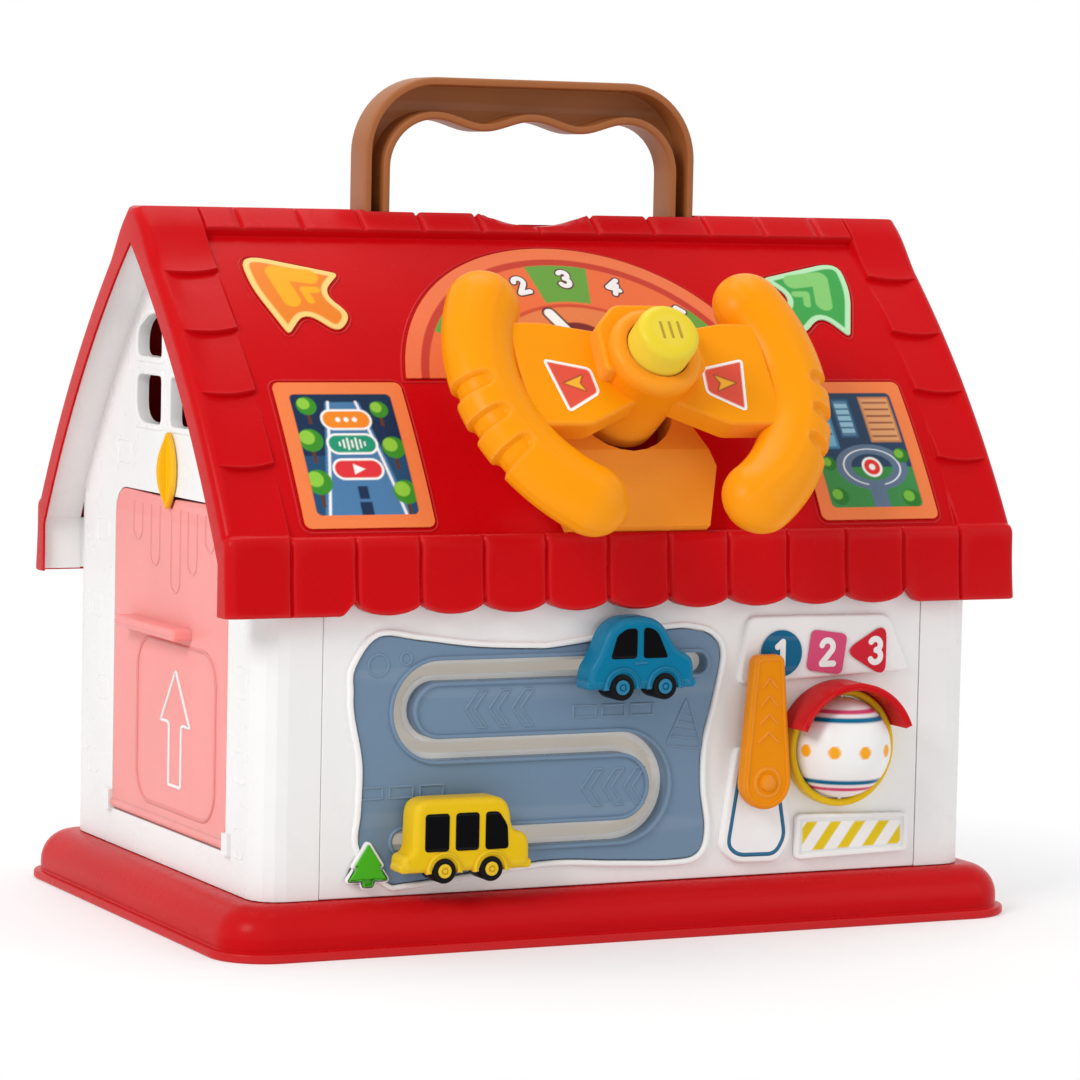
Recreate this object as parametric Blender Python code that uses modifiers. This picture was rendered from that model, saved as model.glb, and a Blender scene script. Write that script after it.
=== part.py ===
"""Activity house for toddlers, in moulded plastic: one object for each of its pieces.

Metres, +Z up. X runs along the front to the right, the front faces -Y, and the origin is on the
ground under the middle of all the pieces. Meshes are drawn about the house's own middle plane. On
the roof, a run is measured down the slope from the ridge and a rise is measured square to it. On
the front, out is the distance in front of the middle plane.
"""

import math

import bmesh
import bpy
from mathutils import Matrix, Vector

# Fits and shared sizes
FIT = 0.0003
WALL = 0.0025
OVERRUN = 0.002
MERGE = 0.00001
LABEL = 0.0005
SMOOTH_ANGLE = math.radians(35)
FLAT_ANGLE = math.radians(0.3)
SIDES = 24
SMALL_SIDES = 12
CORNER_STEPS = 4
EDGE_STEPS = 2

# Screws that hold the pieces together
SCREW_RADIUS = 0.0013
SCREW_HOLE = SCREW_RADIUS + FIT
SCREW_HEAD = 0.0030
SCREW_HEAD_HEIGHT = 0.0010
BOSS_RADIUS = 0.0045

# Base with its rounded rim
BASE_WIDTH = 0.300
BASE_DEPTH = 0.2047
BASE_RADIUS = 0.019
BASE_TOP = 0.0174
LIP_HEIGHT = 0.003
LIP_WIDTH = 0.0025
TRAY_ROUND = 0.011
ROUND_STEPS = 4
RIB_HEIGHT = 0.0022
RIB_WIDTH = 0.0015
RIB_SETBACK = 0.010

# Body: end walls that wrap round the corners, front and back walls between their seams
BODY_SETBACK = 0.0152
BODY_WIDTH = BASE_WIDTH - 2 * BODY_SETBACK
BODY_DEPTH = 0.1769
BODY_RADIUS = 0.010
RETURN_WIDTH = 0.0215
LAP_WIDTH = 0.0067
LAP_START = 0.0048
BODY_HALF = BODY_WIDTH / 2
DEPTH_HALF = BODY_DEPTH / 2
SEAM_X = BODY_HALF - RETURN_WIDTH
WALL_BOTTOM = BASE_TOP + FIT
INNER_OUT = DEPTH_HALF - WALL
BOSS_LIFT = 0.016
BOSS_INSET = 0.0072

# Roof slope: an arc that starts beside the ridge and flattens downward
SLOPE_RADIUS = 0.383
SLOPE_ANGLE = math.radians(50.38)
RIDGE_HALF = 0.003
SLOPE_TOP = 0.2415
SLOPE_STEPS = 12
EAVE_RUN = 0.137
SLOPE_OUT = RIDGE_HALF - SLOPE_RADIUS * math.cos(SLOPE_ANGLE)
SLOPE_BASE = SLOPE_TOP - SLOPE_RADIUS * math.sin(SLOPE_ANGLE)

# Roof surfaces, as rises over the slope
ROOF_OVERHANG = 0.0140
ROOF_HALF = BODY_HALF + ROOF_OVERHANG
RAKE_WIDTH = 0.0228
PANEL_RISE = -0.0018
TILE_LOW_RISE = -0.0015
ROOF_UNDER_RISE = -0.0040
RIDGE_RISE = 0.0019
RIDGE_RUN = 0.0105
TILE_SHARES = (0.0, 0.204, 0.398, 0.588, 0.796, 1.0)
FASCIA_OUT = 0.0928
FASCIA_FLARE = 0.0015
FASCIA_IN = 0.0898
FASCIA_BOTTOM = 0.1190
SCALLOP_DROP = 0.0077
SCALLOP_RISE = 0.0047
SCALLOP_PITCH = 0.02295
SCALLOP_COUNT = 9
SCALLOP_STEPS = 6

# White flange under the roof's ends
FLANGE_THICK = 0.0025
FLANGE_SETBACK = 0.0010
FLANGE_BOTTOM = 0.1120
FLANGE_RISE = ROOF_UNDER_RISE - FIT
LEG_OUT = FASCIA_IN - FIT
LEG_LAP = 0.0108
LEG_HEIGHT = 0.018

# Windows in the gables: two rows of two panes, the upper ones arched
PANE_GAP = 0.0035
PANE_WIDTH = 0.025
PANE_LOW = 0.1676
PANE_SILL_HEIGHT = 0.0179
PANE_BAR = 0.005
PANE_TOP_HEIGHT = 0.0175
PANE_ARCH_DROP = 0.0085
PANE_STEPS = 5

# Garage door in the left end wall, and the latch above it
DOOR_Y = -0.006
DOOR_WIDTH = 0.1065
DOOR_BOTTOM = 0.0325
DOOR_TOP = 0.1443
DOOR_THICK = 0.0022
DOOR_RADIUS = 0.009
DOOR_GAP = 0.0004
BARREL_RADIUS = 0.0019
PIN_RADIUS = 0.00075
TAB_LENGTH = 0.0050
TAB_LOW = 0.0028
TAB_HIGH = 0.0045
TAB_DEPTH = 0.0015
LEDGE_Z = 0.097
LEDGE_HEIGHT = 0.004
LEDGE_REACH = 0.007
LEDGE_SHARES = (-0.197, 0.338)
DOOR_FRAME_LOW = 0.037
DOOR_FRAME_HIGH = 0.095
DOOR_FRAME_SHARES = (-0.413, 0.282)
DOOR_FRAME_WIDTH = 0.0016
DOOR_FRAME_LIFT = 0.0006
DOOR_FRAME_RADIUS = 0.012
LATCH_Z = 0.1533
LATCH_LENGTH = 0.026
LATCH_WIDTH = 0.012
LATCH_DEPTH = 0.006
LATCH_EDGE = 0.0026
LATCH_STEPS = 6
LATCH_STEM = 0.0025
LATCH_CLEAR = 0.0005

# Carrying handle and the well that it slides into
HANDLE_HALF = 0.0644
HANDLE_LEG = 0.0098
HANDLE_TOP = 0.2894
HANDLE_DEPTH = 0.0135
HANDLE_SETBACK = 0.00225
HANDLE_RADIUS = 0.027
HANDLE_INNER_RADIUS = 0.017
HANDLE_WEB = 0.0025
HANDLE_RIM = 0.0030
GRIP_DEPTH = 0.0166
GRIP_WAVE = 0.0019
GRIP_WAVES = 2
GRIP_STEPS = 18
FOOT_HEIGHT = 0.0097
FOOT_REACH = 0.0028
SLOT_GAP = 0.0004
HANDLE_TRAVEL = 0.046
WELL_GAP = 0.0007
WELL_SLACK = 0.0013
SCOOP_RADIUS = 0.0496
SCOOP_DEPTH = 0.0049
SCOOP_REACH = 0.010

# Steering wheel, as rises over the slope along its axis
WHEEL_RUN = 0.094
RIM_RISE = 0.027
RIM_RADIUS = 0.0575
RIM_HALF = 0.0125
RIM_END_HALF = 0.0130
RIM_DEPTH_SHARE = 0.8
LOBE_TOP = math.radians(29)
LOBE_BOTTOM = math.radians(-57)
LOBE_STEPS = 7
CAP_STEPS = 3
LOBE_BEVEL = 3
HUB_RADIUS = 0.0165
HUB_FOOT_RADIUS = 0.0150
HUB_BOTTOM = 0.006
HUB_TOP = 0.0445
SPOKE_HUB_HALF = 0.0125
SPOKE_HIGH_X = 0.034
SPOKE_HIGH_Y = 0.018
SPOKE_LOW_X = 0.026
SPOKE_LOW_Y = 0.023
SPOKE_END_X = 0.047
SPOKE_BACK = 0.0235
SPOKE_FRONT = 0.033
SPOKE_ROOT = 0.004

# Horn button, its spring and its switch, inside the hub
BUTTON_RADIUS = 0.0109
BUTTON_TOP = 0.055
BUTTON_BOTTOM = 0.038
BUTTON_WALL = 0.0015
BUTTON_CROWN = 0.0025
BUTTON_TRAVEL = 0.003
PLUNGER_RADIUS = 0.002
POCKET_FLOOR = 0.030
SWITCH_SIZE = 0.008
SWITCH_HEIGHT = 0.003
SPRING_RADIUS = 0.0065
SPRING_WIRE = 0.0005
SPRING_TURNS = 4
SPRING_POINTS = 10

# Steering column, shaft and bush
COLUMN_END_HALF = 0.026
COLUMN_HALF = 0.031
COLUMN_WIDE_RUN = 0.118
COLUMN_RADIUS = 0.024
COLUMN_RISE = 0.011
COLUMN_END_RISE = 0.003
COLUMN_FALL_RUN = 0.112
COLUMN_SHOULDER = 0.006
COLUMN_BORE = 0.019
COLUMN_ARC = 15
SHAFT_RADIUS = 0.005
SHAFT_TOP = 0.0207
BUSH_WALL = 0.0027
BUSH_RADIUS = SHAFT_RADIUS + FIT + BUSH_WALL
BUSH_FLANGE = 0.011
BUSH_FLANGE_THICK = 0.002
BUSH_DROP = 0.0007
WASHER_RADIUS = 0.009
WASHER_THICK = 0.0015
SHAFT_SCREW_LENGTH = 0.010

# Printed labels on the front slope
LABEL_RISE = PANEL_RISE + FIT
DIAL_GAP = 0.00225
DIAL_RUN = 0.0867
DIAL_BASE_RUN = 0.0756
DIAL_STEPS = 14
LABEL_DEPTH = 0.012
SCREEN_GAP = 0.00625
SCREEN_WIDTH = 0.0465
SCREEN_TOP_RUN = 0.0775
SCREEN_LENGTH = 0.056
SCREEN_RADIUS = 0.0025
SCREEN_X = ROOF_HALF - RAKE_WIDTH - SCREEN_GAP - SCREEN_WIDTH / 2
DIAL_RADIUS = SCREEN_X - SCREEN_WIDTH / 2 - DIAL_GAP
ARROW_INSET = 0.026
ARROW_X = ROOF_HALF - RAKE_WIDTH - ARROW_INSET
ARROW_RUN = 0.038
ARROW_LENGTH = 0.039
ARROW_WIDTH = 0.034
ARROW_HEAD = 0.022
ARROW_STEM = 0.015
ARROW_TURN = math.radians(38)
ARROW_SOFT = 0.003

# Road panel in the front wall, with an S-shaped slot for the two vehicles
ROAD_Z = 0.0629
ROAD_HEIGHT = 0.0814
ROAD_OUTLINE_SHARES = (
    (-0.497, 0.192), (-0.474, -0.004), (-0.475, -0.199), (-0.478, -0.354), (-0.408, -0.489),
    (-0.334, -0.500), (0.010, -0.443), (0.208, -0.456), (0.370, -0.467), (0.446, -0.446),
    (0.466, -0.342), (0.451, -0.167), (0.453, 0.022), (0.480, 0.209), (0.500, 0.388),
    (0.476, 0.464), (0.420, 0.496), (0.339, 0.496), (0.053, 0.440), (-0.026, 0.436),
    (-0.182, 0.450), (-0.325, 0.482), (-0.437, 0.500), (-0.496, 0.382), (-0.500, 0.284),
)
ROAD_PROUD = 0.0005
ROAD_RIM_WIDTH = 0.002
ROAD_RIM_LIFT = 0.0014
ROAD_FLANGE_WIDTH = 0.0015
ROAD_FLANGE_THICK = 0.002
TRACK_TOP_Z = 0.0919
TRACK_MID_Z = 0.06575
TRACK_LOW_Z = 0.0357
BEND_STEPS = 10
TRACK_PLATE_INSET = 0.0018
TRACK_PLATE_THICK = 0.002

# Vehicles that ride in the slot
COLLAR_RADIUS = 0.0033
PEG_RADIUS = 0.0015
PEG_TIP = 0.0020
RETAINER_RADIUS = 0.005
RETAINER_THICK = 0.002
VEHICLE_STANDOFF = 0.0025
VEHICLE_DEPTH = 0.0105
VEHICLE_EDGE = 0.002
TYRE_LIFT = 0.0006
CAR_LOW = 0.0815
CAR_LENGTH = 0.0395
CAR_HEIGHT = 0.0282
CAR_OUTLINE_SHARES = (
    (0.50, 0.13), (0.50, 0.42), (0.46, 0.52), (0.33, 0.60), (0.20, 0.90), (0.06, 1.00),
    (-0.20, 0.98), (-0.33, 0.84), (-0.42, 0.52), (-0.50, 0.36), (-0.50, 0.13),
)
CAR_WHEEL_SHARES = (-0.195, 0.210)
CAR_TYRE = 0.0045
BUS_LOW = 0.0232
BUS_LENGTH = 0.046
BUS_HEIGHT = 0.028
BUS_OUTLINE_SHARES = (
    (0.50, 0.13), (0.50, 0.46), (0.46, 0.56), (0.36, 0.60), (0.34, 0.88), (0.27, 1.00),
    (-0.34, 1.00), (-0.41, 0.90), (-0.42, 0.36), (-0.50, 0.33), (-0.50, 0.13),
)
BUS_WHEEL_SHARES = (-0.180, 0.191)
BUS_TYRE = 0.0042

# Raised pads of the front wall and the labels on them
PAD_LIFT = 0.002
PAD_SOFT = 0.003
NUMBER_PAD_Z = 0.0957
NUMBER_PAD_WIDTH = 0.0682
NUMBER_PAD_HEIGHT = 0.0234
NUMBER_PAD_SHARES = ((-0.5, -0.5), (0.5, -0.372), (0.369, 0.483), (-0.447, 0.5))
BADGE_Z = 0.0944
CIRCLE_RADIUS = 0.008
SQUARE_HALF = 0.0071
SQUARE_TURN = math.radians(-8)
TRIANGLE_RADIUS = 0.0100
BADGE_SOFT = 0.002
LEVER_PAD_Z = 0.04275
LEVER_PAD_WIDTH = 0.0284
LEVER_PAD_HEIGHT = 0.0415
LEVER_PAD_SHARES = (
    (-0.5, -0.37), (-0.288, -0.493), (0.325, -0.5), (0.5, -0.298), (0.355, 0.281), (-0.301, 0.5),
)
STRIPE_Z = 0.0304
STRIPE_WIDTH = 0.0446
STRIPE_HEIGHT = 0.0155
STRIPE_SHARES = ((-0.5, -0.5), (0.5, -0.43), (0.49, 0.42), (-0.5, 0.5))
STRIPE_THICK = 0.0012
TREE_LOW = 0.0215
TREE_WIDTH = 0.0141
TREE_HEIGHT = 0.0143
TREE_SHARES = (
    (0.13, 0.0), (0.13, 0.16), (0.5, 0.14), (0.27, 0.47), (0.36, 0.46), (0.0, 1.0),
    (-0.36, 0.46), (-0.27, 0.47), (-0.5, 0.14), (-0.13, 0.16), (-0.13, 0.0),
)
TREE_THICK = 0.0009

# Barrier lever on the front wall
LEVER_Z = 0.0510
LEVER_LENGTH = 0.0437
LEVER_TIP_HALF = 0.0060
LEVER_TIP_RADIUS = 0.0030
LEVER_EYE = 0.0094
LEVER_EYE_STEPS = 12
LEVER_STANDOFF = 0.0025
LEVER_THICK = 0.0050
LEVER_EDGE = 0.001
LEVER_BOSS = 0.004
LEVER_WASHER = 0.0065
LEVER_WASHER_THICK = 0.0015
LEVER_SCREW_LENGTH = 0.006

# Turning ball in its ring, under a hood
SIGNAL_Z = 0.0613
SIGNAL_PROUD = 0.00305
SIGNAL_OUT = DEPTH_HALF + SIGNAL_PROUD
SIGNAL_RADIUS = 0.0175
SIGNAL_STEPS = 24
BEZEL_GAP = 0.0005
BEZEL_WIDTH = 0.0025
BEZEL_PROUD = 0.00515
BEZEL_FRONT = DEPTH_HALF + BEZEL_PROUD
SIGNAL_HOLE_GAP = 0.0017
BALL_PIN_RADIUS = 0.0009
BALL_PIN_HALF = 0.0192
HOOD_THICK = 0.0025
HOOD_PROUD = 0.01555
HOOD_FRONT = DEPTH_HALF + HOOD_PROUD
HOOD_START = 20
HOOD_END = 160

# Cover behind the front wall
COVER_LOW = 0.021
COVER_HIGH = 0.108
COVER_DEPTH = 0.01845
COVER_BACK = DEPTH_HALF - COVER_DEPTH
COVER_WALL = 0.002
COVER_POST = 0.0025

# Places across the front wall, worked out from its seams inward
NUMBER_PAD_GAP = 0.0049
CIRCLE_OFFSET = 0.0177
SQUARE_OFFSET = 0.0002
TRIANGLE_OFFSET = 0.0182
STRIPE_OFFSET = 0.0126
SIGNAL_OFFSET = 0.0061
LEVER_OFFSET = 0.0256
LEVER_PAD_SHIFT = 0.0001
ROAD_PAD_GAP = 0.0008
ROAD_SEAM_GAP = 0.0113
TREE_SEAM_GAP = 0.00965
TOP_END_INSET = 0.0088
RIGHT_BEND_INSET = 0.0378
LEFT_BEND_INSET = 0.0307
LOW_END_INSET = 0.0180
CAR_BACK = 0.0274
BUS_FORWARD = 0.0180
COVER_LEFT_GAP = 0.0063
COVER_RIGHT_GAP = 0.0058
NUMBER_PAD_X = SEAM_X - NUMBER_PAD_GAP - NUMBER_PAD_WIDTH / 2
CIRCLE_X = NUMBER_PAD_X - CIRCLE_OFFSET
SQUARE_X = NUMBER_PAD_X + SQUARE_OFFSET
TRIANGLE_X = NUMBER_PAD_X + TRIANGLE_OFFSET
STRIPE_X = NUMBER_PAD_X + STRIPE_OFFSET
SIGNAL_X = NUMBER_PAD_X + SIGNAL_OFFSET
LEVER_X = NUMBER_PAD_X - LEVER_OFFSET
LEVER_PAD_X = LEVER_X + LEVER_PAD_SHIFT
ROAD_RIGHT = LEVER_PAD_X - LEVER_PAD_WIDTH / 2 - ROAD_PAD_GAP
ROAD_LEFT = ROAD_SEAM_GAP - SEAM_X
ROAD_WIDTH = ROAD_RIGHT - ROAD_LEFT
ROAD_X = (ROAD_LEFT + ROAD_RIGHT) / 2
TREE_X = TREE_SEAM_GAP - SEAM_X + TREE_WIDTH / 2
TRACK_TOP_END_X = ROAD_RIGHT - TOP_END_INSET
TRACK_RIGHT_X = ROAD_RIGHT - RIGHT_BEND_INSET
TRACK_LEFT_X = ROAD_LEFT + LEFT_BEND_INSET
TRACK_LOW_END_X = ROAD_LEFT + LOW_END_INSET
CAR_X = TRACK_TOP_END_X - CAR_BACK
BUS_X = TRACK_LOW_END_X + BUS_FORWARD
COVER_LEFT = COVER_LEFT_GAP - SEAM_X
COVER_RIGHT = SEAM_X - COVER_RIGHT_GAP

# Attic deck with the electronics
SHELF_Z = 0.145
SHELF_HEIGHT = 0.002
SHELF_DEPTH = 0.0035
SHELF_HALF = 0.070
DECK_THICK = 0.002
DECK_WALL_GAP = 0.00845
DECK_HALF_Y = INNER_OUT - DECK_WALL_GAP
BOARD_X = -0.045
BOARD_Y = 0.018
BOARD_WIDTH = 0.070
BOARD_DEPTH = 0.040
BOARD_THICK = 0.0016
BOARD_POST = 0.0025
BOARD_LIFT = 0.004
CHIP_SIZE = 0.010
CHIP_HEIGHT = 0.0015
SPEAKER_X = 0.060
SPEAKER_Y = 0.015
SPEAKER_RADIUS = 0.018
SPEAKER_RIM = 0.0015
SPEAKER_MAGNET = 0.010
SPEAKER_CONE = 0.006
SPEAKER_HEIGHT = 0.0115

# Slide switch in the back wall
POWER_X = 0.060
POWER_Z = 0.045
POWER_TRAVEL = 0.006
POWER_KNOB = 0.005
POWER_KNOB_LIFT = 0.002
POWER_SLACK = 0.0005
POWER_PLATE_WIDTH = 0.024
POWER_PLATE_HEIGHT = 0.010
POWER_PLATE_THICK = 0.0015
POWER_BODY_WIDTH = 0.020
POWER_BODY_DEPTH = 0.008

# Battery box in the base
CELL_RADIUS = 0.00725
CELL_LENGTH = 0.0493
CELL_NIPPLE_RADIUS = 0.0027
CELL_NIPPLE = 0.0012
CELL_SIDES = 16
CELL_LOW = 0.00335
CONTACT_ROOM = 0.0049
CONTACT_THICK = 0.0005
CONTACT_CONE = 0.0030
CONTACT_REACH = 0.0036
TUB_WALL = 0.0015
TUB_FLANGE = 0.004
DOOR_PLATE_LOW = 0.0006
DOOR_PLATE_THICK = 0.0024
HEAD_SINK = 0.0014
BATTERY_SCREW_LENGTH = 0.009

# Colours
RED = (0.62, 0.035, 0.045)
WHITE = (0.88, 0.88, 0.87)
BLUE_GREY = (0.17, 0.27, 0.38)
ORANGE = (0.90, 0.36, 0.03)
YELLOW = (0.78, 0.55, 0.03)
BROWN = (0.38, 0.15, 0.05)
SALMON = (0.80, 0.28, 0.27)
BLUE = (0.01, 0.20, 0.36)
GREEN = (0.05, 0.38, 0.02)
TEAL = (0.0, 0.10, 0.20)
PINK = (0.60, 0.06, 0.14)
LABEL_ORANGE = (0.80, 0.38, 0.10)
LABEL_GREEN = (0.30, 0.55, 0.20)
DARK = (0.03, 0.03, 0.03)
GREY = (0.35, 0.35, 0.35)
STEEL = (0.60, 0.60, 0.60)
PLASTIC_ROUGHNESS = 0.35
LABEL_ROUGHNESS = 0.5
METAL_ROUGHNESS = 0.3

# Directions: an outline's own X, Y and thickness as world directions
PLAN = Matrix.Identity(4)
FRONT = Matrix(((1, 0, 0, 0), (0, 0, -1, 0), (0, 1, 0, 0), (0, 0, 0, 1)))
BACK = Matrix(((-1, 0, 0, 0), (0, 0, 1, 0), (0, 1, 0, 0), (0, 0, 0, 1)))
SIDE = Matrix(((0, 0, 1, 0), (1, 0, 0, 0), (0, 1, 0, 0), (0, 0, 0, 1)))
LEFT = Matrix(((0, 0, -1, 0), (-1, 0, 0, 0), (0, 1, 0, 0), (0, 0, 0, 1)))

# From the house's middle plane to the middle of all its pieces, the steering wheel included
HOME_Y = 0.013156
HOME = Matrix.Translation((0, HOME_Y, 0))


def clear_scene():
    """Remove everything that the scene starts with."""
    for obj in list(bpy.data.objects):
        bpy.data.objects.remove(obj)


def new_collection(name):
    """A collection in the scene."""
    collection = bpy.data.collections.new(name)
    bpy.context.scene.collection.children.link(collection)
    return collection


def material(name, color, roughness=PLASTIC_ROUGHNESS, metallic=0.0):
    """A Principled material, made once for each name."""
    if name in bpy.data.materials:
        return bpy.data.materials[name]
    finish = bpy.data.materials.new(name)
    finish.use_nodes = True
    shader = finish.node_tree.nodes["Principled BSDF"]
    shader.inputs["Base Color"].default_value = (*color, 1)
    shader.inputs["Roughness"].default_value = roughness
    shader.inputs["Metallic"].default_value = metallic
    finish.diffuse_color = (*color, 1)
    return finish


def add_part(name, mesh, finish, pivot=None):
    """A visible piece from a mesh in world places. A moving piece gets the frame of its joint as pivot."""
    mesh.name = name
    mesh.materials.clear()
    mesh.materials.append(finish)
    mesh.shade_smooth()
    mesh.set_sharp_from_angle(angle=SMOOTH_ANGLE)
    part = bpy.data.objects.new(name, mesh)
    part.matrix_world = HOME
    if pivot is not None:
        mesh.transform(pivot.inverted())
        part.matrix_world = HOME @ pivot
    bpy.data.collections["activity_house"].objects.link(part)
    return part


def combine(part, operation, name, mesh):
    """A live Boolean on a part, with a hidden tool made from the mesh."""
    tool = bpy.data.objects.new(f"{part.name}_{name}", mesh)
    tool.hide_render = True
    tool.display_type = "WIRE"
    tool.matrix_world = HOME
    bpy.data.collections["tools"].objects.link(tool)
    modifier = part.modifiers.new(name, "BOOLEAN")
    modifier.operation = operation
    modifier.object = tool


def cut(part, name, mesh):
    combine(part, "DIFFERENCE", name, mesh)


def join(part, name, mesh):
    combine(part, "UNION", name, mesh)


def keep(part, name, mesh):
    combine(part, "INTERSECT", name, mesh)


def cleaned(mesh, dissolve=False):
    """The mesh with its loose caps welded and its faces pointing out, flat caps as single faces if asked."""
    bm = bmesh.new()
    bm.from_mesh(mesh)
    bmesh.ops.remove_doubles(bm, verts=bm.verts, dist=MERGE)
    if dissolve:
        bmesh.ops.dissolve_limit(bm, angle_limit=FLAT_ANGLE, verts=bm.verts, edges=bm.edges)
    bmesh.ops.recalc_face_normals(bm, faces=bm.faces)
    bm.to_mesh(mesh)
    bm.free()
    return mesh


def from_object(obj):
    """The evaluated mesh of a helper object, which is then removed."""
    bpy.context.scene.collection.objects.link(obj)
    graph = bpy.context.evaluated_depsgraph_get()
    mesh = bpy.data.meshes.new_from_object(obj.evaluated_get(graph))
    mesh.transform(obj.matrix_world)
    bpy.data.objects.remove(obj)
    return mesh


def plate(outlines, low, high, place=PLAN, edge=0.0):
    """A flat piece from low to high: closed outlines, the first the rim and the rest holes."""
    curve = bpy.data.curves.new("outline", "CURVE")
    curve.dimensions = "2D"
    curve.fill_mode = "BOTH"
    curve.extrude = (high - low) / 2
    for outline in outlines:
        spline = curve.splines.new("POLY")
        spline.points.add(len(outline) - 1)
        for point, (x, y) in zip(spline.points, outline):
            point.co = (x, y, 0, 1)
        spline.use_cyclic_u = True
    mesh = cleaned(from_object(bpy.data.objects.new("outline", curve)), dissolve=len(outlines) == 1)
    mesh.transform(Matrix.Translation((0, 0, (low + high) / 2)))
    if edge:
        round_top(mesh, high, edge, EDGE_STEPS)
    mesh.transform(place)
    return mesh


def round_top(mesh, height, width, steps):
    """Round the edges that lie at one height."""
    bm = bmesh.new()
    bm.from_mesh(mesh)
    rim = [edge for edge in bm.edges if all(abs(vert.co.z - height) < MERGE for vert in edge.verts)]
    bmesh.ops.bevel(
        bm, geom=rim, offset=width, offset_type="OFFSET", segments=steps, profile=0.5, affect="EDGES"
    )
    bm.to_mesh(mesh)
    bm.free()


def box(low, high):
    """A box between two corners."""
    low, high = Vector(low), Vector(high)
    bm = bmesh.new()
    matrix = Matrix.Translation((low + high) / 2) @ Matrix.Diagonal((*(high - low), 1))
    bmesh.ops.create_cube(bm, size=1, matrix=matrix)
    mesh = bpy.data.meshes.new("box")
    bm.to_mesh(mesh)
    bm.free()
    return mesh


def bar(start, end, radius, end_radius=None, sides=SIDES):
    """A round bar or a cone between two points."""
    start, end = Vector(start), Vector(end)
    way = end - start
    matrix = Matrix.Translation((start + end) / 2) @ way.to_track_quat("Z", "Y").to_matrix().to_4x4()
    bm = bmesh.new()
    bmesh.ops.create_cone(
        bm,
        cap_ends=True,
        segments=sides,
        radius1=radius,
        radius2=radius if end_radius is None else end_radius,
        depth=way.length,
        matrix=matrix,
    )
    mesh = bpy.data.meshes.new("bar")
    bm.to_mesh(mesh)
    bm.free()
    return mesh


def turned(profile, sides=SIDES):
    """A solid turned about Z from a profile of radii and heights that runs down its outer side."""
    mesh = bpy.data.meshes.new("profile")
    edges = [(index, index + 1) for index in range(len(profile) - 1)]
    mesh.from_pydata([(radius, 0, height) for radius, height in profile], edges, [])
    obj = bpy.data.objects.new("profile", mesh)
    screw = obj.modifiers.new("turn", "SCREW")
    screw.steps = sides
    screw.render_steps = sides
    screw.use_merge_vertices = True
    screw.merge_threshold = MERGE
    return cleaned(from_object(obj))


def tube(points, radii, bevel):
    """A tube along the points, with its own radius at each, and filled ends."""
    curve = bpy.data.curves.new("tube", "CURVE")
    curve.dimensions = "3D"
    curve.bevel_depth = 1
    curve.bevel_resolution = bevel
    curve.use_fill_caps = True
    spline = curve.splines.new("POLY")
    spline.points.add(len(points) - 1)
    for point, place, radius in zip(spline.points, points, radii):
        point.co = (*place, 1)
        point.radius = radius
    return cleaned(from_object(bpy.data.objects.new("tube", curve)))


def merged(*meshes):
    """One mesh from several that don't overlap."""
    bm = bmesh.new()
    for mesh in meshes:
        bm.from_mesh(mesh)
    whole = bpy.data.meshes.new("merged")
    bm.to_mesh(whole)
    bm.free()
    return whole


def moved(mesh, matrix):
    """The mesh carried by a matrix."""
    mesh.transform(matrix)
    return mesh


def arc(centre, radius, start, end, steps):
    """Points of an arc between two angles in degrees, ends included."""
    turns = [math.radians(start + (end - start) * step / steps) for step in range(steps + 1)]
    return [(centre[0] + radius * math.cos(turn), centre[1] + radius * math.sin(turn)) for turn in turns]


def circle(centre, radius, sides=SIDES):
    """A closed round outline."""
    return arc(centre, radius, 0, 360, sides)[:-1]


def rounded_box(low, high, radius, lower_radius=None):
    """A rectangle with round corners, whose lower corners may have a radius of their own."""
    lower = radius if lower_radius is None else lower_radius
    points = []
    for x, y, reach, turn in (
        (high[0] - lower, low[1] + lower, lower, -90),
        (high[0] - radius, high[1] - radius, radius, 0),
        (low[0] + radius, high[1] - radius, radius, 90),
        (low[0] + lower, low[1] + lower, lower, 180),
    ):
        points += arc((x, y), reach, turn, turn + 90, CORNER_STEPS) if reach else [(x, y)]
    return points


def grown(outline, distance):
    """A closed anticlockwise outline with each side moved out."""
    points = [Vector(point) for point in outline]
    result = []
    for index, point in enumerate(points):
        before = (point - points[index - 1]).normalized()
        after = (points[(index + 1) % len(points)] - point).normalized()
        middle = Vector((before.y + after.y, -before.x - after.x)).normalized()
        side = Vector((before.y, -before.x))
        result.append(tuple(point + middle * (distance / middle.dot(side))))
    return result


def softened(outline, reach):
    """A closed outline with each corner rounded over a reach along its two sides."""
    points = [Vector(point) for point in outline]
    result = []
    for index, point in enumerate(points):
        start = point + (points[index - 1] - point).normalized() * reach
        end = point + (points[(index + 1) % len(points)] - point).normalized() * reach
        for step in range(CORNER_STEPS):
            share = step / (CORNER_STEPS - 1)
            result.append(tuple(start.lerp(point, share).lerp(point.lerp(end, share), share)))
    return result


def from_shares(shares, centre, size):
    """An outline from shares of its width and height about a centre."""
    return [(centre[0] + across * size[0], centre[1] + up * size[1]) for across, up in shares]


def slope_point(run, rise=0.0):
    """Distance from the ridge's plane and height of a point of the slope."""
    angle = SLOPE_ANGLE - run / SLOPE_RADIUS
    reach = SLOPE_RADIUS + rise
    return SLOPE_OUT + reach * math.cos(angle), SLOPE_BASE + reach * math.sin(angle)


def run_at(distance, rise):
    """The run at which a line with this rise is this far from the ridge's plane."""
    return (SLOPE_ANGLE - math.acos((distance - SLOPE_OUT) / (SLOPE_RADIUS + rise))) * SLOPE_RADIUS


def height_at(distance, rise):
    """The height of a line with this rise, this far from the ridge's plane."""
    return SLOPE_BASE + math.sqrt((SLOPE_RADIUS + rise) ** 2 - (distance - SLOPE_OUT) ** 2)


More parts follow.
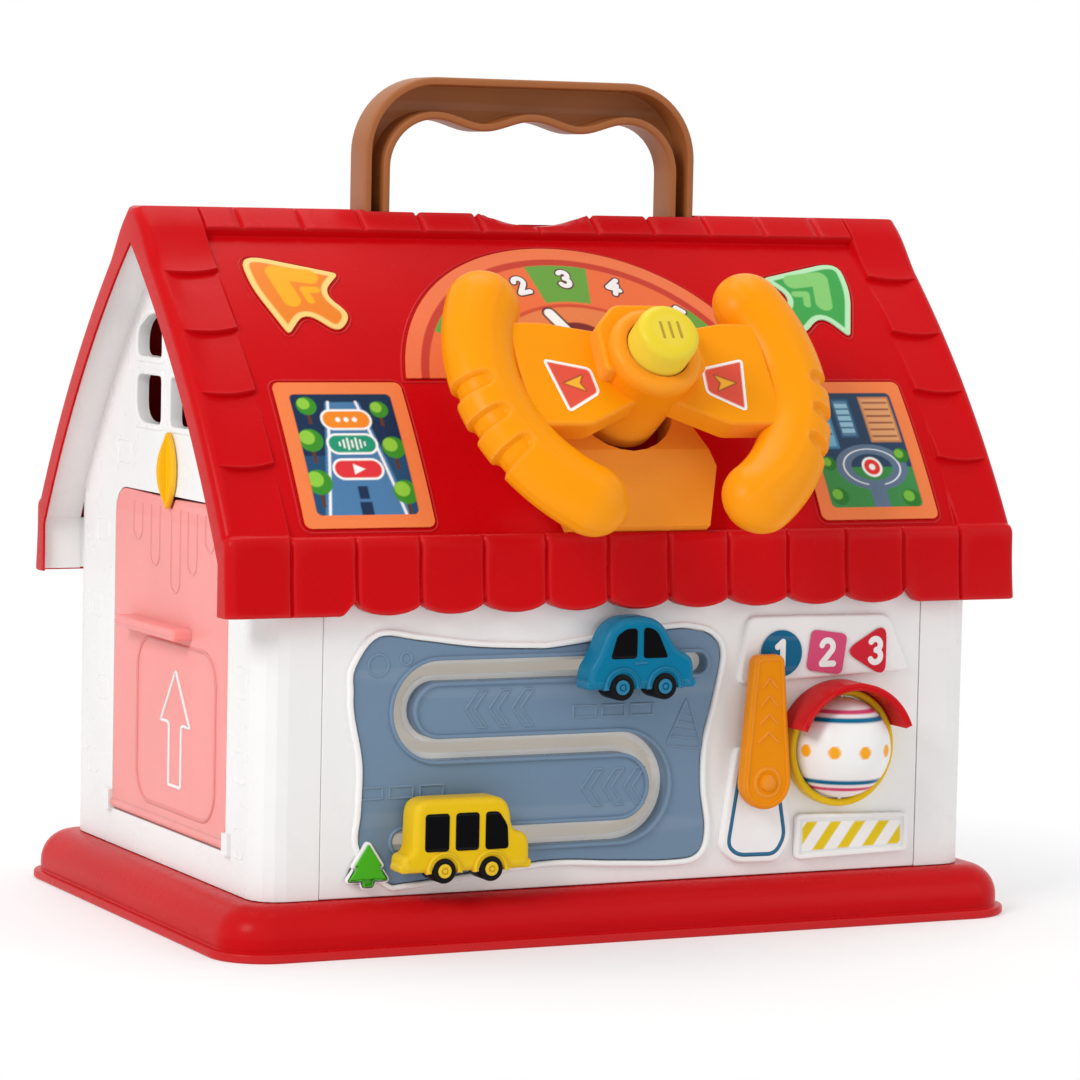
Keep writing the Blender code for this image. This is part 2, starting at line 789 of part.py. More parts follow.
def slope_line(rise, start, end):
    """Points of the slope from one run to another, at the same steps on every line."""
    step = EAVE_RUN / SLOPE_STEPS
    first = math.floor((start + MERGE) / step) + 1
    last = math.ceil((end - MERGE) / step)
    return [slope_point(run, rise) for run in (start, *(step * index for index in range(first, last)), end)]


def ridge_line(rise, end):
    """Points of the slope from the ridge down, starting no nearer than its plane."""
    return slope_line(rise, max(0.0, run_at(0, rise)), end)


def both_slopes(half):
    """A closed outline of both slopes from its half, listed from the ridge down and back up inside."""
    return half + [(-across, up) for across, up in reversed(half) if across > MERGE]


def under_slope(rise, half_depth, bottom):
    """The outline of all that lies under a line of both slopes."""
    return both_slopes([*ridge_line(rise, run_at(half_depth, rise)), (half_depth, bottom)])


def slope_frame(run):
    """The frame on the front slope: X to the right, Y up the slope and Z square to it."""
    angle = SLOPE_ANGLE - run / SLOPE_RADIUS
    away, up = slope_point(run)
    across = Vector((0, -math.cos(angle), math.sin(angle)))
    along = Vector((0, math.sin(angle), math.cos(angle)))
    frame = Matrix((Vector((1, 0, 0)), along, across)).transposed().to_4x4()
    frame.translation = (0, -away, up)
    return frame


def at(x, out, z):
    """The frame of a joint at a place on the front."""
    return Matrix.Translation((x, -out, z))


def span(side, near, far):
    """Low and high X of a stretch on one side of the middle."""
    return tuple(sorted((side * near, side * far)))


def side_box(side, near, far, y_range, z_range):
    """A box on one side of the middle, between two distances from it."""
    low, high = span(side, near, far)
    return box((low, y_range[0], z_range[0]), (high, y_range[1], z_range[1]))


def tray_block(inset, low, high, rounding):
    """The base's plan drawn in by an inset, with its top edge rounded over."""
    half_x = BASE_WIDTH / 2 - inset
    half_y = BASE_DEPTH / 2 - inset
    mesh = plate([rounded_box((-half_x, -half_y), (half_x, half_y), BASE_RADIUS - inset)], low, high)
    if rounding:
        round_top(mesh, high, rounding, ROUND_STEPS)
    return mesh


# Sizes of the battery box, from its cells
TUB_X = CELL_LENGTH + CELL_NIPPLE + CONTACT_ROOM
TUB_Y = CELL_RADIUS + 2 * FIT
TUB_BOTTOM = DOOR_PLATE_LOW + DOOR_PLATE_THICK + FIT
TUB_CEILING = CELL_LOW + 2 * CELL_RADIUS + FIT
FRAME_X = TUB_X + 2 * TUB_WALL + FIT
FRAME_Y = TUB_Y + 2 * TUB_WALL + FIT
BATTERY_BOSS_X = FRAME_X + BOSS_RADIUS - FIT
CORNER_BOSS_X = BODY_HALF - BOSS_INSET
CORNER_BOSS_Y = DEPTH_HALF - BOSS_INSET
CORNERS = ((1, 1), (1, -1), (-1, 1), (-1, -1))


def build_base():
    """Red tray: a thin rounded rim, ribs that locate the walls and a frame for the battery box."""
    floor = BASE_TOP - WALL
    tray = add_part("base_tray", tray_block(0, 0, LIP_HEIGHT, 0), material("red_plastic", RED))
    join(tray, "dome", tray_block(LIP_WIDTH, LIP_HEIGHT / 2, BASE_TOP, TRAY_ROUND))
    cut(tray, "hollow", tray_block(LIP_WIDTH + WALL, -OVERRUN, floor, TRAY_ROUND - WALL))
    rib_x = SEAM_X - RIB_SETBACK
    rib_y = DEPTH_HALF - BODY_RADIUS - RIB_SETBACK
    low, high = floor + WALL / 2, BASE_TOP + RIB_HEIGHT
    ribs = []
    for side in (-1, 1):
        near, far = sorted((side * (INNER_OUT - FIT - RIB_WIDTH), side * (INNER_OUT - FIT)))
        ribs.append(box((-rib_x, near, low), (rib_x, far, high)))
        outer = BODY_HALF - WALL - FIT
        ribs.append(side_box(side, outer - RIB_WIDTH, outer, (-rib_y, rib_y), (low, high)))
    join(tray, "ribs", merged(*ribs))
    join(tray, "battery_frame", box((-FRAME_X, -FRAME_Y, TUB_BOTTOM), (FRAME_X, FRAME_Y, low)))
    boss_bottom = (BATTERY_BOSS_X, 0, TUB_BOTTOM + FIT)
    boss = bar(boss_bottom, (BATTERY_BOSS_X, 0, low), BOSS_RADIUS, sides=SMALL_SIDES)
    join(tray, "battery_boss", boss)
    hole_x, hole_y = FRAME_X - TUB_WALL, FRAME_Y - TUB_WALL
    cut(tray, "battery_hole", box((-hole_x, -hole_y, -OVERRUN), (hole_x, hole_y, BASE_TOP + OVERRUN)))
    holes = [bar((BATTERY_BOSS_X, 0, 0), (BATTERY_BOSS_X, 0, floor - OVERRUN), SCREW_HOLE, sides=SMALL_SIDES)]
    for x, y in CORNERS:
        start = (x * CORNER_BOSS_X, y * CORNER_BOSS_Y, floor - OVERRUN)
        end = (x * CORNER_BOSS_X, y * CORNER_BOSS_Y, BASE_TOP + OVERRUN)
        holes.append(bar(start, end, SCREW_HOLE, sides=SMALL_SIDES))
    cut(tray, "screw_holes", merged(*holes))


def screw(head, tip, head_radius=SCREW_HEAD):
    """Head and shank meshes of a screw: the head's outer face, and the tip of the shank."""
    head, tip = Vector(head), Vector(tip)
    under = head + (tip - head).normalized() * SCREW_HEAD_HEIGHT
    start = head + (tip - head).normalized() * (SCREW_HEAD_HEIGHT / 2)
    return (
        bar(head, under, head_radius, sides=SMALL_SIDES),
        bar(start, tip, SCREW_RADIUS, sides=SMALL_SIDES),
    )


def build_base_screws():
    """Four screws that hold the end walls to the tray, from below."""
    steel = material("steel", STEEL, METAL_ROUGHNESS, 1.0)
    top = BASE_TOP - WALL - FIT
    for x, y in CORNERS:
        place = (x * CORNER_BOSS_X, y * CORNER_BOSS_Y)
        head, shank = screw((*place, top - SCREW_HEAD_HEIGHT), (*place, WALL_BOTTOM + BOSS_LIFT - OVERRUN))
        corner = f"{'back' if y > 0 else 'front'}_{'right' if x > 0 else 'left'}"
        join(add_part(f"{corner}_base_screw", head, steel), "shank", shank)


def build_battery():
    """Tub, two cells in line, contacts, door and screw of the battery box in the base."""
    steel = material("steel", STEEL, METAL_ROUGHNESS, 1.0)
    outer_x, outer_y = TUB_X + TUB_WALL, TUB_Y + TUB_WALL
    top = TUB_CEILING + TUB_WALL
    tub = box((-outer_x, -outer_y, TUB_BOTTOM), (outer_x, outer_y, top))
    tub = add_part("battery_box", tub, material("grey_plastic", GREY))
    edge_x, edge_y = outer_x + TUB_FLANGE, outer_y + TUB_FLANGE
    flange = box((-edge_x, -edge_y, BASE_TOP + FIT), (edge_x, edge_y, BASE_TOP + FIT + TUB_WALL))
    join(tub, "flange", flange)
    cut(tub, "inside", box((-TUB_X, -TUB_Y, -OVERRUN), (TUB_X, TUB_Y, TUB_CEILING)))

    middle = CELL_LOW + CELL_RADIUS
    length = CELL_LENGTH + CELL_NIPPLE
    wrap = material("cell_wrap", DARK)
    for name, low in (("left_battery_cell", -length - FIT / 2), ("right_battery_cell", FIT / 2)):
        body = bar((low, 0, middle), (low + CELL_LENGTH, 0, middle), CELL_RADIUS, sides=CELL_SIDES)
        nipple = bar((low + CELL_LENGTH / 2, 0, middle), (low + length, 0, middle), CELL_NIPPLE_RADIUS,
                     sides=SMALL_SIDES)
        join(add_part(name, body, wrap), "nipple", nipple)
    for side, word in ((-1, "left"), (1, "right")):
        z_range = (middle - CELL_RADIUS / 2, middle + CELL_RADIUS / 2)
        y_range = (FIT - TUB_Y, TUB_Y - FIT)
        strip = side_box(side, TUB_X - FIT - CONTACT_THICK, TUB_X - FIT, y_range, z_range)
        root = side * (TUB_X - FIT - CONTACT_THICK / 2)
        tip = root - side * (CONTACT_REACH + CONTACT_THICK / 2)
        cone = bar((root, 0, middle), (tip, 0, middle), CONTACT_CONE, CONTACT_CONE / 2, SMALL_SIDES)
        join(add_part(f"{word}_battery_contact", strip, steel), "spring", cone)

    far = BATTERY_BOSS_X + BOSS_RADIUS
    door = plate([rounded_box((-FRAME_X, -FRAME_Y), (far, FRAME_Y), TUB_FLANGE)], DOOR_PLATE_LOW,
                 DOOR_PLATE_LOW + DOOR_PLATE_THICK)
    door = add_part("battery_door", door, material("red_plastic", RED))
    sink = DOOR_PLATE_LOW + HEAD_SINK
    screw_place = (BATTERY_BOSS_X, 0)
    cut(door, "head_sink", bar((*screw_place, 0), (*screw_place, sink), SCREW_HEAD + FIT, sides=SMALL_SIDES))
    cut(door, "screw_hole", bar((*screw_place, 0), (*screw_place, TUB_BOTTOM), SCREW_HOLE, sides=SMALL_SIDES))
    top = sink - FIT
    head, shank = screw((*screw_place, top - SCREW_HEAD_HEIGHT), (*screw_place, top + BATTERY_SCREW_LENGTH))
    join(add_part("battery_door_screw", head, steel), "shank", shank)


def flange_outline():
    """Both slopes' flange under the roof's end, with its legs behind the fascia."""
    inner = LEG_OUT - FLANGE_THICK
    under = FLANGE_RISE - FLANGE_THICK
    outer_line = ridge_line(FLANGE_RISE, run_at(LEG_OUT, FLANGE_RISE))
    inner_line = ridge_line(under, run_at(inner, under))
    return both_slopes([*outer_line, (LEG_OUT, FLANGE_BOTTOM), (inner, FLANGE_BOTTOM), *reversed(inner_line)])


def pane_outlines():
    """Four window panes: two rows of two, the upper row under one arch."""
    outlines = []
    upper = PANE_LOW + PANE_SILL_HEIGHT + PANE_BAR
    for side in (-1, 1):
        near, far = side * PANE_GAP, side * (PANE_GAP + PANE_WIDTH)
        outlines.append([(near, PANE_LOW), (far, PANE_LOW), (far, PANE_LOW + PANE_SILL_HEIGHT),
                         (near, PANE_LOW + PANE_SILL_HEIGHT)])
        arch = []
        for step in range(PANE_STEPS + 1):
            share = step / PANE_STEPS
            arch.append((far + (near - far) * share,
                         upper + PANE_TOP_HEIGHT - PANE_ARCH_DROP * (1 - share) ** 2))
        outlines.append([(near, upper), (far, upper), *arch])
    return outlines


def lens(length, width):
    """The latch's leaf: two arcs that meet in points above and below."""
    radius = (length ** 2 + width ** 2) / (4 * width)
    reach = math.degrees(math.asin(length / 2 / radius))
    right = arc((width / 2 - radius, 0), radius, -reach, reach, LATCH_STEPS)
    left = arc((radius - width / 2, 0), radius, 180 - reach, 180 + reach, LATCH_STEPS)
    return right[:-1] + left[:-1]


def shifted(outline, x, y):
    """An outline moved in its own plane."""
    return [(across + x, up + y) for across, up in outline]


def build_end_wall(name, side):
    """An end wall with its gable: it wraps round both corners and carries the flange under the roof."""
    outer = (BODY_HALF, DEPTH_HALF)
    inner = (BODY_HALF - WALL, INNER_OUT)
    gable = under_slope(FLANGE_RISE - FLANGE_THICK / 2, DEPTH_HALF + OVERRUN, WALL_BOTTOM)
    wall = plate([gable], *span(side, SEAM_X, BODY_HALF + OVERRUN), SIDE)
    wall = add_part(name, wall, material("white_plastic", WHITE))
    keep(wall, "body", plate([rounded_box((-outer[0], -outer[1]), outer, BODY_RADIUS)], 0, SLOPE_TOP))
    cut(wall, "inside", plate([rounded_box((-inner[0], -inner[1]), inner, BODY_RADIUS - WALL)], 0, SLOPE_TOP))
    ends = span(side, BODY_HALF - WALL / 2, ROOF_HALF - FLANGE_SETBACK)
    join(wall, "flange", plate([flange_outline()], *ends, SIDE))
    legs, bosses, holes = [], [], []
    for back in (-1, 1):
        y_range = sorted((back * (DEPTH_HALF - WALL / 2), back * (LEG_OUT - FIT)))
        z_range = (FLANGE_BOTTOM + FIT, FLANGE_BOTTOM + LEG_HEIGHT)
        legs.append(side_box(side, BODY_HALF - LEG_LAP, ROOF_HALF - FLANGE_SETBACK - FIT, y_range, z_range))
        place = (side * CORNER_BOSS_X, back * CORNER_BOSS_Y)
        top = WALL_BOTTOM + BOSS_LIFT
        bosses.append(bar((*place, WALL_BOTTOM + FIT), (*place, top), BOSS_RADIUS, sides=SMALL_SIDES))
        holes.append(bar((*place, 0), (*place, top - OVERRUN / 2), SCREW_HOLE, sides=SMALL_SIDES))
    join(wall, "legs", merged(*legs))
    join(wall, "bosses", merged(*bosses))
    shelf = side_box(side, BODY_HALF - WALL - SHELF_DEPTH, BODY_HALF - WALL / 2,
                     (-SHELF_HALF, SHELF_HALF), (SHELF_Z, SHELF_Z + SHELF_HEIGHT))
    join(wall, "shelf", shelf)
    cut(wall, "screw_holes", merged(*holes))
    ends = span(side, BODY_HALF - WALL - OVERRUN, BODY_HALF + OVERRUN)
    cut(wall, "windows", merged(*(plate([outline], *ends, SIDE) for outline in pane_outlines())))
    return wall


# Garage door's place in the left end wall
DOOR_FACE = -BODY_HALF
HINGE_X = DOOR_FACE + DOOR_THICK / 2
DOOR_LOW_Y = DOOR_Y - DOOR_WIDTH / 2
DOOR_HIGH_Y = DOOR_Y + DOOR_WIDTH / 2
OPENING_LOW = DOOR_BOTTOM - BARREL_RADIUS - DOOR_GAP


def build_left_wall():
    """The left end wall, with the garage opening, its hinge tabs and the latch's hole."""
    wall = build_end_wall("left_wall", -1)
    tabs = []
    for edge, way in ((DOOR_LOW_Y - DOOR_GAP, -1), (DOOR_HIGH_Y + DOOR_GAP, 1)):
        y_range = sorted((edge - way * FIT, edge + way * TAB_LENGTH))
        tabs.append(box((DOOR_FACE - TAB_DEPTH, y_range[0], DOOR_BOTTOM - TAB_LOW),
                        (DOOR_FACE + WALL + TAB_DEPTH, y_range[1], DOOR_BOTTOM + TAB_HIGH)))
    join(wall, "hinge_tabs", merged(*tabs))
    low = (DOOR_LOW_Y - DOOR_GAP, OPENING_LOW)
    high = (DOOR_HIGH_Y + DOOR_GAP, DOOR_TOP + DOOR_GAP)
    opening = rounded_box(low, high, DOOR_RADIUS + DOOR_GAP, 0)
    cut(wall, "garage_opening", plate([opening], DOOR_FACE - OVERRUN, DOOR_FACE + WALL + OVERRUN, SIDE))
    reach = TAB_LENGTH - OVERRUN / 2
    bore = bar((HINGE_X, low[0] - reach, DOOR_BOTTOM), (HINGE_X, high[0] + reach, DOOR_BOTTOM),
               PIN_RADIUS + FIT, sides=SMALL_SIDES)
    cut(wall, "pin_bore", bore)
    hole = bar((DOOR_FACE - OVERRUN, DOOR_Y, LATCH_Z), (DOOR_FACE + WALL + OVERRUN, DOOR_Y, LATCH_Z),
               LATCH_STEM + FIT, sides=SMALL_SIDES)
    cut(wall, "latch_hole", hole)


def build_garage_door():
    """Flap with a finger ledge and a raised frame, that swings down on a pin through its lower edge."""
    plastic = material("salmon_plastic", SALMON)
    hinge = Matrix.Translation((HINGE_X, DOOR_Y, DOOR_BOTTOM))
    outline = rounded_box((DOOR_LOW_Y, DOOR_BOTTOM), (DOOR_HIGH_Y, DOOR_TOP), DOOR_RADIUS, 0)
    door = add_part("garage_door", plate([outline], DOOR_FACE, DOOR_FACE + DOOR_THICK, SIDE), plastic, hinge)
    barrel = bar((HINGE_X, DOOR_LOW_Y, DOOR_BOTTOM), (HINGE_X, DOOR_HIGH_Y, DOOR_BOTTOM), BARREL_RADIUS,
                 sides=SMALL_SIDES)
    join(door, "barrel", barrel)
    ledge = [DOOR_Y + share * DOOR_WIDTH for share in LEDGE_SHARES]
    inside = DOOR_FACE + DOOR_THICK / 2
    join(door, "ledge", box((DOOR_FACE - LEDGE_REACH, ledge[0], LEDGE_Z),
                            (inside, ledge[1], LEDGE_Z + LEDGE_HEIGHT)))
    frame = [DOOR_Y + share * DOOR_WIDTH for share in DOOR_FRAME_SHARES]
    rims = []
    for inset in (0, DOOR_FRAME_WIDTH):
        rims.append(rounded_box((frame[0] + inset, DOOR_FRAME_LOW + inset),
                                (frame[1] - inset, DOOR_FRAME_HIGH - inset), DOOR_FRAME_RADIUS - inset))
    join(door, "raised_frame", plate(rims, DOOR_FACE - DOOR_FRAME_LIFT, inside, SIDE))
    notch = shifted(lens(LATCH_LENGTH + 2 * LATCH_CLEAR, LATCH_WIDTH + 2 * LATCH_CLEAR), DOOR_Y, LATCH_Z)
    cut(door, "latch_notch", plate([notch], DOOR_FACE - OVERRUN, DOOR_FACE + DOOR_THICK + OVERRUN, SIDE))
    reach = TAB_LENGTH - OVERRUN
    bore = bar((HINGE_X, DOOR_LOW_Y - OVERRUN, DOOR_BOTTOM), (HINGE_X, DOOR_HIGH_Y + OVERRUN, DOOR_BOTTOM),
               PIN_RADIUS + FIT, sides=SMALL_SIDES)
    cut(door, "pin_bore", bore)
    pin = bar((HINGE_X, DOOR_LOW_Y - reach, DOOR_BOTTOM), (HINGE_X, DOOR_HIGH_Y + reach, DOOR_BOTTOM),
              PIN_RADIUS, sides=SMALL_SIDES)
    add_part("door_hinge_pin", pin, material("steel", STEEL, METAL_ROUGHNESS, 1.0))


def build_latch():
    """Leaf over the door that turns on a stem through the wall, held by a screw inside."""
    pivot = Matrix.Translation((DOOR_FACE, DOOR_Y, LATCH_Z))
    outline = shifted(lens(LATCH_LENGTH, LATCH_WIDTH), -DOOR_Y, LATCH_Z)
    leaf = plate([outline], BODY_HALF + FIT, BODY_HALF + FIT + LATCH_DEPTH, LEFT, LATCH_EDGE)
    leaf = add_part("leaf_latch", leaf, material("yellow_plastic", YELLOW), pivot)
    end = DOOR_FACE + WALL + FIT
    stem = bar((DOOR_FACE - LATCH_DEPTH / 2, DOOR_Y, LATCH_Z), (end, DOOR_Y, LATCH_Z), LATCH_STEM,
               sides=SMALL_SIDES)
    join(leaf, "stem", stem)
    bore = bar((DOOR_FACE - OVERRUN, DOOR_Y, LATCH_Z), (end + OVERRUN, DOOR_Y, LATCH_Z), SCREW_HOLE,
               sides=SMALL_SIDES)
    cut(leaf, "screw_bore", bore)
    head, shank = screw((end + FIT + SCREW_HEAD_HEIGHT, DOOR_Y, LATCH_Z),
                        (DOOR_FACE - OVERRUN + FIT, DOOR_Y, LATCH_Z))
    fixing = add_part("latch_screw", head, material("steel", STEEL, METAL_ROUGHNESS, 1.0), pivot)
    join(fixing, "shank", shank)


def build_panel_wall(name, turn):
    """A wall between the end walls' seams, with a lap behind each seam."""
    half = SEAM_X - FIT
    top = height_at(DEPTH_HALF, FLANGE_RISE - FIT)
    outline = [(-half, WALL_BOTTOM), (half, WALL_BOTTOM), (half, top), (-half, top)]
    wall = moved(plate([outline], INNER_OUT, DEPTH_HALF, FRONT), turn)
    wall = add_part(name, wall, material("white_plastic", WHITE))
    back = INNER_OUT - FIT
    laps = []
    for side in (-1, 1):
        near, seam, far = side * (SEAM_X - LAP_START), side * (half - FIT), side * (SEAM_X + LAP_WIDTH)
        lap = [(near, -INNER_OUT - WALL / 2), (seam, -INNER_OUT - WALL / 2), (seam, -back), (far, -back),
               (far, WALL - FIT - back), (near, WALL - FIT - back)]
        laps.append(moved(plate([lap], BASE_TOP + RIB_HEIGHT + 2 * FIT, top - OVERRUN), turn))
    join(wall, "laps", merged(*laps))
    return wall


def road_outline():
    return from_shares(ROAD_OUTLINE_SHARES, (ROAD_X, ROAD_Z), (ROAD_WIDTH, ROAD_HEIGHT))


def number_pad():
    size = (NUMBER_PAD_WIDTH, NUMBER_PAD_HEIGHT)
    return softened(from_shares(NUMBER_PAD_SHARES, (NUMBER_PAD_X, NUMBER_PAD_Z), size), PAD_SOFT)


def lever_pad():
    return from_shares(LEVER_PAD_SHARES, (LEVER_PAD_X, LEVER_PAD_Z), (LEVER_PAD_WIDTH, LEVER_PAD_HEIGHT))


def build_front_wall():
    """Front wall with the road panel's raised rim, two raised pads and the holes behind them."""
    wall = build_panel_wall("front_wall", PLAN)
    middle = INNER_OUT + WALL / 2
    rim = grown(road_outline(), FIT + ROAD_RIM_WIDTH)
    join(wall, "road_rim", plate([rim], middle, DEPTH_HALF + ROAD_RIM_LIFT, FRONT))
    pads = [plate([pad], middle, DEPTH_HALF + PAD_LIFT, FRONT)
            for pad in (number_pad(), softened(lever_pad(), PAD_SOFT))]
    join(wall, "pads", merged(*pads))
    far = DEPTH_HALF + PAD_LIFT + OVERRUN
    near = INNER_OUT - OVERRUN
    ball_hole = circle((SIGNAL_X, SIGNAL_Z), SIGNAL_RADIUS + SIGNAL_HOLE_GAP)
    lever_hole = circle((LEVER_X, LEVER_Z), LEVER_BOSS + FIT, SMALL_SIDES)
    outlines = (grown(road_outline(), FIT), ball_hole, lever_hole)
    holes = [plate([outline], near, far, FRONT) for outline in outlines]
    cut(wall, "openings", merged(*holes))


def build_back_wall():
    """Back wall with the slide switch's window."""
    wall = build_panel_wall("back_wall", BACK @ FRONT.inverted())
    half = (POWER_KNOB + POWER_TRAVEL) / 2 + POWER_SLACK
    tall = POWER_KNOB / 2 + POWER_SLACK
    low, high = (-POWER_X - half, POWER_Z - tall), (-POWER_X + half, POWER_Z + tall)
    window = plate([rounded_box(low, high, 0)], INNER_OUT - OVERRUN, DEPTH_HALF + OVERRUN, BACK)
    cut(wall, "switch_window", window)


def build_power_switch():
    """Slide switch behind the back wall: a plate with a knob, and the switch body that it moves."""
    x = POWER_X + POWER_TRAVEL / 2
    out = INNER_OUT - FIT
    pivot = Matrix.Translation((x, out, POWER_Z))
    half, tall = POWER_PLATE_WIDTH / 2, POWER_PLATE_HEIGHT / 2
    slider = box((x - half, out - POWER_PLATE_THICK, POWER_Z - tall), (x + half, out, POWER_Z + tall))
    slider = add_part("power_switch", slider, material("dark_plastic", DARK), pivot)
    knob = POWER_KNOB / 2
    join(slider, "knob", box((x - knob, out - POWER_PLATE_THICK / 2, POWER_Z - knob),
                             (x + knob, DEPTH_HALF + POWER_KNOB_LIFT, POWER_Z + knob)))
    back = out - POWER_PLATE_THICK - FIT
    half = POWER_BODY_WIDTH / 2
    start = (POWER_X - half, back - POWER_BODY_DEPTH, POWER_Z - tall)
    body = box(start, (POWER_X + half, back, POWER_Z + tall))
    add_part("power_switch_body", body, material("grey_plastic", GREY))


# Depths of the road panel's pieces, as distances in front of the middle plane
ROAD_BACK = INNER_OUT - FIT - ROAD_FLANGE_THICK
ROAD_FRONT = DEPTH_HALF + ROAD_PROUD
TRACK_PLATE_FRONT = ROAD_BACK - FIT
TRACK_PLATE_BACK = TRACK_PLATE_FRONT - TRACK_PLATE_THICK


def track_outline(width):
    """The S-shaped slot at a width: top lane, left bend, middle lane, right bend and low lane."""
    half = width / 2
    left = (TRACK_LEFT_X, (TRACK_TOP_Z + TRACK_MID_Z) / 2)
    right = (TRACK_RIGHT_X, (TRACK_MID_Z + TRACK_LOW_Z) / 2)
    left_radius = (TRACK_TOP_Z - TRACK_MID_Z) / 2
    right_radius = (TRACK_MID_Z - TRACK_LOW_Z) / 2
    return [
        *arc(left, left_radius - half, 90, 270, BEND_STEPS),
        *arc(right, right_radius + half, 90, -90, BEND_STEPS),
        *arc((TRACK_LOW_END_X, TRACK_LOW_Z), half, -90, -270, CORNER_STEPS),
        *arc(right, right_radius - half, -90, 90, BEND_STEPS),
        *arc(left, left_radius + half, 270, 90, BEND_STEPS),
        *arc((TRACK_TOP_END_X, TRACK_TOP_Z), half, 90, -90, CORNER_STEPS),
    ]


def build_road():
    """Road panel, held from behind by its flange, and the plate that guides the vehicles' pegs."""
    panel = plate([road_outline()], ROAD_BACK, ROAD_FRONT, FRONT)
    panel = add_part("road_panel", panel, material("blue_grey_plastic", BLUE_GREY))
    flange = grown(road_outline(), ROAD_FLANGE_WIDTH + FIT)
    join(panel, "flange", plate([flange], ROAD_BACK + FIT / 2, INNER_OUT - FIT, FRONT))
    slot = track_outline(2 * (COLLAR_RADIUS + FIT))
    cut(panel, "slot", plate([slot], ROAD_BACK - OVERRUN, ROAD_FRONT + OVERRUN, FRONT))
    half_x = ROAD_WIDTH / 2 - TRACK_PLATE_INSET
    half_z = ROAD_HEIGHT / 2 - TRACK_PLATE_INSET
    rim = rounded_box((ROAD_X - half_x, ROAD_Z - half_z), (ROAD_X + half_x, ROAD_Z + half_z), 0)
    slot = track_outline(2 * (PEG_RADIUS + FIT))
    guide = plate([rim, slot], TRACK_PLATE_BACK, TRACK_PLATE_FRONT, FRONT)
    add_part("track_plate", guide, material("grey_plastic", GREY))


def build_vehicle(name, retainer_name, finish, place, size, shares, wheel_shares, tyre, lane):
    """A vehicle with its collar and peg through the slot, and the disc that holds it behind."""
    x, low = place
    length, height = size
    back = ROAD_FRONT + VEHICLE_STANDOFF
    front = back + VEHICLE_DEPTH
    pivot = at(x, back, lane)
    outline = from_shares(shares, (x, low), size)
    body = add_part(name, plate([outline], back, front, FRONT, VEHICLE_EDGE), finish, pivot)
    wheels = []
    for share in wheel_shares:
        centre = (x + share * length, low + tyre)
        wheels.append(plate([circle(centre, tyre, SMALL_SIDES)], back + FIT, front + TYRE_LIFT, FRONT))
    join(body, "wheels", merged(*wheels))
    disc_front = TRACK_PLATE_BACK - FIT
    disc_back = disc_front - RETAINER_THICK
    middle = (back + front) / 2
    collar = bar((x, -ROAD_BACK, lane), (x, -middle, lane), COLLAR_RADIUS, sides=SMALL_SIDES)
    join(body, "collar", collar)
    peg = bar((x, PEG_TIP - disc_back, lane), (x, -back, lane), PEG_RADIUS, sides=SMALL_SIDES)
    join(body, "peg", peg)
    disc = [circle((x, lane), RETAINER_RADIUS, SMALL_SIDES), circle((x, lane), PEG_RADIUS + FIT, SMALL_SIDES)]
    grey = material("grey_plastic", GREY)
    add_part(retainer_name, plate(disc, disc_back, disc_front, FRONT), grey, pivot)


def build_badges():
    """Thin labels on the front wall's pads, a striped plate and a small tree."""
    low = DEPTH_HALF + PAD_LIFT + FIT
    shapes = (
        ("circle_badge", circle((CIRCLE_X, BADGE_Z), CIRCLE_RADIUS), TEAL),
        ("square_badge", softened(polygon((SQUARE_X, BADGE_Z), SQUARE_HALF * math.sqrt(2), 4,
                                          math.radians(45) + SQUARE_TURN), BADGE_SOFT), PINK),
        ("triangle_badge", softened(polygon((TRIANGLE_X, BADGE_Z), TRIANGLE_RADIUS, 3,
                                            math.radians(180)), BADGE_SOFT), RED),
    )
    for name, outline, color in shapes:
        finish = material(f"{name}_print", color, LABEL_ROUGHNESS)
        add_part(name, plate([outline], low, low + LABEL, FRONT), finish)
    stripe = from_shares(STRIPE_SHARES, (STRIPE_X, STRIPE_Z), (STRIPE_WIDTH, STRIPE_HEIGHT))
    low = DEPTH_HALF + FIT
    stripe = plate([softened(stripe, BADGE_SOFT)], low, low + STRIPE_THICK, FRONT)
    add_part("stripe_plate", stripe, material("yellow_plastic", YELLOW))
    tree = from_shares(TREE_SHARES, (TREE_X, TREE_LOW), (TREE_WIDTH, TREE_HEIGHT))
    low = DEPTH_HALF + ROAD_RIM_LIFT + FIT
    add_part("tree_badge", plate([tree], low, low + TREE_THICK, FRONT), material("green_plastic", GREEN))


def polygon(centre, radius, corners, turn):
    """A regular closed outline."""
    points = []
    for index in range(corners):
        angle = turn + math.tau * index / corners
        points.append((centre[0] + radius * math.cos(angle), centre[1] + radius * math.sin(angle)))
    return points


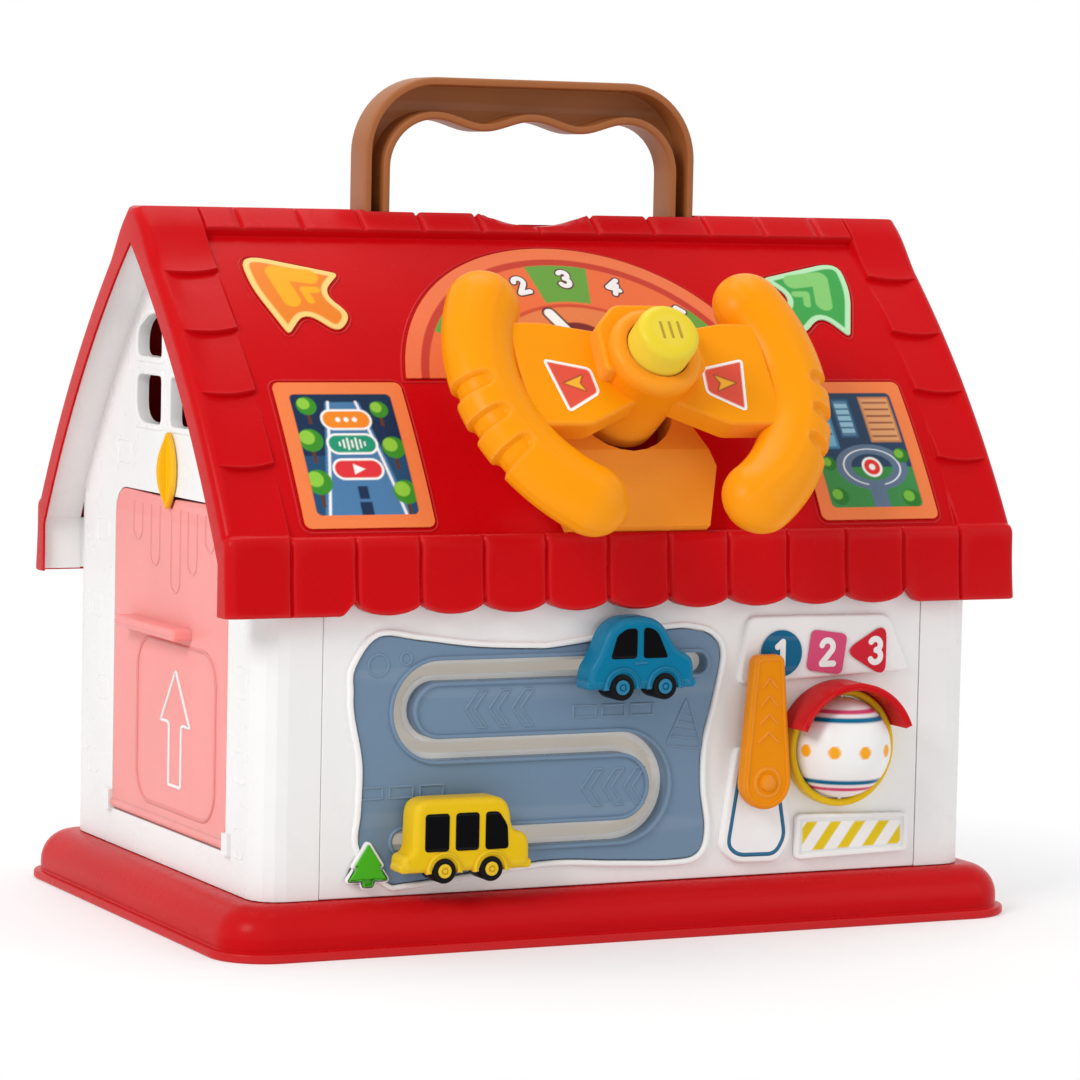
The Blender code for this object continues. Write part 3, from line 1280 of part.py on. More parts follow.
def build_lever():
    """Barrier lever that swings on its own boss in the front wall, and the screw that holds it."""
    low = DEPTH_HALF + PAD_LIFT + LEVER_STANDOFF
    high = low + LEVER_THICK
    pivot = at(LEVER_X, low, LEVER_Z)
    tip = LEVER_Z + LEVER_LENGTH - LEVER_TIP_RADIUS
    side = LEVER_TIP_HALF - LEVER_TIP_RADIUS
    outline = [
        *arc((LEVER_X, LEVER_Z), LEVER_EYE, 170, 370, LEVER_EYE_STEPS),
        *arc((LEVER_X + side, tip), LEVER_TIP_RADIUS, 0, 90, CORNER_STEPS),
        *arc((LEVER_X - side, tip), LEVER_TIP_RADIUS, 90, 180, CORNER_STEPS),
    ]
    lever = plate([outline], low, high, FRONT, LEVER_EDGE)
    lever = add_part("barrier_lever", lever, material("orange_plastic", ORANGE), pivot)
    back = INNER_OUT - FIT
    middle = low + LEVER_THICK / 2
    centre = (LEVER_X, LEVER_Z)
    join(lever, "boss", plate([circle(centre, LEVER_BOSS, SMALL_SIDES)], back, middle, FRONT))
    bore = circle(centre, SCREW_HOLE, SMALL_SIDES)
    cut(lever, "screw_bore", plate([bore], back - OVERRUN, back + LEVER_SCREW_LENGTH + FIT, FRONT))
    face = back - FIT
    washer = plate([circle(centre, LEVER_WASHER, SMALL_SIDES)], face - LEVER_WASHER_THICK, face, FRONT)
    washer = add_part("lever_screw", washer, material("steel", STEEL, METAL_ROUGHNESS, 1.0), pivot)
    shank = circle(centre, SCREW_RADIUS, SMALL_SIDES)
    join(washer, "shank", plate([shank], face - LEVER_WASHER_THICK / 2, face + LEVER_SCREW_LENGTH, FRONT))


def build_signal():
    """Ball that turns on an upright pin in a ring on the front wall, under a half-round hood."""
    centre = (SIGNAL_X, SIGNAL_Z)
    ends = [(SIGNAL_X, -SIGNAL_OUT, SIGNAL_Z + way * BALL_PIN_HALF) for way in (-1, 1)]
    pivot = at(SIGNAL_X, SIGNAL_OUT, SIGNAL_Z)
    bm = bmesh.new()
    bmesh.ops.create_uvsphere(bm, u_segments=SIGNAL_STEPS, v_segments=SIGNAL_STEPS // 2, radius=SIGNAL_RADIUS)
    mesh = bpy.data.meshes.new("ball")
    bm.to_mesh(mesh)
    bm.free()
    ball = add_part("signal_ball", moved(mesh, pivot), material("white_plastic", WHITE), pivot)
    cut(ball, "pin_bore", bar(*ends, BALL_PIN_RADIUS + FIT, sides=SMALL_SIDES))
    pin = bar(*ends, BALL_PIN_RADIUS, sides=SMALL_SIDES)
    add_part("ball_pin", pin, material("steel", STEEL, METAL_ROUGHNESS, 1.0))
    inner = SIGNAL_RADIUS + BEZEL_GAP
    outer = inner + BEZEL_WIDTH
    low = DEPTH_HALF + FIT
    ring = plate([circle(centre, outer), circle(centre, inner)], low, BEZEL_FRONT, FRONT)
    ring = add_part("signal_bezel", ring, material("yellow_plastic", YELLOW))
    sockets = [(SIGNAL_X, -SIGNAL_OUT, SIGNAL_Z + way * (BALL_PIN_HALF + FIT)) for way in (-1, 1)]
    cut(ring, "pin_sockets", bar(*sockets, BALL_PIN_RADIUS + FIT, sides=SMALL_SIDES))
    inner = outer + FIT
    hood = arc(centre, inner + HOOD_THICK, HOOD_START, HOOD_END, SMALL_SIDES)
    hood += arc(centre, inner, HOOD_END, HOOD_START, SMALL_SIDES)
    add_part("signal_hood", plate([hood], low, HOOD_FRONT, FRONT), material("red_plastic", RED))


def build_cover():
    """Tray behind the front wall, over the pegs and the ball, on four posts."""
    low = (COVER_LEFT, COVER_LOW)
    high = (COVER_RIGHT, COVER_HIGH)
    cover = plate([rounded_box(low, high, COVER_POST)], COVER_BACK, TRACK_PLATE_FRONT, FRONT)
    cover = add_part("front_mech_cover", cover, material("dark_plastic", DARK))
    inner_low = (low[0] + COVER_WALL, low[1] + COVER_WALL)
    inner_high = (high[0] - COVER_WALL, high[1] - COVER_WALL)
    pocket = rounded_box(inner_low, inner_high, 0)
    cut(cover, "pocket", plate([pocket], COVER_BACK + COVER_WALL, TRACK_PLATE_FRONT + OVERRUN, FRONT))
    posts = []
    for x in (low[0] + COVER_POST, high[0] - COVER_POST):
        for z in (low[1] + COVER_POST, high[1] - COVER_POST):
            posts.append(bar((x, -COVER_BACK - COVER_WALL / 2, z), (x, FIT - INNER_OUT, z), COVER_POST,
                             sides=SMALL_SIDES))
    join(cover, "posts", merged(*posts))


def tile_line():
    """The rake's saw-toothed tiles, from the ridge down."""
    points = []
    for start, end in zip(TILE_SHARES, TILE_SHARES[1:]):
        middle = (start + end) / 2
        points.append(slope_point(start * EAVE_RUN, TILE_LOW_RISE))
        points.append(slope_point(middle * EAVE_RUN, TILE_LOW_RISE / 2))
        points.append(slope_point(end * EAVE_RUN))
    return points


def scallop_outline():
    """The fascia's lower edge: straight end tiles and round scallops between them."""
    half = SCALLOP_COUNT * SCALLOP_PITCH / 2
    bottom = FASCIA_BOTTOM - SCALLOP_DROP
    cusp = bottom + SCALLOP_RISE
    top = FASCIA_BOTTOM + SCALLOP_RISE
    points = [(-ROOF_HALF, top), (-ROOF_HALF, bottom), (-half, bottom)]
    for index in range(SCALLOP_COUNT):
        for step in range(SCALLOP_STEPS + 1):
            turn = math.pi * step / SCALLOP_STEPS
            across = index + (1 - math.cos(turn)) / 2
            if index and not step:
                continue
            points.append((across * SCALLOP_PITCH - half, cusp - SCALLOP_RISE * math.sin(turn)))
    return points + [(half, bottom), (ROOF_HALF, bottom), (ROOF_HALF, top)]


def build_roof():
    """Roof in one moulding: both slopes, tiled rakes, ridge band and scalloped fascias."""
    shoulder = slope_point(EAVE_RUN)
    roof = both_slopes([
        *slope_line(PANEL_RISE, 0, EAVE_RUN),
        shoulder,
        (FASCIA_OUT, shoulder[1] - (FASCIA_OUT - shoulder[0]) / 2),
        (FASCIA_OUT + FASCIA_FLARE, FASCIA_BOTTOM),
        (FASCIA_IN, FASCIA_BOTTOM),
        *reversed(ridge_line(ROOF_UNDER_RISE, run_at(FASCIA_IN, ROOF_UNDER_RISE))),
    ])
    roof = add_part("roof_shell", plate([roof], -ROOF_HALF, ROOF_HALF, SIDE), material("red_plastic", RED))
    deep = (PANEL_RISE + ROOF_UNDER_RISE) / 2
    rake = both_slopes([
        *tile_line(), slope_point(EAVE_RUN + RIB_WIDTH / 2, deep), *reversed(ridge_line(deep, EAVE_RUN))
    ])
    rakes = [plate([rake], *span(side, ROOF_HALF - RAKE_WIDTH, ROOF_HALF - FIT), SIDE) for side in (-1, 1)]
    join(roof, "rakes", merged(*rakes))
    band = both_slopes([
        slope_point(0, RIDGE_RISE), slope_point(RIDGE_RUN, RIDGE_RISE), *reversed(ridge_line(deep, RIDGE_RUN))
    ])
    join(roof, "ridge_band", plate([band], 2 * FIT - ROOF_HALF, ROOF_HALF - 2 * FIT, SIDE))
    fascias = [plate([scallop_outline()], FASCIA_IN + FIT, FASCIA_OUT + FASCIA_FLARE - FIT, place)
               for place in (FRONT, BACK)]
    join(roof, "fascias", merged(*fascias))
    front = HANDLE_DEPTH / 2 - HANDLE_SETBACK + SLOT_GAP
    back = HANDLE_DEPTH / 2 + HANDLE_SETBACK + SLOT_GAP
    half = HANDLE_HALF + SLOT_GAP
    ridge_z = slope_point(0, RIDGE_RISE)[1]
    slot = box((-half, -front, height_at(back, ROOF_UNDER_RISE) - OVERRUN), (half, back, ridge_z + OVERRUN))
    cut(roof, "handle_slot", slot)
    middle = ridge_z - SCOOP_DEPTH + SCOOP_RADIUS
    scoop = bar((0, -front - SCOOP_REACH, middle), (0, OVERRUN - front, middle), SCOOP_RADIUS, sides=4 * SIDES)
    cut(roof, "scoop", scoop)
    shaft = bar((0, 0, ROOF_UNDER_RISE - OVERRUN), (0, 0, OVERRUN), BUSH_RADIUS + FIT)
    cut(roof, "shaft_hole", moved(shaft, slope_frame(WHEEL_RUN)))


def handle_outline(inset, bottom):
    """The handle seen from the front, drawn in from all its edges by an inset, down to a height."""
    outer, inner = HANDLE_HALF - inset, HANDLE_HALF - HANDLE_LEG + inset
    outer_radius, inner_radius = HANDLE_RADIUS - inset, HANDLE_INNER_RADIUS + inset
    top = HANDLE_TOP - inset
    grip_half = inner - inner_radius
    grip = HANDLE_TOP - GRIP_DEPTH + inset
    crest = grip + GRIP_WAVE
    wave = []
    for step in range(1, GRIP_STEPS):
        share = step / GRIP_STEPS
        height = grip + GRIP_WAVE * math.cos(math.tau * GRIP_WAVES * share)
        wave.append((grip_half * (2 * share - 1), height))
    return [
        (outer, bottom),
        *arc((outer - outer_radius, top - outer_radius), outer_radius, 0, 90, 2 * CORNER_STEPS),
        *arc((outer_radius - outer, top - outer_radius), outer_radius, 90, 180, 2 * CORNER_STEPS),
        (-outer, bottom),
        (-inner, bottom),
        *arc((-grip_half, crest - inner_radius), inner_radius, 180, 90, CORNER_STEPS),
        *wave,
        *arc((grip_half, crest - inner_radius), inner_radius, 90, 0, CORNER_STEPS),
        (inner, bottom),
    ]


# The handle's rest in the roof
HANDLE_FRONT = HANDLE_DEPTH / 2 - HANDLE_SETBACK
HANDLE_BACK = HANDLE_DEPTH / 2 + HANDLE_SETBACK
FOOT_TOP = height_at(HANDLE_BACK, ROOF_UNDER_RISE) - FIT
FOOT_BOTTOM = FOOT_TOP - FOOT_HEIGHT


def build_handle():
    """Channel handle with a waved grip, whose feet catch under the roof, and the well it slides into."""
    pivot = at(0, (HANDLE_FRONT - HANDLE_BACK) / 2, HANDLE_TOP)
    outline = handle_outline(0, FOOT_BOTTOM)
    handle = plate([outline], -HANDLE_BACK, HANDLE_FRONT, FRONT)
    handle = add_part("handle", handle, material("brown_plastic", BROWN), pivot)
    feet = [side_box(side, HANDLE_HALF - HANDLE_LEG + FIT, HANDLE_HALF + FOOT_REACH,
                     (FIT - HANDLE_FRONT, HANDLE_BACK - FIT), (FOOT_BOTTOM + FIT, FOOT_TOP))
            for side in (-1, 1)]
    join(handle, "feet", merged(*feet))
    pocket = handle_outline(HANDLE_RIM, SLOPE_TOP - HANDLE_RIM)
    cut(handle, "channel", plate([pocket], HANDLE_WEB - HANDLE_BACK, HANDLE_FRONT + OVERRUN, FRONT))
    half = HANDLE_HALF + FOOT_REACH + WELL_SLACK
    near, far = HANDLE_FRONT + WELL_GAP, HANDLE_BACK + WELL_GAP
    floor = FOOT_BOTTOM - HANDLE_TRAVEL - WELL_SLACK
    well = box((-half - WALL, -near - WALL, floor - WALL), (half + WALL, far + WALL, SLOPE_TOP))
    well = add_part("handle_well", well, material("grey_plastic", GREY))
    under = under_slope(FLANGE_RISE, far + 2 * WALL, floor - 2 * WALL)
    keep(well, "under_roof", plate([under], -half - 2 * WALL, half + 2 * WALL, SIDE))
    cut(well, "inside", box((-half, -near, floor), (half, far, SLOPE_TOP + OVERRUN)))


def lobe(side):
    """One grip of the rim: a fat bent tube with ball ends, a little flattened along the axis."""
    points, radii = [], []

    def ring(bend, beyond, radius):
        x = RIM_RADIUS * math.cos(bend) - beyond * math.sin(bend)
        y = RIM_RADIUS * math.sin(bend) + beyond * math.cos(bend)
        points.append((side * x, y, 0))
        radii.append(radius)

    turns = [math.radians(90) * step / (CAP_STEPS + 1) for step in range(1, CAP_STEPS + 1)]
    for turn in reversed(turns):
        ring(LOBE_TOP, RIM_END_HALF * math.sin(turn), RIM_END_HALF * math.cos(turn))
    for step in range(LOBE_STEPS + 1):
        share = step / LOBE_STEPS
        swell = (RIM_END_HALF - RIM_HALF) * (2 * share - 1) ** 2
        ring(LOBE_TOP + (LOBE_BOTTOM - LOBE_TOP) * share, 0, RIM_HALF + swell)
    for turn in turns:
        ring(LOBE_BOTTOM, -RIM_END_HALF * math.sin(turn), RIM_END_HALF * math.cos(turn))
    mesh = tube(points, radii, LOBE_BEVEL)
    return moved(mesh, Matrix.Translation((0, 0, RIM_RISE)) @ Matrix.Diagonal((1, 1, RIM_DEPTH_SHARE, 1)))


def spoke_outline(side):
    """A spoke from the hub to a grip of the rim, seen along the wheel's axis."""
    points = [(SPOKE_ROOT, -SPOKE_HUB_HALF), (SPOKE_LOW_X, -SPOKE_LOW_Y), (SPOKE_END_X, -SPOKE_LOW_Y),
              (SPOKE_END_X, SPOKE_HIGH_Y), (SPOKE_HIGH_X, SPOKE_HIGH_Y), (SPOKE_ROOT, SPOKE_HUB_HALF)]
    return [(side * x, y) for x, y in points]


def build_wheel_half(name, low, high):
    """A half of the steering wheel, parted across its axis."""
    wheel = slope_frame(WHEEL_RUN)
    hub = bar((0, 0, HUB_BOTTOM), (0, 0, HUB_TOP), HUB_FOOT_RADIUS, HUB_RADIUS)
    half = add_part(name, moved(hub, wheel), material("orange_plastic", ORANGE), wheel)
    for side, word in ((-1, "left"), (1, "right")):
        join(half, f"{word}_grip", moved(lobe(side), wheel))
    spokes = [plate([spoke_outline(side)], SPOKE_BACK, SPOKE_FRONT) for side in (-1, 1)]
    join(half, "spokes", moved(merged(*spokes), wheel))
    reach = 2 * RIM_RADIUS
    keep(half, "parting", moved(box((-reach, -reach, low), (reach, reach, high)), wheel))
    return half


def build_wheel():
    """Steering wheel in two halves, with its horn button, spring and switch."""
    wheel = slope_frame(WHEEL_RUN)
    back = build_wheel_half("wheel_back", HUB_BOTTOM - OVERRUN, RIM_RISE - FIT / 2)
    socket = bar((0, 0, 0), (0, 0, SHAFT_TOP + FIT), SHAFT_RADIUS + FIT, sides=SIDES)
    cut(back, "shaft_socket", moved(socket, wheel))
    front = build_wheel_half("wheel_front", RIM_RISE + FIT / 2, HUB_TOP + OVERRUN)
    pocket = bar((0, 0, POCKET_FLOOR), (0, 0, HUB_TOP + OVERRUN), BUTTON_RADIUS + FIT)
    cut(front, "button_pocket", moved(pocket, wheel))
    crown = BUTTON_TOP - BUTTON_CROWN
    button = [(0, BUTTON_TOP), (BUTTON_RADIUS, BUTTON_TOP), (BUTTON_RADIUS, BUTTON_BOTTOM)]
    button += [(BUTTON_RADIUS - BUTTON_WALL, BUTTON_BOTTOM), (BUTTON_RADIUS - BUTTON_WALL, crown)]
    plunger_end = POCKET_FLOOR + FIT + SWITCH_HEIGHT + FIT + BUTTON_TRAVEL
    button += [(PLUNGER_RADIUS, crown), (PLUNGER_RADIUS, plunger_end), (0, plunger_end)]
    button = moved(turned(button), wheel)
    add_part("horn_button", button, material("yellow_plastic", YELLOW), wheel)
    half = SWITCH_SIZE / 2
    floor = POCKET_FLOOR + FIT
    switch = moved(box((-half, -half, floor), (half, half, floor + SWITCH_HEIGHT)), wheel)
    add_part("horn_switch", switch, material("dark_plastic", DARK), wheel)
    low, high = floor + SPRING_WIRE, crown - FIT - SPRING_WIRE
    points = []
    for step in range(SPRING_TURNS * SPRING_POINTS + 1):
        turn = math.tau * step / SPRING_POINTS
        height = low + (high - low) * step / (SPRING_TURNS * SPRING_POINTS)
        points.append((SPRING_RADIUS * math.cos(turn), SPRING_RADIUS * math.sin(turn), height))
    spring = moved(tube(points, [SPRING_WIRE] * len(points), 1), wheel)
    add_part("horn_spring", spring, material("steel", STEEL, METAL_ROUGHNESS, 1.0), wheel)


def build_column():
    """Orange housing on the slope, round the wheel's hub, that follows the slope's curve."""
    wheel = slope_frame(WHEEL_RUN)
    end = EAVE_RUN - FIT
    top = WHEEL_RUN - COLUMN_RADIUS
    plan = [
        (-COLUMN_END_HALF, WHEEL_RUN - end - OVERRUN),
        (COLUMN_END_HALF, WHEEL_RUN - end - OVERRUN),
        (COLUMN_HALF, WHEEL_RUN - COLUMN_WIDE_RUN),
        *arc((0, 0), COLUMN_RADIUS, -COLUMN_ARC, 180 + COLUMN_ARC, SIDES),
        (-COLUMN_HALF, WHEEL_RUN - COLUMN_WIDE_RUN),
    ]
    column = plate([plan], -COLUMN_RISE, 2 * COLUMN_RISE)
    column = add_part("steering_column", moved(column, wheel), material("orange_plastic", ORANGE))
    side = [
        *slope_line(LABEL_RISE, top, end),
        slope_point(end, COLUMN_END_RISE),
        *reversed(slope_line(COLUMN_RISE, top + COLUMN_SHOULDER, COLUMN_FALL_RUN)),
        slope_point(top, COLUMN_RISE - COLUMN_SHOULDER),
    ]
    side = [(-away, up) for away, up in side]
    keep(column, "profile", plate([side], -2 * COLUMN_HALF, 2 * COLUMN_HALF, SIDE))
    cut(column, "hub_bore", moved(bar((0, 0, -COLUMN_RISE), (0, 0, 2 * COLUMN_RISE), COLUMN_BORE), wheel))


def build_shaft():
    """Bush in the roof, shaft in the wheel, and the washer-headed screw that holds it under the roof."""
    wheel = slope_frame(WHEEL_RUN)
    bottom = ROOF_UNDER_RISE - BUSH_DROP
    bush = bar((0, 0, bottom), (0, 0, LABEL_RISE + BUSH_FLANGE_THICK / 2), BUSH_RADIUS)
    bush = add_part("steering_bush", moved(bush, wheel), material("grey_plastic", GREY))
    flange = bar((0, 0, LABEL_RISE), (0, 0, LABEL_RISE + BUSH_FLANGE_THICK), BUSH_FLANGE)
    join(bush, "flange", moved(flange, wheel))
    bore = bar((0, 0, bottom - OVERRUN), (0, 0, HUB_BOTTOM), SHAFT_RADIUS + FIT)
    cut(bush, "bore", moved(bore, wheel))
    steel = material("steel", STEEL, METAL_ROUGHNESS, 1.0)
    shaft = bar((0, 0, bottom - FIT), (0, 0, SHAFT_TOP), SHAFT_RADIUS)
    shaft = add_part("steering_shaft", moved(shaft, wheel), steel, wheel)
    bore = bar((0, 0, bottom - OVERRUN), (0, 0, bottom + SHAFT_SCREW_LENGTH), SCREW_HOLE, sides=SMALL_SIDES)
    cut(shaft, "screw_bore", moved(bore, wheel))
    top = bottom - 2 * FIT
    washer = bar((0, 0, top - WASHER_THICK), (0, 0, top), WASHER_RADIUS)
    washer = add_part("shaft_screw", moved(washer, wheel), steel, wheel)
    head, shank = screw((0, 0, top - WASHER_THICK - SCREW_HEAD_HEIGHT / 2),
                        (0, 0, bottom + SHAFT_SCREW_LENGTH - OVERRUN))
    join(washer, "head", moved(head, wheel))
    join(washer, "shank", moved(shank, wheel))


def arrow_outline():
    """A block arrow that points up the outline's Y, about its own middle."""
    tip, tail = ARROW_LENGTH / 2, -ARROW_LENGTH / 2
    neck = tip - ARROW_HEAD
    stem, wide = ARROW_STEM / 2, ARROW_WIDTH / 2
    points = [(-stem, tail), (stem, tail), (stem, neck), (wide, neck), (0, tip), (-wide, neck), (-stem, neck)]
    return softened(points, ARROW_SOFT)


def turned_outline(outline, angle):
    """An outline turned in its own plane."""
    turn = Matrix.Rotation(angle, 2)
    return [tuple(turn @ Vector(point)) for point in outline]


def build_label(name, outline, run, x, color):
    """A printed label that follows the front slope's curve, from its outline about a place on it."""
    frame = slope_frame(run)
    label = moved(plate([shifted(outline, x, 0)], -LABEL_DEPTH, LABEL_DEPTH), frame)
    label = add_part(name, label, material(f"{name}_print", color, LABEL_ROUGHNESS))
    band = [*slope_line(LABEL_RISE, RIDGE_RUN, EAVE_RUN),
            *reversed(slope_line(LABEL_RISE + LABEL, RIDGE_RUN, EAVE_RUN))]
    band = [(-away, up) for away, up in band]
    keep(label, "sheet", plate([band], -ROOF_HALF, ROOF_HALF, SIDE))
    return label


def build_labels():
    """Dial, two screens and two arrows on the front slope."""
    reach = math.degrees(math.asin((DIAL_RUN - DIAL_BASE_RUN) / DIAL_RADIUS))
    dial = build_label("dial_label", arc((0, 0), DIAL_RADIUS, reach, 180 - reach, DIAL_STEPS), DIAL_RUN, 0,
                       LABEL_ORANGE)
    half = COLUMN_RADIUS + 2 * FIT
    room = box((-half, -half, -LABEL_DEPTH), (half, half, LABEL_DEPTH))
    cut(dial, "column_room", moved(room, slope_frame(WHEEL_RUN)))
    half, tall = SCREEN_WIDTH / 2, SCREEN_LENGTH / 2
    screen = rounded_box((-half, -tall), (half, tall), SCREEN_RADIUS)
    for side, word, color in ((-1, "left", LABEL_ORANGE), (1, "right", LABEL_GREEN)):
        x = side * SCREEN_X
        build_label(f"{word}_screen_label", screen, SCREEN_TOP_RUN + tall, x, LABEL_ORANGE)
        arrow = turned_outline(arrow_outline(), -side * ARROW_TURN)
        build_label(f"{word}_arrow_label", arrow, ARROW_RUN, side * ARROW_X, color)


def build_attic():
    """Deck over the garage, with the circuit board on posts and the speaker."""
    low = SHELF_Z + SHELF_HEIGHT + FIT
    top = low + DECK_THICK
    half = BODY_HALF - WALL - FIT
    deck = box((-half, -DECK_HALF_Y, low), (half, DECK_HALF_Y, top))
    deck = add_part("attic_deck", deck, material("white_plastic", WHITE))
    half_x, half_y = BOARD_WIDTH / 2, BOARD_DEPTH / 2
    posts = []
    for x, y in CORNERS:
        place = (BOARD_X + x * (half_x - BOARD_POST), BOARD_Y + y * (half_y - BOARD_POST))
        posts.append(bar((*place, low + DECK_THICK / 2), (*place, top + BOARD_LIFT), BOARD_POST,
                         sides=SMALL_SIDES))
    join(deck, "posts", merged(*posts))
    low = top + BOARD_LIFT + FIT
    far_corner = (BOARD_X + half_x, BOARD_Y + half_y, low + BOARD_THICK)
    board = box((BOARD_X - half_x, BOARD_Y - half_y, low), far_corner)
    board = add_part("circuit_board", board, material("board_green", GREEN))
    chips = []
    for x in (BOARD_X - half_x / 2, BOARD_X + half_x / 2):
        start = (x - CHIP_SIZE / 2, BOARD_Y - CHIP_SIZE / 2, low + BOARD_THICK / 2)
        chips.append(box(start, (x + CHIP_SIZE / 2, BOARD_Y + CHIP_SIZE / 2, low + BOARD_THICK + CHIP_HEIGHT)))
    join(board, "chips", merged(*chips))
    low = top + FIT
    cone = low + SPEAKER_RIM + SPEAKER_CONE
    speaker = [(0, low + SPEAKER_HEIGHT), (SPEAKER_MAGNET, low + SPEAKER_HEIGHT), (SPEAKER_MAGNET, cone)]
    speaker += [(SPEAKER_RADIUS - SPEAKER_RIM, low + SPEAKER_RIM), (SPEAKER_RADIUS, low + SPEAKER_RIM)]
    speaker += [(SPEAKER_RADIUS, low), (0, low)]
    speaker = moved(turned(speaker), Matrix.Translation((SPEAKER_X, SPEAKER_Y, 0)))
    add_part("speaker", speaker, material("dark_plastic", DARK))


def build():
    """Build every piece of the house."""
    clear_scene()
    new_collection("activity_house")
    new_collection("tools")
    build_base()
    build_base_screws()
    build_battery()
    build_left_wall()
    build_end_wall("right_wall", 1)
    build_garage_door()
    build_latch()
    build_front_wall()
    build_back_wall()
    build_power_switch()
    build_road()
    build_vehicle("blue_car", "car_retainer", material("blue_plastic", BLUE), (CAR_X, CAR_LOW),
                  (CAR_LENGTH, CAR_HEIGHT), CAR_OUTLINE_SHARES, CAR_WHEEL_SHARES, CAR_TYRE, TRACK_TOP_Z)
    build_vehicle("yellow_bus", "bus_retainer", material("yellow_plastic", YELLOW), (BUS_X, BUS_LOW),
                  (BUS_LENGTH, BUS_HEIGHT), BUS_OUTLINE_SHARES, BUS_WHEEL_SHARES, BUS_TYRE, TRACK_LOW_Z)
    build_badges()
    build_lever()
    build_signal()
    build_cover()
    build_roof()
    build_handle()
    build_wheel()
    build_column()
    build_shaft()
    build_labels()
    build_attic()
    bpy.data.collections["tools"].hide_render = True


build()
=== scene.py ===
"""Looks of the activity house: moulded pieces, printed labels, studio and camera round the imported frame.

Metres, +Z up, the front faces -Y. Shapes are drawn about the house's own middle plane, and out is the
distance in front of it. On the roof, a run is measured down the slope and a rise is square to it.
"""

import math

import bmesh
import bpy
import numpy as np
from mathutils import Matrix, Vector
from mathutils.geometry import tessellate_polygon


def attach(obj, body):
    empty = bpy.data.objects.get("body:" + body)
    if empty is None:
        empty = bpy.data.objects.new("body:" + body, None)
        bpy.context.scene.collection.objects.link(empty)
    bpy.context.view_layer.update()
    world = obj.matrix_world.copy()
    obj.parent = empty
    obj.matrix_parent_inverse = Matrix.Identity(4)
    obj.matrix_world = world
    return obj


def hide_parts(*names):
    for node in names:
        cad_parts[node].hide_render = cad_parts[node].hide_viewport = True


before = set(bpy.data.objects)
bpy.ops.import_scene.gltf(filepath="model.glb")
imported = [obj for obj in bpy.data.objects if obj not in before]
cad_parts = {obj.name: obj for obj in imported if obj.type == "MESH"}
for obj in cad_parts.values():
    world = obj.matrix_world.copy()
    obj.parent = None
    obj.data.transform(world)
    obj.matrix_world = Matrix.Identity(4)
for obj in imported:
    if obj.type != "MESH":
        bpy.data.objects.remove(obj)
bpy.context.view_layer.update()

bl_info = {
    "name": "Activity house looks",
    "version": (1, 0, 0),
    "blender": (4, 5, 0),
    "location": "3D View > Sidebar > House",
    "description": "Builds the visible pieces of an activity house on its fixed frame",
    "category": "Object",
}

# Shared sizes
HOME_Y = 0.013156
FIT = 0.0003
EDGE_STEPS = 5
FINE_SIDES = 64
SIDES = 40
HAIR = 0.00015
PATH_STEP = 0.0008
INK_EDGE = 0.00022
SMOOTH = math.radians(32)

# Base
BASE_HALF = (0.150, 0.10235)
BASE_RADIUS = 0.019
BASE_TOP = 0.0174
LIP_HEIGHT = 0.003
LIP_WIDTH = 0.0025
TRAY_ROUND = 0.011
SHELL = 0.0025
BATTERY_FRAME = (0.0593, 0.0116)
BATTERY_FRAME_LOW = 0.0033

# Body
SEAM_X = 0.1133
WALL_LOW = 0.0177
DEPTH_HALF = 0.08845
WALL = 0.0025
FRONT_TOP = 0.1322

# Roof
SLOPE_RADIUS = 0.383
SLOPE_ANGLE = math.radians(50.38)
RIDGE_HALF = 0.003
SLOPE_TOP = 0.2415
SLOPE_OUT = RIDGE_HALF - SLOPE_RADIUS * math.cos(SLOPE_ANGLE)
SLOPE_BASE = SLOPE_TOP - SLOPE_RADIUS * math.sin(SLOPE_ANGLE)
EAVE_RUN = 0.137
ROOF_HALF = 0.1488
RAKE_WIDTH = 0.0228
PANEL_RISE = -0.0018
TILE_LOW_RISE = -0.0020
UNDER_RISE = -0.0040
RIDGE_RISE = 0.0019
RIDGE_RUN = 0.0105
TILE_SHARES = (0.0, 0.204, 0.398, 0.588, 0.796, 1.0)
TILE_BULGE = 0.0019
TILE_FADE = (0.0025, 0.0080)
RAKE_CREST_RUN = 0.026
END_LIP = 0.0009
END_LIP_RISE = -0.0102
END_LIP_IN = 0.0842
SHOULDER_REACH = 0.0034
RIDGE_PITCH = 0.0225
RIDGE_GROOVES = np.arange(-5, 6) * RIDGE_PITCH
GROOVE_BELL = 0.00070
FASCIA_OUT = 0.0928
FASCIA_FLARE = 0.0015
FASCIA_IN = 0.0898
FASCIA_LOW = 0.1113
SCALLOP_RISE = 0.0047
SCALLOP_PITCH = 0.02295
SCALLOP_COUNT = 9
SCALLOPED_HALF = SCALLOP_COUNT * SCALLOP_PITCH / 2
SCOOP_RADIUS = 0.0496
SCOOP_DEPTH = 0.0049
SLOT_HALF = 0.0648
SLOT_FRONT = 0.0049
SLOT_BACK = 0.0094
SHAFT_HOLE = 0.0086
SLOT_CUT = (0.215, 0.250)
SHAFT_CUT = (-0.012, 0.008)

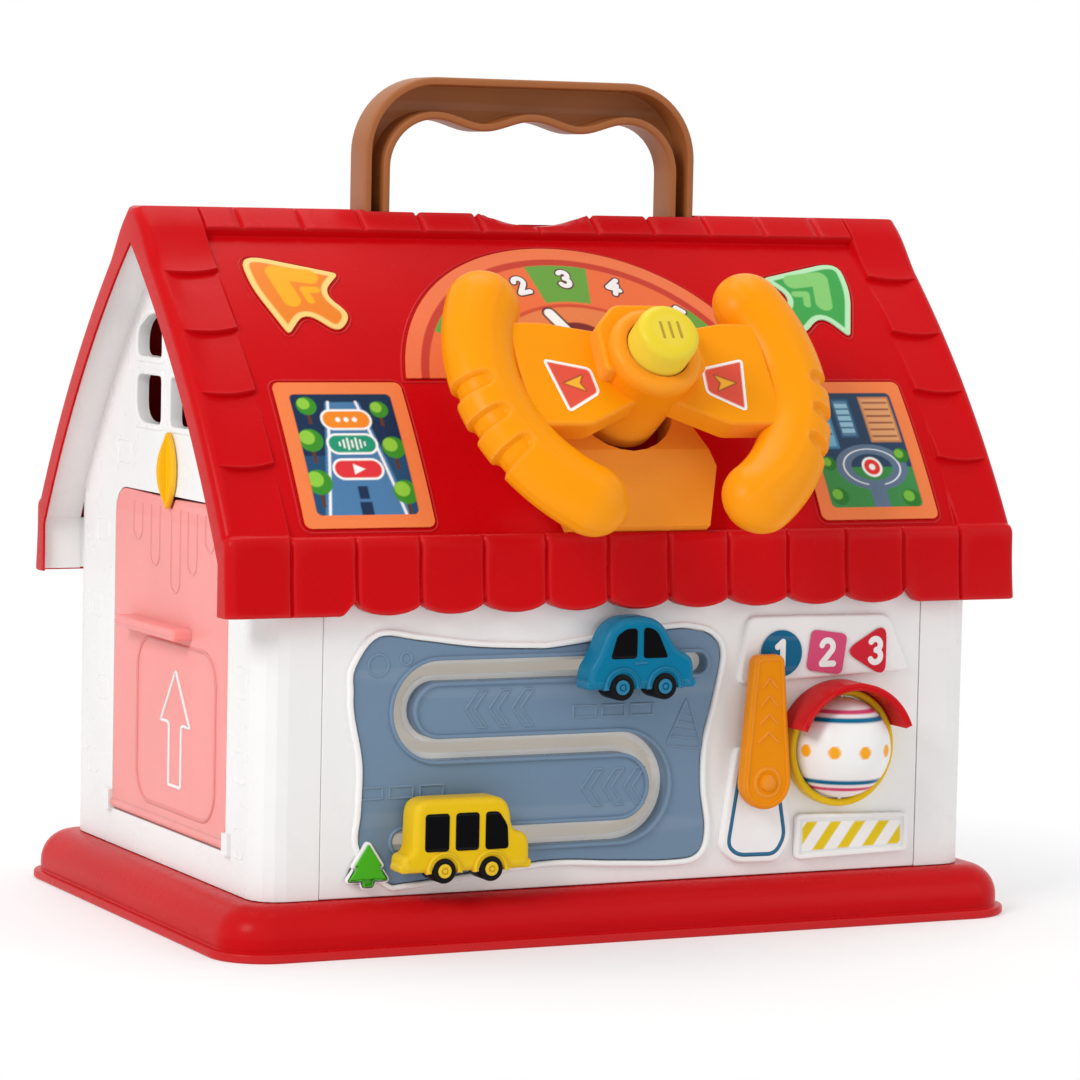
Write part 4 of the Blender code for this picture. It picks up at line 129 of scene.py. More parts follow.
# Handle
HANDLE_HALF = 0.0644
HANDLE_LEG = 0.0098
HANDLE_TOP = 0.2894
HANDLE_FRONT = 0.0045
HANDLE_BACK = 0.0090
HANDLE_RADIUS = 0.027
HANDLE_INNER_RADIUS = 0.017
HANDLE_WEB = 0.0025
HANDLE_RIM = 0.0027
HANDLE_FLOOR = ((0.0001, 0.0006), (0.0003, 0.0002), (0.0007, 0.0), (0.0009, 0.0))
GRIP_DEPTH = 0.0166
GRIP_WAVE = 0.0019
GRIP_WAVES = 2
FOOT_LOW = 0.2223
FOOT_HEIGHT = 0.0097
FOOT_REACH = 0.0028

# Windows
PANE_GAP = 0.0035
PANE_WIDTH = 0.025
PANE_LOW = 0.1676
PANE_SILL_HEIGHT = 0.0179
PANE_BAR = 0.005
PANE_TOP_HEIGHT = 0.0175
PANE_ARCH_DROP = 0.0085
PANE_SHOULDER = (0.0060, 0.0028)
LOWER_REACH = (0.0035, 0.0110, 0.0050, 0.0030)
UPPER_REACH = (0.0030, 0.0050, 0.0060, 0.0060, 0.0040)

# Faint bricks on the end walls: along, up, width and height
BRICKS = (
    (-0.0715, 0.088, 0.0085, 0.0105), (-0.0722, 0.060, 0.0085, 0.0105), (-0.0712, 0.035, 0.0080, 0.0100),
    (0.0600, 0.128, 0.0120, 0.0075), (0.0670, 0.101, 0.0120, 0.0085), (0.0585, 0.072, 0.0110, 0.0080),
    (0.0680, 0.045, 0.0110, 0.0085), (-0.0500, 0.156, 0.0120, 0.0075), (0.0400, 0.157, 0.0125, 0.0080),
)
BRICK_RADIUS = 0.0022
BRICK_LINE = (0.00026, -0.00004)

# Garage door and latch
DOOR_FACE = -0.1348
DOOR_Y = -0.006
DOOR_WIDTH = 0.1065
DOOR_LOW = 0.0325
DOOR_TOP = 0.1443
DOOR_THICK = 0.0022
DOOR_RADIUS = 0.009
LEDGE_SHARES = (-0.197, 0.338)
LEDGE_Z = (0.097, 0.101)
LEDGE_REACH = 0.007
SIGN_SHARES = (-0.413, 0.282)
SIGN_Z = (0.037, 0.095)
SIGN_RADIUS = 0.012
DRIP_TIPS = ((0.0254, 0.1274), (0.0086, 0.1198), (-0.0107, 0.1120), (-0.0262, 0.1195), (-0.0422, 0.1283))
DRIP_HALF = 0.0042
LATCH_Z = 0.1533
LATCH_SIZE = (0.026, 0.012)
DOOR_ARROW = (
    (-0.0062, -0.0205), (0.0062, -0.0205), (0.0062, 0.0010), (0.0145, 0.0010), (0.0, 0.0205),
    (-0.0145, 0.0010), (-0.0062, 0.0010),
)
# The latch from its back to its raised fold: width and length shares, height, and the fold's height
LATCH_STEPS = (
    (0.93, 0.97, FIT, 0), (1.0, 1.0, 0.0008, 0), (1.0, 1.0, 0.0018, 0), (0.95, 0.985, 0.0023, 0),
    (0.60, 0.975, 0.0022, 0), (0.24, 0.965, 0.0021, 0), (0.17, 0.96, 0.0021, 0.0004),
    (0.14, 0.955, 0.0021, 0.0016), (0.11, 0.95, 0.0021, 0.0029), (0.07, 0.945, 0.0021, 0.0034),
    (0.004, 0.94, 0.0021, 0.0035),
)

# Front panel
ROAD_X = -0.0341
ROAD_Z = 0.0629
ROAD_SIZE = (0.1358, 0.0814)
ROAD_SHARES = (
    (-0.497, 0.192), (-0.474, -0.004), (-0.475, -0.199), (-0.478, -0.354), (-0.408, -0.489),
    (-0.334, -0.500), (0.010, -0.443), (0.208, -0.456), (0.370, -0.467), (0.446, -0.446),
    (0.466, -0.342), (0.451, -0.167), (0.453, 0.022), (0.480, 0.209), (0.500, 0.388),
    (0.476, 0.464), (0.420, 0.496), (0.339, 0.496), (0.053, 0.440), (-0.026, 0.436),
    (-0.182, 0.450), (-0.325, 0.482), (-0.437, 0.500), (-0.496, 0.382), (-0.500, 0.284),
)
ROAD_BACK = 0.08365
ROAD_FRONT = 0.08895
ROAD_RIM = 0.0020
ROAD_RIM_LIFT = 0.0014
TRACK_Z = (0.0919, 0.06575, 0.0357)
TRACK_BENDS = (-0.0713, -0.004)
TRACK_ENDS = (0.025, -0.084)
TRACK_WIDTH = 0.0072
TRACK_LIP = 0.0014
TRACK_LIP_LIFT = 0.0009
CHEVRON = (
    (0.0068, 0.0062), (0.0036, 0.0062), (-0.001, 0), (0.0036, -0.0062), (0.0068, -0.0062), (0.0022, 0),
)
CHEVRON_PLACES = (
    (-0.0607, 0.0789), (-0.0521, 0.0789), (-0.0435, 0.0789), (-0.0170, 0.0508), (-0.0090, 0.0508),
    (-0.0010, 0.0508),
)
DASH = ((-0.0042, -0.0019), (0.0042, -0.0019), (0.0042, 0.0019), (-0.0042, 0.0019))
DASH_PLACES = (
    (-0.0175, 0.0768), (-0.0067, 0.0768), (0.0041, 0.0768), (-0.0955, 0.0522), (-0.0845, 0.0522),
    (-0.0735, 0.0522),
)

# Vehicles
VEHICLE_BACK = 0.09145
VEHICLE_DEPTH = 0.0105
CAR_PLACE = (-0.0024, 0.0815)
CAR_SHARES = (
    (0.50, 0.13), (0.50, 0.42), (0.46, 0.52), (0.33, 0.60), (0.20, 0.90), (0.06, 1.00),
    (-0.20, 0.98), (-0.33, 0.84), (-0.42, 0.52), (-0.50, 0.36), (-0.50, 0.13),
)
CAR_PANES = (
    ((-0.31, 0.50), (-0.06, 0.50), (-0.06, 0.86), (-0.16, 0.86), (-0.25, 0.78)),
    ((0.00, 0.50), (0.24, 0.50), (0.14, 0.80), (0.08, 0.86), (0.00, 0.87)),
)
BUS_SHARES = (
    (0.50, 0.13), (0.50, 0.46), (0.46, 0.56), (0.36, 0.60), (0.34, 0.88), (0.27, 1.00),
    (-0.34, 1.00), (-0.41, 0.90), (-0.42, 0.36), (-0.50, 0.33), (-0.50, 0.13),
)
BUS_PANES = (
    ((-0.335, 0.38), (-0.145, 0.38), (-0.145, 0.83), (-0.335, 0.83)),
    ((-0.095, 0.38), (0.090, 0.38), (0.090, 0.83), (-0.095, 0.83)),
    ((0.140, 0.38), (0.325, 0.38), (0.315, 0.66), (0.245, 0.83), (0.140, 0.83)),
)
# Place, size, outline, wheels' places, tyre's radius, lane and panes
CAR = (CAR_PLACE, (0.0395, 0.0282), CAR_SHARES, (-0.195, 0.210), 0.0045, TRACK_Z[0], CAR_PANES)
BUS = ((-0.066, 0.0232), (0.046, 0.028), BUS_SHARES, (-0.180, 0.191), 0.0042, TRACK_Z[2], BUS_PANES)
HUB_CAP = (
    (0.0, -0.001), (0.56, -0.001), (0.56, 0.0006), (0.46, 0.0009), (0.30, 0.0009), (0.26, 0.0004),
    (0.20, 0.0004), (0.16, 0.0009), (0.0, 0.0010),
)
BUMPER_HALF = (0.0021, 0.0016)
COLLAR_RADIUS = 0.0033
PEG_RADIUS = 0.0015
PEG_BACK = 0.0795

# Pads, badges, lever and ball
PAD_LIFT = 0.002
NUMBER_PAD = ((0.0743, 0.0957), (0.0682, 0.0234))
NUMBER_SHARES = ((-0.5, -0.5), (0.5, -0.372), (0.369, 0.483), (-0.447, 0.5))
LEVER_PAD = ((0.0488, 0.04275), (0.0284, 0.0415))
LEVER_PAD_SHARES = (
    (-0.5, -0.37), (-0.288, -0.493), (0.325, -0.5), (0.5, -0.298), (0.355, 0.281), (-0.301, 0.5),
)
BADGE_Z = 0.0944
BADGE_OUT = DEPTH_HALF + PAD_LIFT + FIT
BADGE_X = (0.0566, 0.0745, 0.0925)
BADGE_FIGURE = (0.0088, 0.00105)
DISC_RADIUS = 0.008
SQUARE_HALF = 0.0071
SQUARE_TURN = math.radians(-8)
TRIANGLE_RADIUS = 0.0112
STRIPE = ((0.0869, 0.0304), (0.0446, 0.0155))
STRIPE_SHARES = ((-0.5, -0.5), (0.5, -0.43), (0.49, 0.42), (-0.5, 0.5))
STRIPE_THICK = 0.0012
STRIPE_PITCH = 0.0098
TREE = ((-0.0966, 0.0215), (0.0141, 0.0143))
TREE_SHARES = (
    (0.13, 0.0), (0.13, 0.16), (0.5, 0.14), (0.27, 0.47), (0.36, 0.46), (0.0, 1.0),
    (-0.36, 0.46), (-0.27, 0.47), (-0.5, 0.14), (-0.13, 0.16), (-0.13, 0.0),
)
LEVER = (0.0487, 0.0510)
LEVER_LENGTH = 0.0437
LEVER_EYE = 0.0094
LEVER_TIP = (0.0060, 0.0030)
LEVER_LOW = 0.09295
LEVER_THICK = 0.005
LEVER_HOLE = 0.0043
LEVER_BOSS_BACK = 0.08565
LEVER_RING = (
    (0.0, -0.0010), (0.0054, -0.0010), (0.0054, -0.0003), (0.0050, 0.0), (0.0042, 0.0), (0.0038, -0.0003),
    (0.0031, -0.0003), (0.0028, 0.0004), (0.0022, 0.0008), (0.0010, 0.0010), (0.0, 0.0010),
)
SIGNAL = (0.0804, 0.0613)
SIGNAL_OUT = 0.0915
SIGNAL_RADIUS = 0.0175
SIGNAL_BORE = 0.0012
SIGNAL_ROOM = 0.0017
BEZEL_INNER = 0.0180
BEZEL_OUTER = 0.0205
BEZEL_FRONT = 0.0936
HOOD_THICK = 0.0025
HOOD_FRONT = 0.104
HOOD_ARC = (20, 160)

# Steering wheel
WHEEL_RUN = 0.094
RIM_RISE = 0.027
RIM_RADIUS = 0.0575
RIM_HALF = 0.0125
RIM_END_HALF = 0.0130
RIM_DEPTH_SHARE = 0.8
LOBE_TOP = math.radians(29)
LOBE_BOTTOM = math.radians(-57)
FLUTE_BENDS = (-0.10, -0.31, -0.52)
FLUTE_WRAP = 0.0125
FLUTE_EDGE = (0.0022, 0.0036)
HUB_LOW = 0.006
HUB_HIGH = 0.0445
HUB_RADIUS = 0.0165
POCKET_RADIUS = 0.0112
POCKET_FLOOR = 0.030
SPOKE_RISES = (0.0235, 0.033)
SPOKE = (
    (0.004, -0.0125), (0.026, -0.023), (0.047, -0.023), (0.047, 0.018), (0.034, 0.018), (0.004, 0.0125),
)
SPOKE_LABEL = ((0.0198, -0.0108), (0.0334, -0.0184), (0.0378, 0.0032), (0.0208, -0.0006))
CREST_RISES = (0.0270, 0.0400)
HUB_CREST = (
    (-0.0190, -0.006), (0.0190, -0.006), (0.0180, 0.0120), (0.0095, 0.0205), (-0.0095, 0.0205),
    (-0.0180, 0.0120),
)
BUTTON_RADIUS = 0.0109
BUTTON_TOP = 0.055
BUTTON_LOW = 0.038

# Labels
LABEL_LOW = PANEL_RISE + FIT
LABEL_THICK = 0.0005
LABEL_HIGH = LABEL_LOW + LABEL_THICK
DIAL_RADIUS = 0.071
DIAL_RUN = 0.0867
DIAL_BASE_RUN = 0.0756
DIAL_ROOM = 0.0248
# The dial's numerals: across, run and turn
DIAL_FIGURES = (
    ("1", -0.0370, 0.0470, 32), ("2", -0.0151, 0.0342, 14), ("3", 0.0027, 0.0308, -3),
    ("4", 0.0211, 0.0343, -22), ("5", 0.0410, 0.0475, -40),
)
SCREEN_X = 0.0965
SCREEN_HALF = (0.02325, 0.028)
SCREEN_RUN = 0.1055
ARROW_X = 0.100
ARROW_RUN = 0.038
ARROW_POINTS = (
    (-0.0165, 0.0178), (-0.0160, 0.0020), (-0.0080, -0.0192), (0.0003, -0.0088), (0.0106, -0.0184),
    (0.0170, -0.0104), (0.0092, -0.0005), (0.0176, 0.0086),
)
ARROW_REACH = (0.0100, 0.0070, 0.0022, 0.0065, 0.0045, 0.0045, 0.0060, 0.0022)
ARROW_STROKES = (
    ((0.0062, 0.0070), (-0.0058, 0.0088), (-0.0030, -0.0036), 0.0033),
    ((0.0072, 0.0009), (0.0026, 0.0010), (0.0040, -0.0040), 0.0014),
)
# Border, field and mark of the two arrows
WARM = ((240, 204, 122), (232, 128, 30), (240, 168, 14))
FRESH = ((180, 226, 180), (62, 160, 76), (132, 198, 112))
ARROWS = (
    (-1, "left_arrow_label", WARM, "orange_print"), (1, "right_arrow_label", FRESH, "green_print"),
)
CARD = (250, 250, 246)
ROAD_ART = ((-0.0155, -0.024), (0.0155, -0.024), (0.0062, 0.020), (-0.0062, 0.020))
ROAD_BUSHES = (
    (-0.0130, 0.0185, 0.0036), (0.0128, 0.0170, 0.0033), (-0.0145, 0.0050, 0.0044),
    (0.0146, 0.0020, 0.0042), (-0.0150, -0.0110, 0.0047), (0.0152, -0.0150, 0.0045),
)
# Place, half width, half height and rim of each block, and its two colours
TOWN_BLOCKS = (
    (-0.0125, 0.0110, 0.0040, 0.0110, 0.0010, (70, 128, 164), (116, 176, 204)),
    (-0.0030, 0.0125, 0.0036, 0.0080, 0.0010, (54, 96, 130), (150, 196, 214)),
    (0.0110, 0.0120, 0.0062, 0.0095, 0.0008, (196, 128, 84), (224, 160, 108)),
)
TOWN_BUSHES = (
    (-0.0140, -0.0190, 0.0034), (0.0145, -0.0200, 0.0036), (0.0150, -0.0030, 0.0030),
    (-0.0148, -0.0060, 0.0028),
)

# Finishes
GROUP_INPUTS = (
    ("Color", "Color", (1, 1, 1, 1)), ("Gloss", "Float", 0.3), ("Wear", "Float", 0.3),
    ("Grain", "Float", 0.2),
)
GROUP_OUTPUTS = (("Color", "Color"), ("Roughness", "Float"), ("Normal", "Vector"))
# Settings of each finish; red and black take little of the painted edge highlight
FINISHES = {
    "lemon": {}, "green": {}, "grey": {}, "white": {"grain": 0.01},
    # The pale finish glows a little: painted light that lifts the guide out of the shade deep in the road's
    # slot
    "pale": {"gloss": 0.5, "shine": 0.1, "glow": 0.22},
    "red": {"gloss": 0.26, "edge_sheen": 0.02, "shine": 0.06},
    "brown": {"gloss": 0.38},
    "salmon": {"gloss": 0.34, "soft": 0.25},
    "black": {"gloss": 0.30, "edge_sheen": 0.01, "shine": 0.03},
    **{name: {"shine": 0.08} for name in ("blue_grey", "orange", "lever", "yellow", "blue")},
    **{name: {"gloss": 0.35, "grain": 0.05} for name in ("teal", "pink", "crimson")},
}
# The frame's own pieces by finish; the others are steel
NODE_FINISHES = {
    "white": "left_wall right_wall back_wall attic_deck",
    "orange": "steering_column",
    # Both pale pieces glow, which is painted light
    "pale": "track_plate front_mech_cover",
    "red": "battery_door",
    "grey": "handle_well steering_bush battery_box car_retainer bus_retainer power_switch_body",
    "black": "power_switch horn_switch speaker left_battery_cell right_battery_cell",
    "board": "circuit_board",
}

# Camera and room, as the photograph was taken
VIEW_TURN = math.radians(26.08)
VIEW_RISE = math.radians(4.68)
VIEW_ROLL = math.radians(1.21)
VIEW_DISTANCE = 1.52643
VIEW_SHIFT = 0.00722
VIEW_HEIGHT = 0.12701
LENS = 143.15
SENSOR = 36.0


def srgb(red, green, blue):
    """A colour as seen on screen, 0 to 255, turned to linear light."""
    share = np.array([red, green, blue]) / 255
    return tuple(np.where(share <= 0.04045, share / 12.92, ((share + 0.055) / 1.055) ** 2.4).tolist())


def colour_property(name, description, value):
    return bpy.props.FloatVectorProperty(
        name=name, description=description, default=value, subtype="COLOR", size=3, min=0, max=1
    )


def length_property(name, description, value):
    return bpy.props.FloatProperty(
        name=name, description=description, default=value, unit="LENGTH", precision=5, min=0
    )


class HouseColours(bpy.types.PropertyGroup):
    """Colours of the house's plastics and prints."""

    red: colour_property("Red", "Roof, base and hood", srgb(198, 8, 16))
    white: colour_property("White", "Walls, pads and ball", srgb(238, 238, 237))
    blue_grey: colour_property("Blue-grey", "Road panel", srgb(112, 136, 160))
    orange: colour_property("Orange", "Steering wheel and column", srgb(246, 152, 8))
    lever: colour_property("Lever", "Barrier lever", srgb(232, 140, 4))
    yellow: colour_property("Yellow", "Bus, latch and ring", srgb(228, 188, 18))
    lemon: colour_property("Lemon", "Horn button", srgb(232, 206, 44))
    brown: colour_property("Brown", "Carrying handle", srgb(160, 98, 54))
    salmon: colour_property("Salmon", "Garage door", srgb(243, 150, 146))
    blue: colour_property("Blue", "Car", srgb(0, 114, 152))
    green: colour_property("Green", "Tree", srgb(70, 176, 22))
    teal: colour_property("Teal", "Round badge and frame line", srgb(0, 96, 134))
    pink: colour_property("Pink", "Square badge", srgb(212, 76, 118))
    crimson: colour_property("Crimson", "Triangle badge", srgb(206, 26, 46))
    pale: colour_property("Pale grey", "Guide behind the road's slot", srgb(214, 210, 204))
    grey: colour_property("Grey", "Inner pieces", srgb(150, 152, 156))
    black: colour_property("Black", "Windows and tyres", srgb(10, 10, 12))


class HouseSizes(bpy.types.PropertyGroup):
    """Finishing sizes of the house's pieces."""

    tile_groove: length_property("Tile groove", "Depth of the grooves between tiles", 0.0008)
    tile_round: length_property("Tile rounding", "Rounding of the roof's ends", 0.0036)
    wall_round: length_property("Wall rounding", "Rounding of the walls' edges", 0.0004)
    pad_round: length_property("Pad rounding", "Rounding of the pads' edges", 0.0011)
    bead: length_property("Bead", "Half width of the raised lines", 0.00038)
    vehicle_round: length_property("Vehicle rounding", "Rounding of the vehicles' edges", 0.0021)
    handle_round: length_property("Handle rounding", "Rounding of the handle's edges", 0.0011)
    flute_depth: length_property("Flute depth", "Depth of the finger grooves in the wheel", 0.0019)
    print_step: length_property("Print step", "Grid step of the printed labels", 0.00036)


# Surfaces worked out as whole arrays


def inset(loop, distance):
    """A closed loop moved to its left: each point goes along the mean of its two sides' normals."""
    before = loop - np.roll(loop, 1, 0)
    after = np.roll(loop, -1, 0) - loop
    sides = []
    for way in (before, after):
        length = np.maximum(np.linalg.norm(way, axis=1, keepdims=True), 1e-9)
        sides.append(np.stack([-way[:, 1], way[:, 0]], 1) / length)
    middle = sides[0] + sides[1]
    middle = middle / np.maximum(np.linalg.norm(middle, axis=1, keepdims=True), 1e-9)
    stretch = 1 / np.maximum((middle * sides[0]).sum(1), 0.5)
    return loop + middle * stretch[:, None] * distance


def arc(centre, radius, start, end, steps):
    """Points of an arc between two angles in degrees, ends included."""
    turn = np.radians(np.linspace(start, end, steps + 1))
    return np.stack([centre[0] + radius * np.cos(turn), centre[1] + radius * np.sin(turn)], 1)


def circle(centre, radius, sides=SIDES):
    """A closed round loop, anticlockwise."""
    return arc(centre, radius, 0, 360, sides)[:-1]


def rounded_box(low, high, radius, steps=6):
    """A rectangle whose corners are quarter circles, anticlockwise."""
    return np.concatenate([
        arc((high[0] - radius, low[1] + radius), radius, -90, 0, steps),
        arc((high[0] - radius, high[1] - radius), radius, 0, 90, steps),
        arc((low[0] + radius, high[1] - radius), radius, 90, 180, steps),
        arc((low[0] + radius, low[1] + radius), radius, 180, 270, steps),
    ])


def softened(points, reach, steps=7):
    """A closed outline with each corner bent over a reach along its two sides, as a parabola."""
    points = np.asarray(points, float)
    reach = np.broadcast_to(np.reshape(reach, (-1, 1)), (len(points), 1))
    before = np.roll(points, 1, 0) - points
    after = np.roll(points, -1, 0) - points
    spans = [np.linalg.norm(way, axis=1, keepdims=True) for way in (before, after)]
    starts = points + before / spans[0] * np.minimum(reach, 0.45 * spans[0])
    ends = points + after / spans[1] * np.minimum(reach, 0.45 * spans[1])
    share = np.linspace(0, 1, steps)[None, :, None]
    first = starts[:, None] + (points - starts)[:, None] * share
    second = points[:, None] + (ends - points)[:, None] * share
    return (first + (second - first) * share).reshape(-1, 2)


def from_shares(shares, centre, size):
    """An outline from shares of its width and height about a centre."""
    return np.asarray(centre) + np.asarray(shares) * np.asarray(size)


def smooth_loop(points, steps=6):
    """A closed curve through the points: Catmull-Rom pieces of a like number of steps."""
    points = np.asarray(points, float)
    before, after, far = (np.roll(points, shift, 0)[:, None] for shift in (1, -1, -2))
    share = np.linspace(0, 1, steps, endpoint=False)[None, :, None]
    here = points[:, None]
    bend = (2 * here + (after - before) * share + (2 * before - 5 * here + 4 * after - far) * share ** 2
            + (3 * here - before - 3 * after + far) * share ** 3) / 2
    return bend.reshape(-1, 2)


def turned(points, angle, centre=(0.0, 0.0)):
    """Points turned in their plane about a centre."""
    middle = np.asarray(centre)
    spin = np.array([[math.cos(angle), math.sin(angle)], [-math.sin(angle), math.cos(angle)]])
    return (np.asarray(points) - middle) @ spin + middle


def smooth_step(value, low, high):
    """0 below low, 1 above high, and a smooth S between them."""
    share = np.clip((value - low) / (high - low), 0, 1)
    return share * share * (3 - 2 * share)


def ring_faces(count, rings, closed=False):
    """Quads between rings of a like number of points, the last joined to the first if closed."""
    near = np.arange(count)
    far = (near + 1) % count
    low = (np.arange(rings if closed else rings - 1) * count)[:, None]
    high = (low + count) % (count * rings)
    return np.stack([low + near, low + far, high + far, high + near], -1).reshape(-1, 4)


def flat_fill(loops):
    """Triangles that fill the first loop and leave the others open, facing up."""
    flat = [[Vector((x, y, 0)) for x, y in loop] for loop in loops]
    faces = np.array(tessellate_polygon(flat))
    points = np.concatenate(loops)[faces]
    one, two = points[:, 1] - points[:, 0], points[:, 2] - points[:, 0]
    down = one[:, 0] * two[:, 1] - one[:, 1] * two[:, 0] < 0
    faces[down] = faces[down][:, ::-1]
    return faces


def shoulder(start, top, radius, turn):
    """Part of a profile: a quarter circle from upright at an inset to flat at a height."""
    return [(start + radius * (1 - math.cos(a)), top - radius * (1 - math.sin(a))) for a in turn]


def rounded(low, high, top=0.0, bottom=0.0):
    """A plate's profile of insets and heights: quarter circles at its rims and a hair ring inside each."""
    turn = np.linspace(0, math.pi / 2, EDGE_STEPS + 1)
    profile = []
    if bottom:
        profile.append((bottom + HAIR, low))
        profile += [(bottom * (1 - math.cos(a)), low + bottom * (1 - math.sin(a))) for a in turn[::-1]]
    else:
        profile.append((0.0, low))
    if top:
        profile += shoulder(0.0, high, top, turn)
        profile.append((top + HAIR, high))
    else:
        profile.append((0.0, high))
    return profile


def plate(loops, profile):
    """A closed plate: each loop goes through a profile of insets and heights, and both ends are filled."""
    loops = [np.asarray(loop, float) for loop in loops]
    points, faces, first, last = [], [], [], []
    start = 0
    for loop in loops:
        rings = [np.column_stack([inset(loop, step), np.full(len(loop), height)])
                 for step, height in profile]
        count = len(loop)
        points.append(np.concatenate(rings))
        faces.append(ring_faces(count, len(rings)) + start)
        first.append(start + np.arange(count))
        last.append(start + (len(rings) - 1) * count + np.arange(count))
        start += count * len(rings)
    low = flat_fill([inset(loop, profile[0][0]) for loop in loops])
    high = flat_fill([inset(loop, profile[-1][0]) for loop in loops])
    faces += [np.concatenate(first)[low][:, ::-1], np.concatenate(last)[high]]
    return np.concatenate(points), faces


def skin(rings, closed=False):
    """A closed surface through rings of points; open ends are filled with a fan about their middle."""
    rings = np.asarray(rings, float)
    rows, count = rings.shape[:2]
    points = [rings.reshape(-1, 3)]
    faces = [ring_faces(count, rows, closed)]
    if not closed:
        near = np.arange(count)
        far = (near + 1) % count
        total = rows * count
        points += [rings[0].mean(0)[None], rings[-1].mean(0)[None]]
        faces.append(np.stack([far, near, np.full(count, total)], 1))
        top = (rows - 1) * count
        faces.append(np.stack([top + near, top + far, np.full(count, total + 1)], 1))
    return np.concatenate(points), faces


def lathe(profile, sides=FINE_SIDES):
    """A profile of radii and heights turned about Z, its ends closed at their middle."""
    profile = np.asarray(profile, float)
    turn = np.linspace(0, math.tau, sides, endpoint=False)
    radius = profile[:, 0][:, None]
    height = np.repeat(profile[:, 1][:, None], sides, 1)
    return skin(np.stack([radius * np.cos(turn), radius * np.sin(turn), height], -1))


def bead(path, radius, height, closed=False, sides=8):
    """A raised line: a round section carried along a path in a plane, square to the path."""
    path = np.asarray(path, float)
    if closed:
        way = np.roll(path, -1, 0) - np.roll(path, 1, 0)
    else:
        way = np.gradient(path, axis=0)
    way = way / np.maximum(np.linalg.norm(way, axis=1, keepdims=True), 1e-9)
    side = np.stack([-way[:, 1], way[:, 0]], 1)
    turn = np.linspace(0, math.tau, sides, endpoint=False)
    flat = path[:, None] + side[:, None] * (radius * np.cos(turn))[None, :, None]
    lift = np.repeat((height + radius * np.sin(turn))[None], len(path), 0)
    return skin(np.concatenate([flat, lift[..., None]], -1), closed)


def polyline(points, step=0.0012, closed=False):
    """A path through the points at even steps along each side."""
    points = np.asarray(points, float)
    ends = np.concatenate([points[1:], points[:1]]) if closed else points[1:]
    pieces = []
    for start, end in zip(points, ends):
        count = max(2, int(np.linalg.norm(end - start) / step))
        pieces.append(start + (end - start) * np.linspace(0, 1, count, endpoint=False)[:, None])
    if not closed:
        pieces.append(points[-1:])
    return np.concatenate(pieces)


def line_round(loop, step, radius, height):
    """A raised line along a closed outline, with points at even steps."""
    return bead(polyline(loop, step, closed=True), radius, height, closed=True)


def inside(points, loops):
    """Which points lie inside an odd number of the loops, by counting the sides to their right."""
    odd = np.zeros(len(points), bool)
    for loop in loops:
        for start, end in zip(loop, np.roll(loop, -1, 0)):
            spans = (start[1] > points[:, 1]) != (end[1] > points[:, 1])
            if spans.any():
                crossing = start[0] + (points[:, 1] - start[1]) * (end[0] - start[0]) / (end[1] - start[1])
                odd ^= spans & (points[:, 0] < crossing)
    return odd


def nearest_on(points, loops):
    """The nearest place to each point on the sides of the loops."""
    best = np.full(len(points), np.inf)
    found = points.copy()
    for loop in loops:
        for start, end in zip(loop, np.roll(loop, -1, 0)):
            way = end - start
            share = np.clip((points - start) @ way / max(way @ way, 1e-12), 0, 1)
            place = start + share[:, None] * way
            gap = np.linalg.norm(points - place, axis=1)
            closer = gap < best
            best[closer] = gap[closer]
            found[closer] = place[closer]
    return found


def sheet(loops, step, low, high):
    """A thin sheet of square cells inside the loops, its rim drawn onto them; also the flat places."""
    loops = [np.asarray(loop, float) for loop in loops]
    start, end = loops[0].min(0), loops[0].max(0)
    across = np.arange(start[0] + step / 2, end[0], step)
    up = np.arange(start[1] + step / 2, end[1], step)
    flat = np.stack(np.meshgrid(across, up), -1).reshape(-1, 2)
    keep = inside(flat, loops).reshape(len(up), len(across))
    cells = keep[:-1, :-1] & keep[1:, :-1] & keep[:-1, 1:] & keep[1:, 1:]
    row, column = np.nonzero(cells)
    corner = row * len(across) + column
    quads = np.stack([corner, corner + 1, corner + len(across) + 1, corner + len(across)], 1)
    used, quads = np.unique(quads, return_inverse=True)
    quads = quads.reshape(-1, 4)
    flat = flat[used]
    edges = np.stack([quads, np.roll(quads, -1, 1)], -1).reshape(-1, 2)
    key = np.sort(edges, 1)
    _, index, counts = np.unique(key, axis=0, return_index=True, return_counts=True)
    rim = edges[index[counts == 1]]
    outer = np.unique(rim)
    flat[outer] = nearest_on(flat[outer], loops)
    total = len(flat)
    sides = np.stack([rim[:, 0], rim[:, 0] + total, rim[:, 1] + total, rim[:, 1]], 1)
    points = np.concatenate([np.column_stack([flat, np.full(total, height)]) for height in (high, low)])
    return points, [quads, quads[:, ::-1] + total, sides], np.concatenate([flat, flat])


def ribbon(path, half):
    """The outline of a pen stroke: the path moved to both sides, joined by half circles."""
    way = np.gradient(path, axis=0)
    way = way / np.linalg.norm(way, axis=1, keepdims=True)
    side = np.stack([-way[:, 1], way[:, 0]], 1) * half
    first, last = (np.degrees(np.arctan2(end[1], end[0])) for end in (way[0], way[-1]))
    return np.concatenate([
        (path - side)[1:-1],
        arc(path[-1], half, last - 90, last + 90, 8),
        (path + side)[-2:0:-1],
        arc(path[0], half, first + 90, first + 270, 8),
    ])


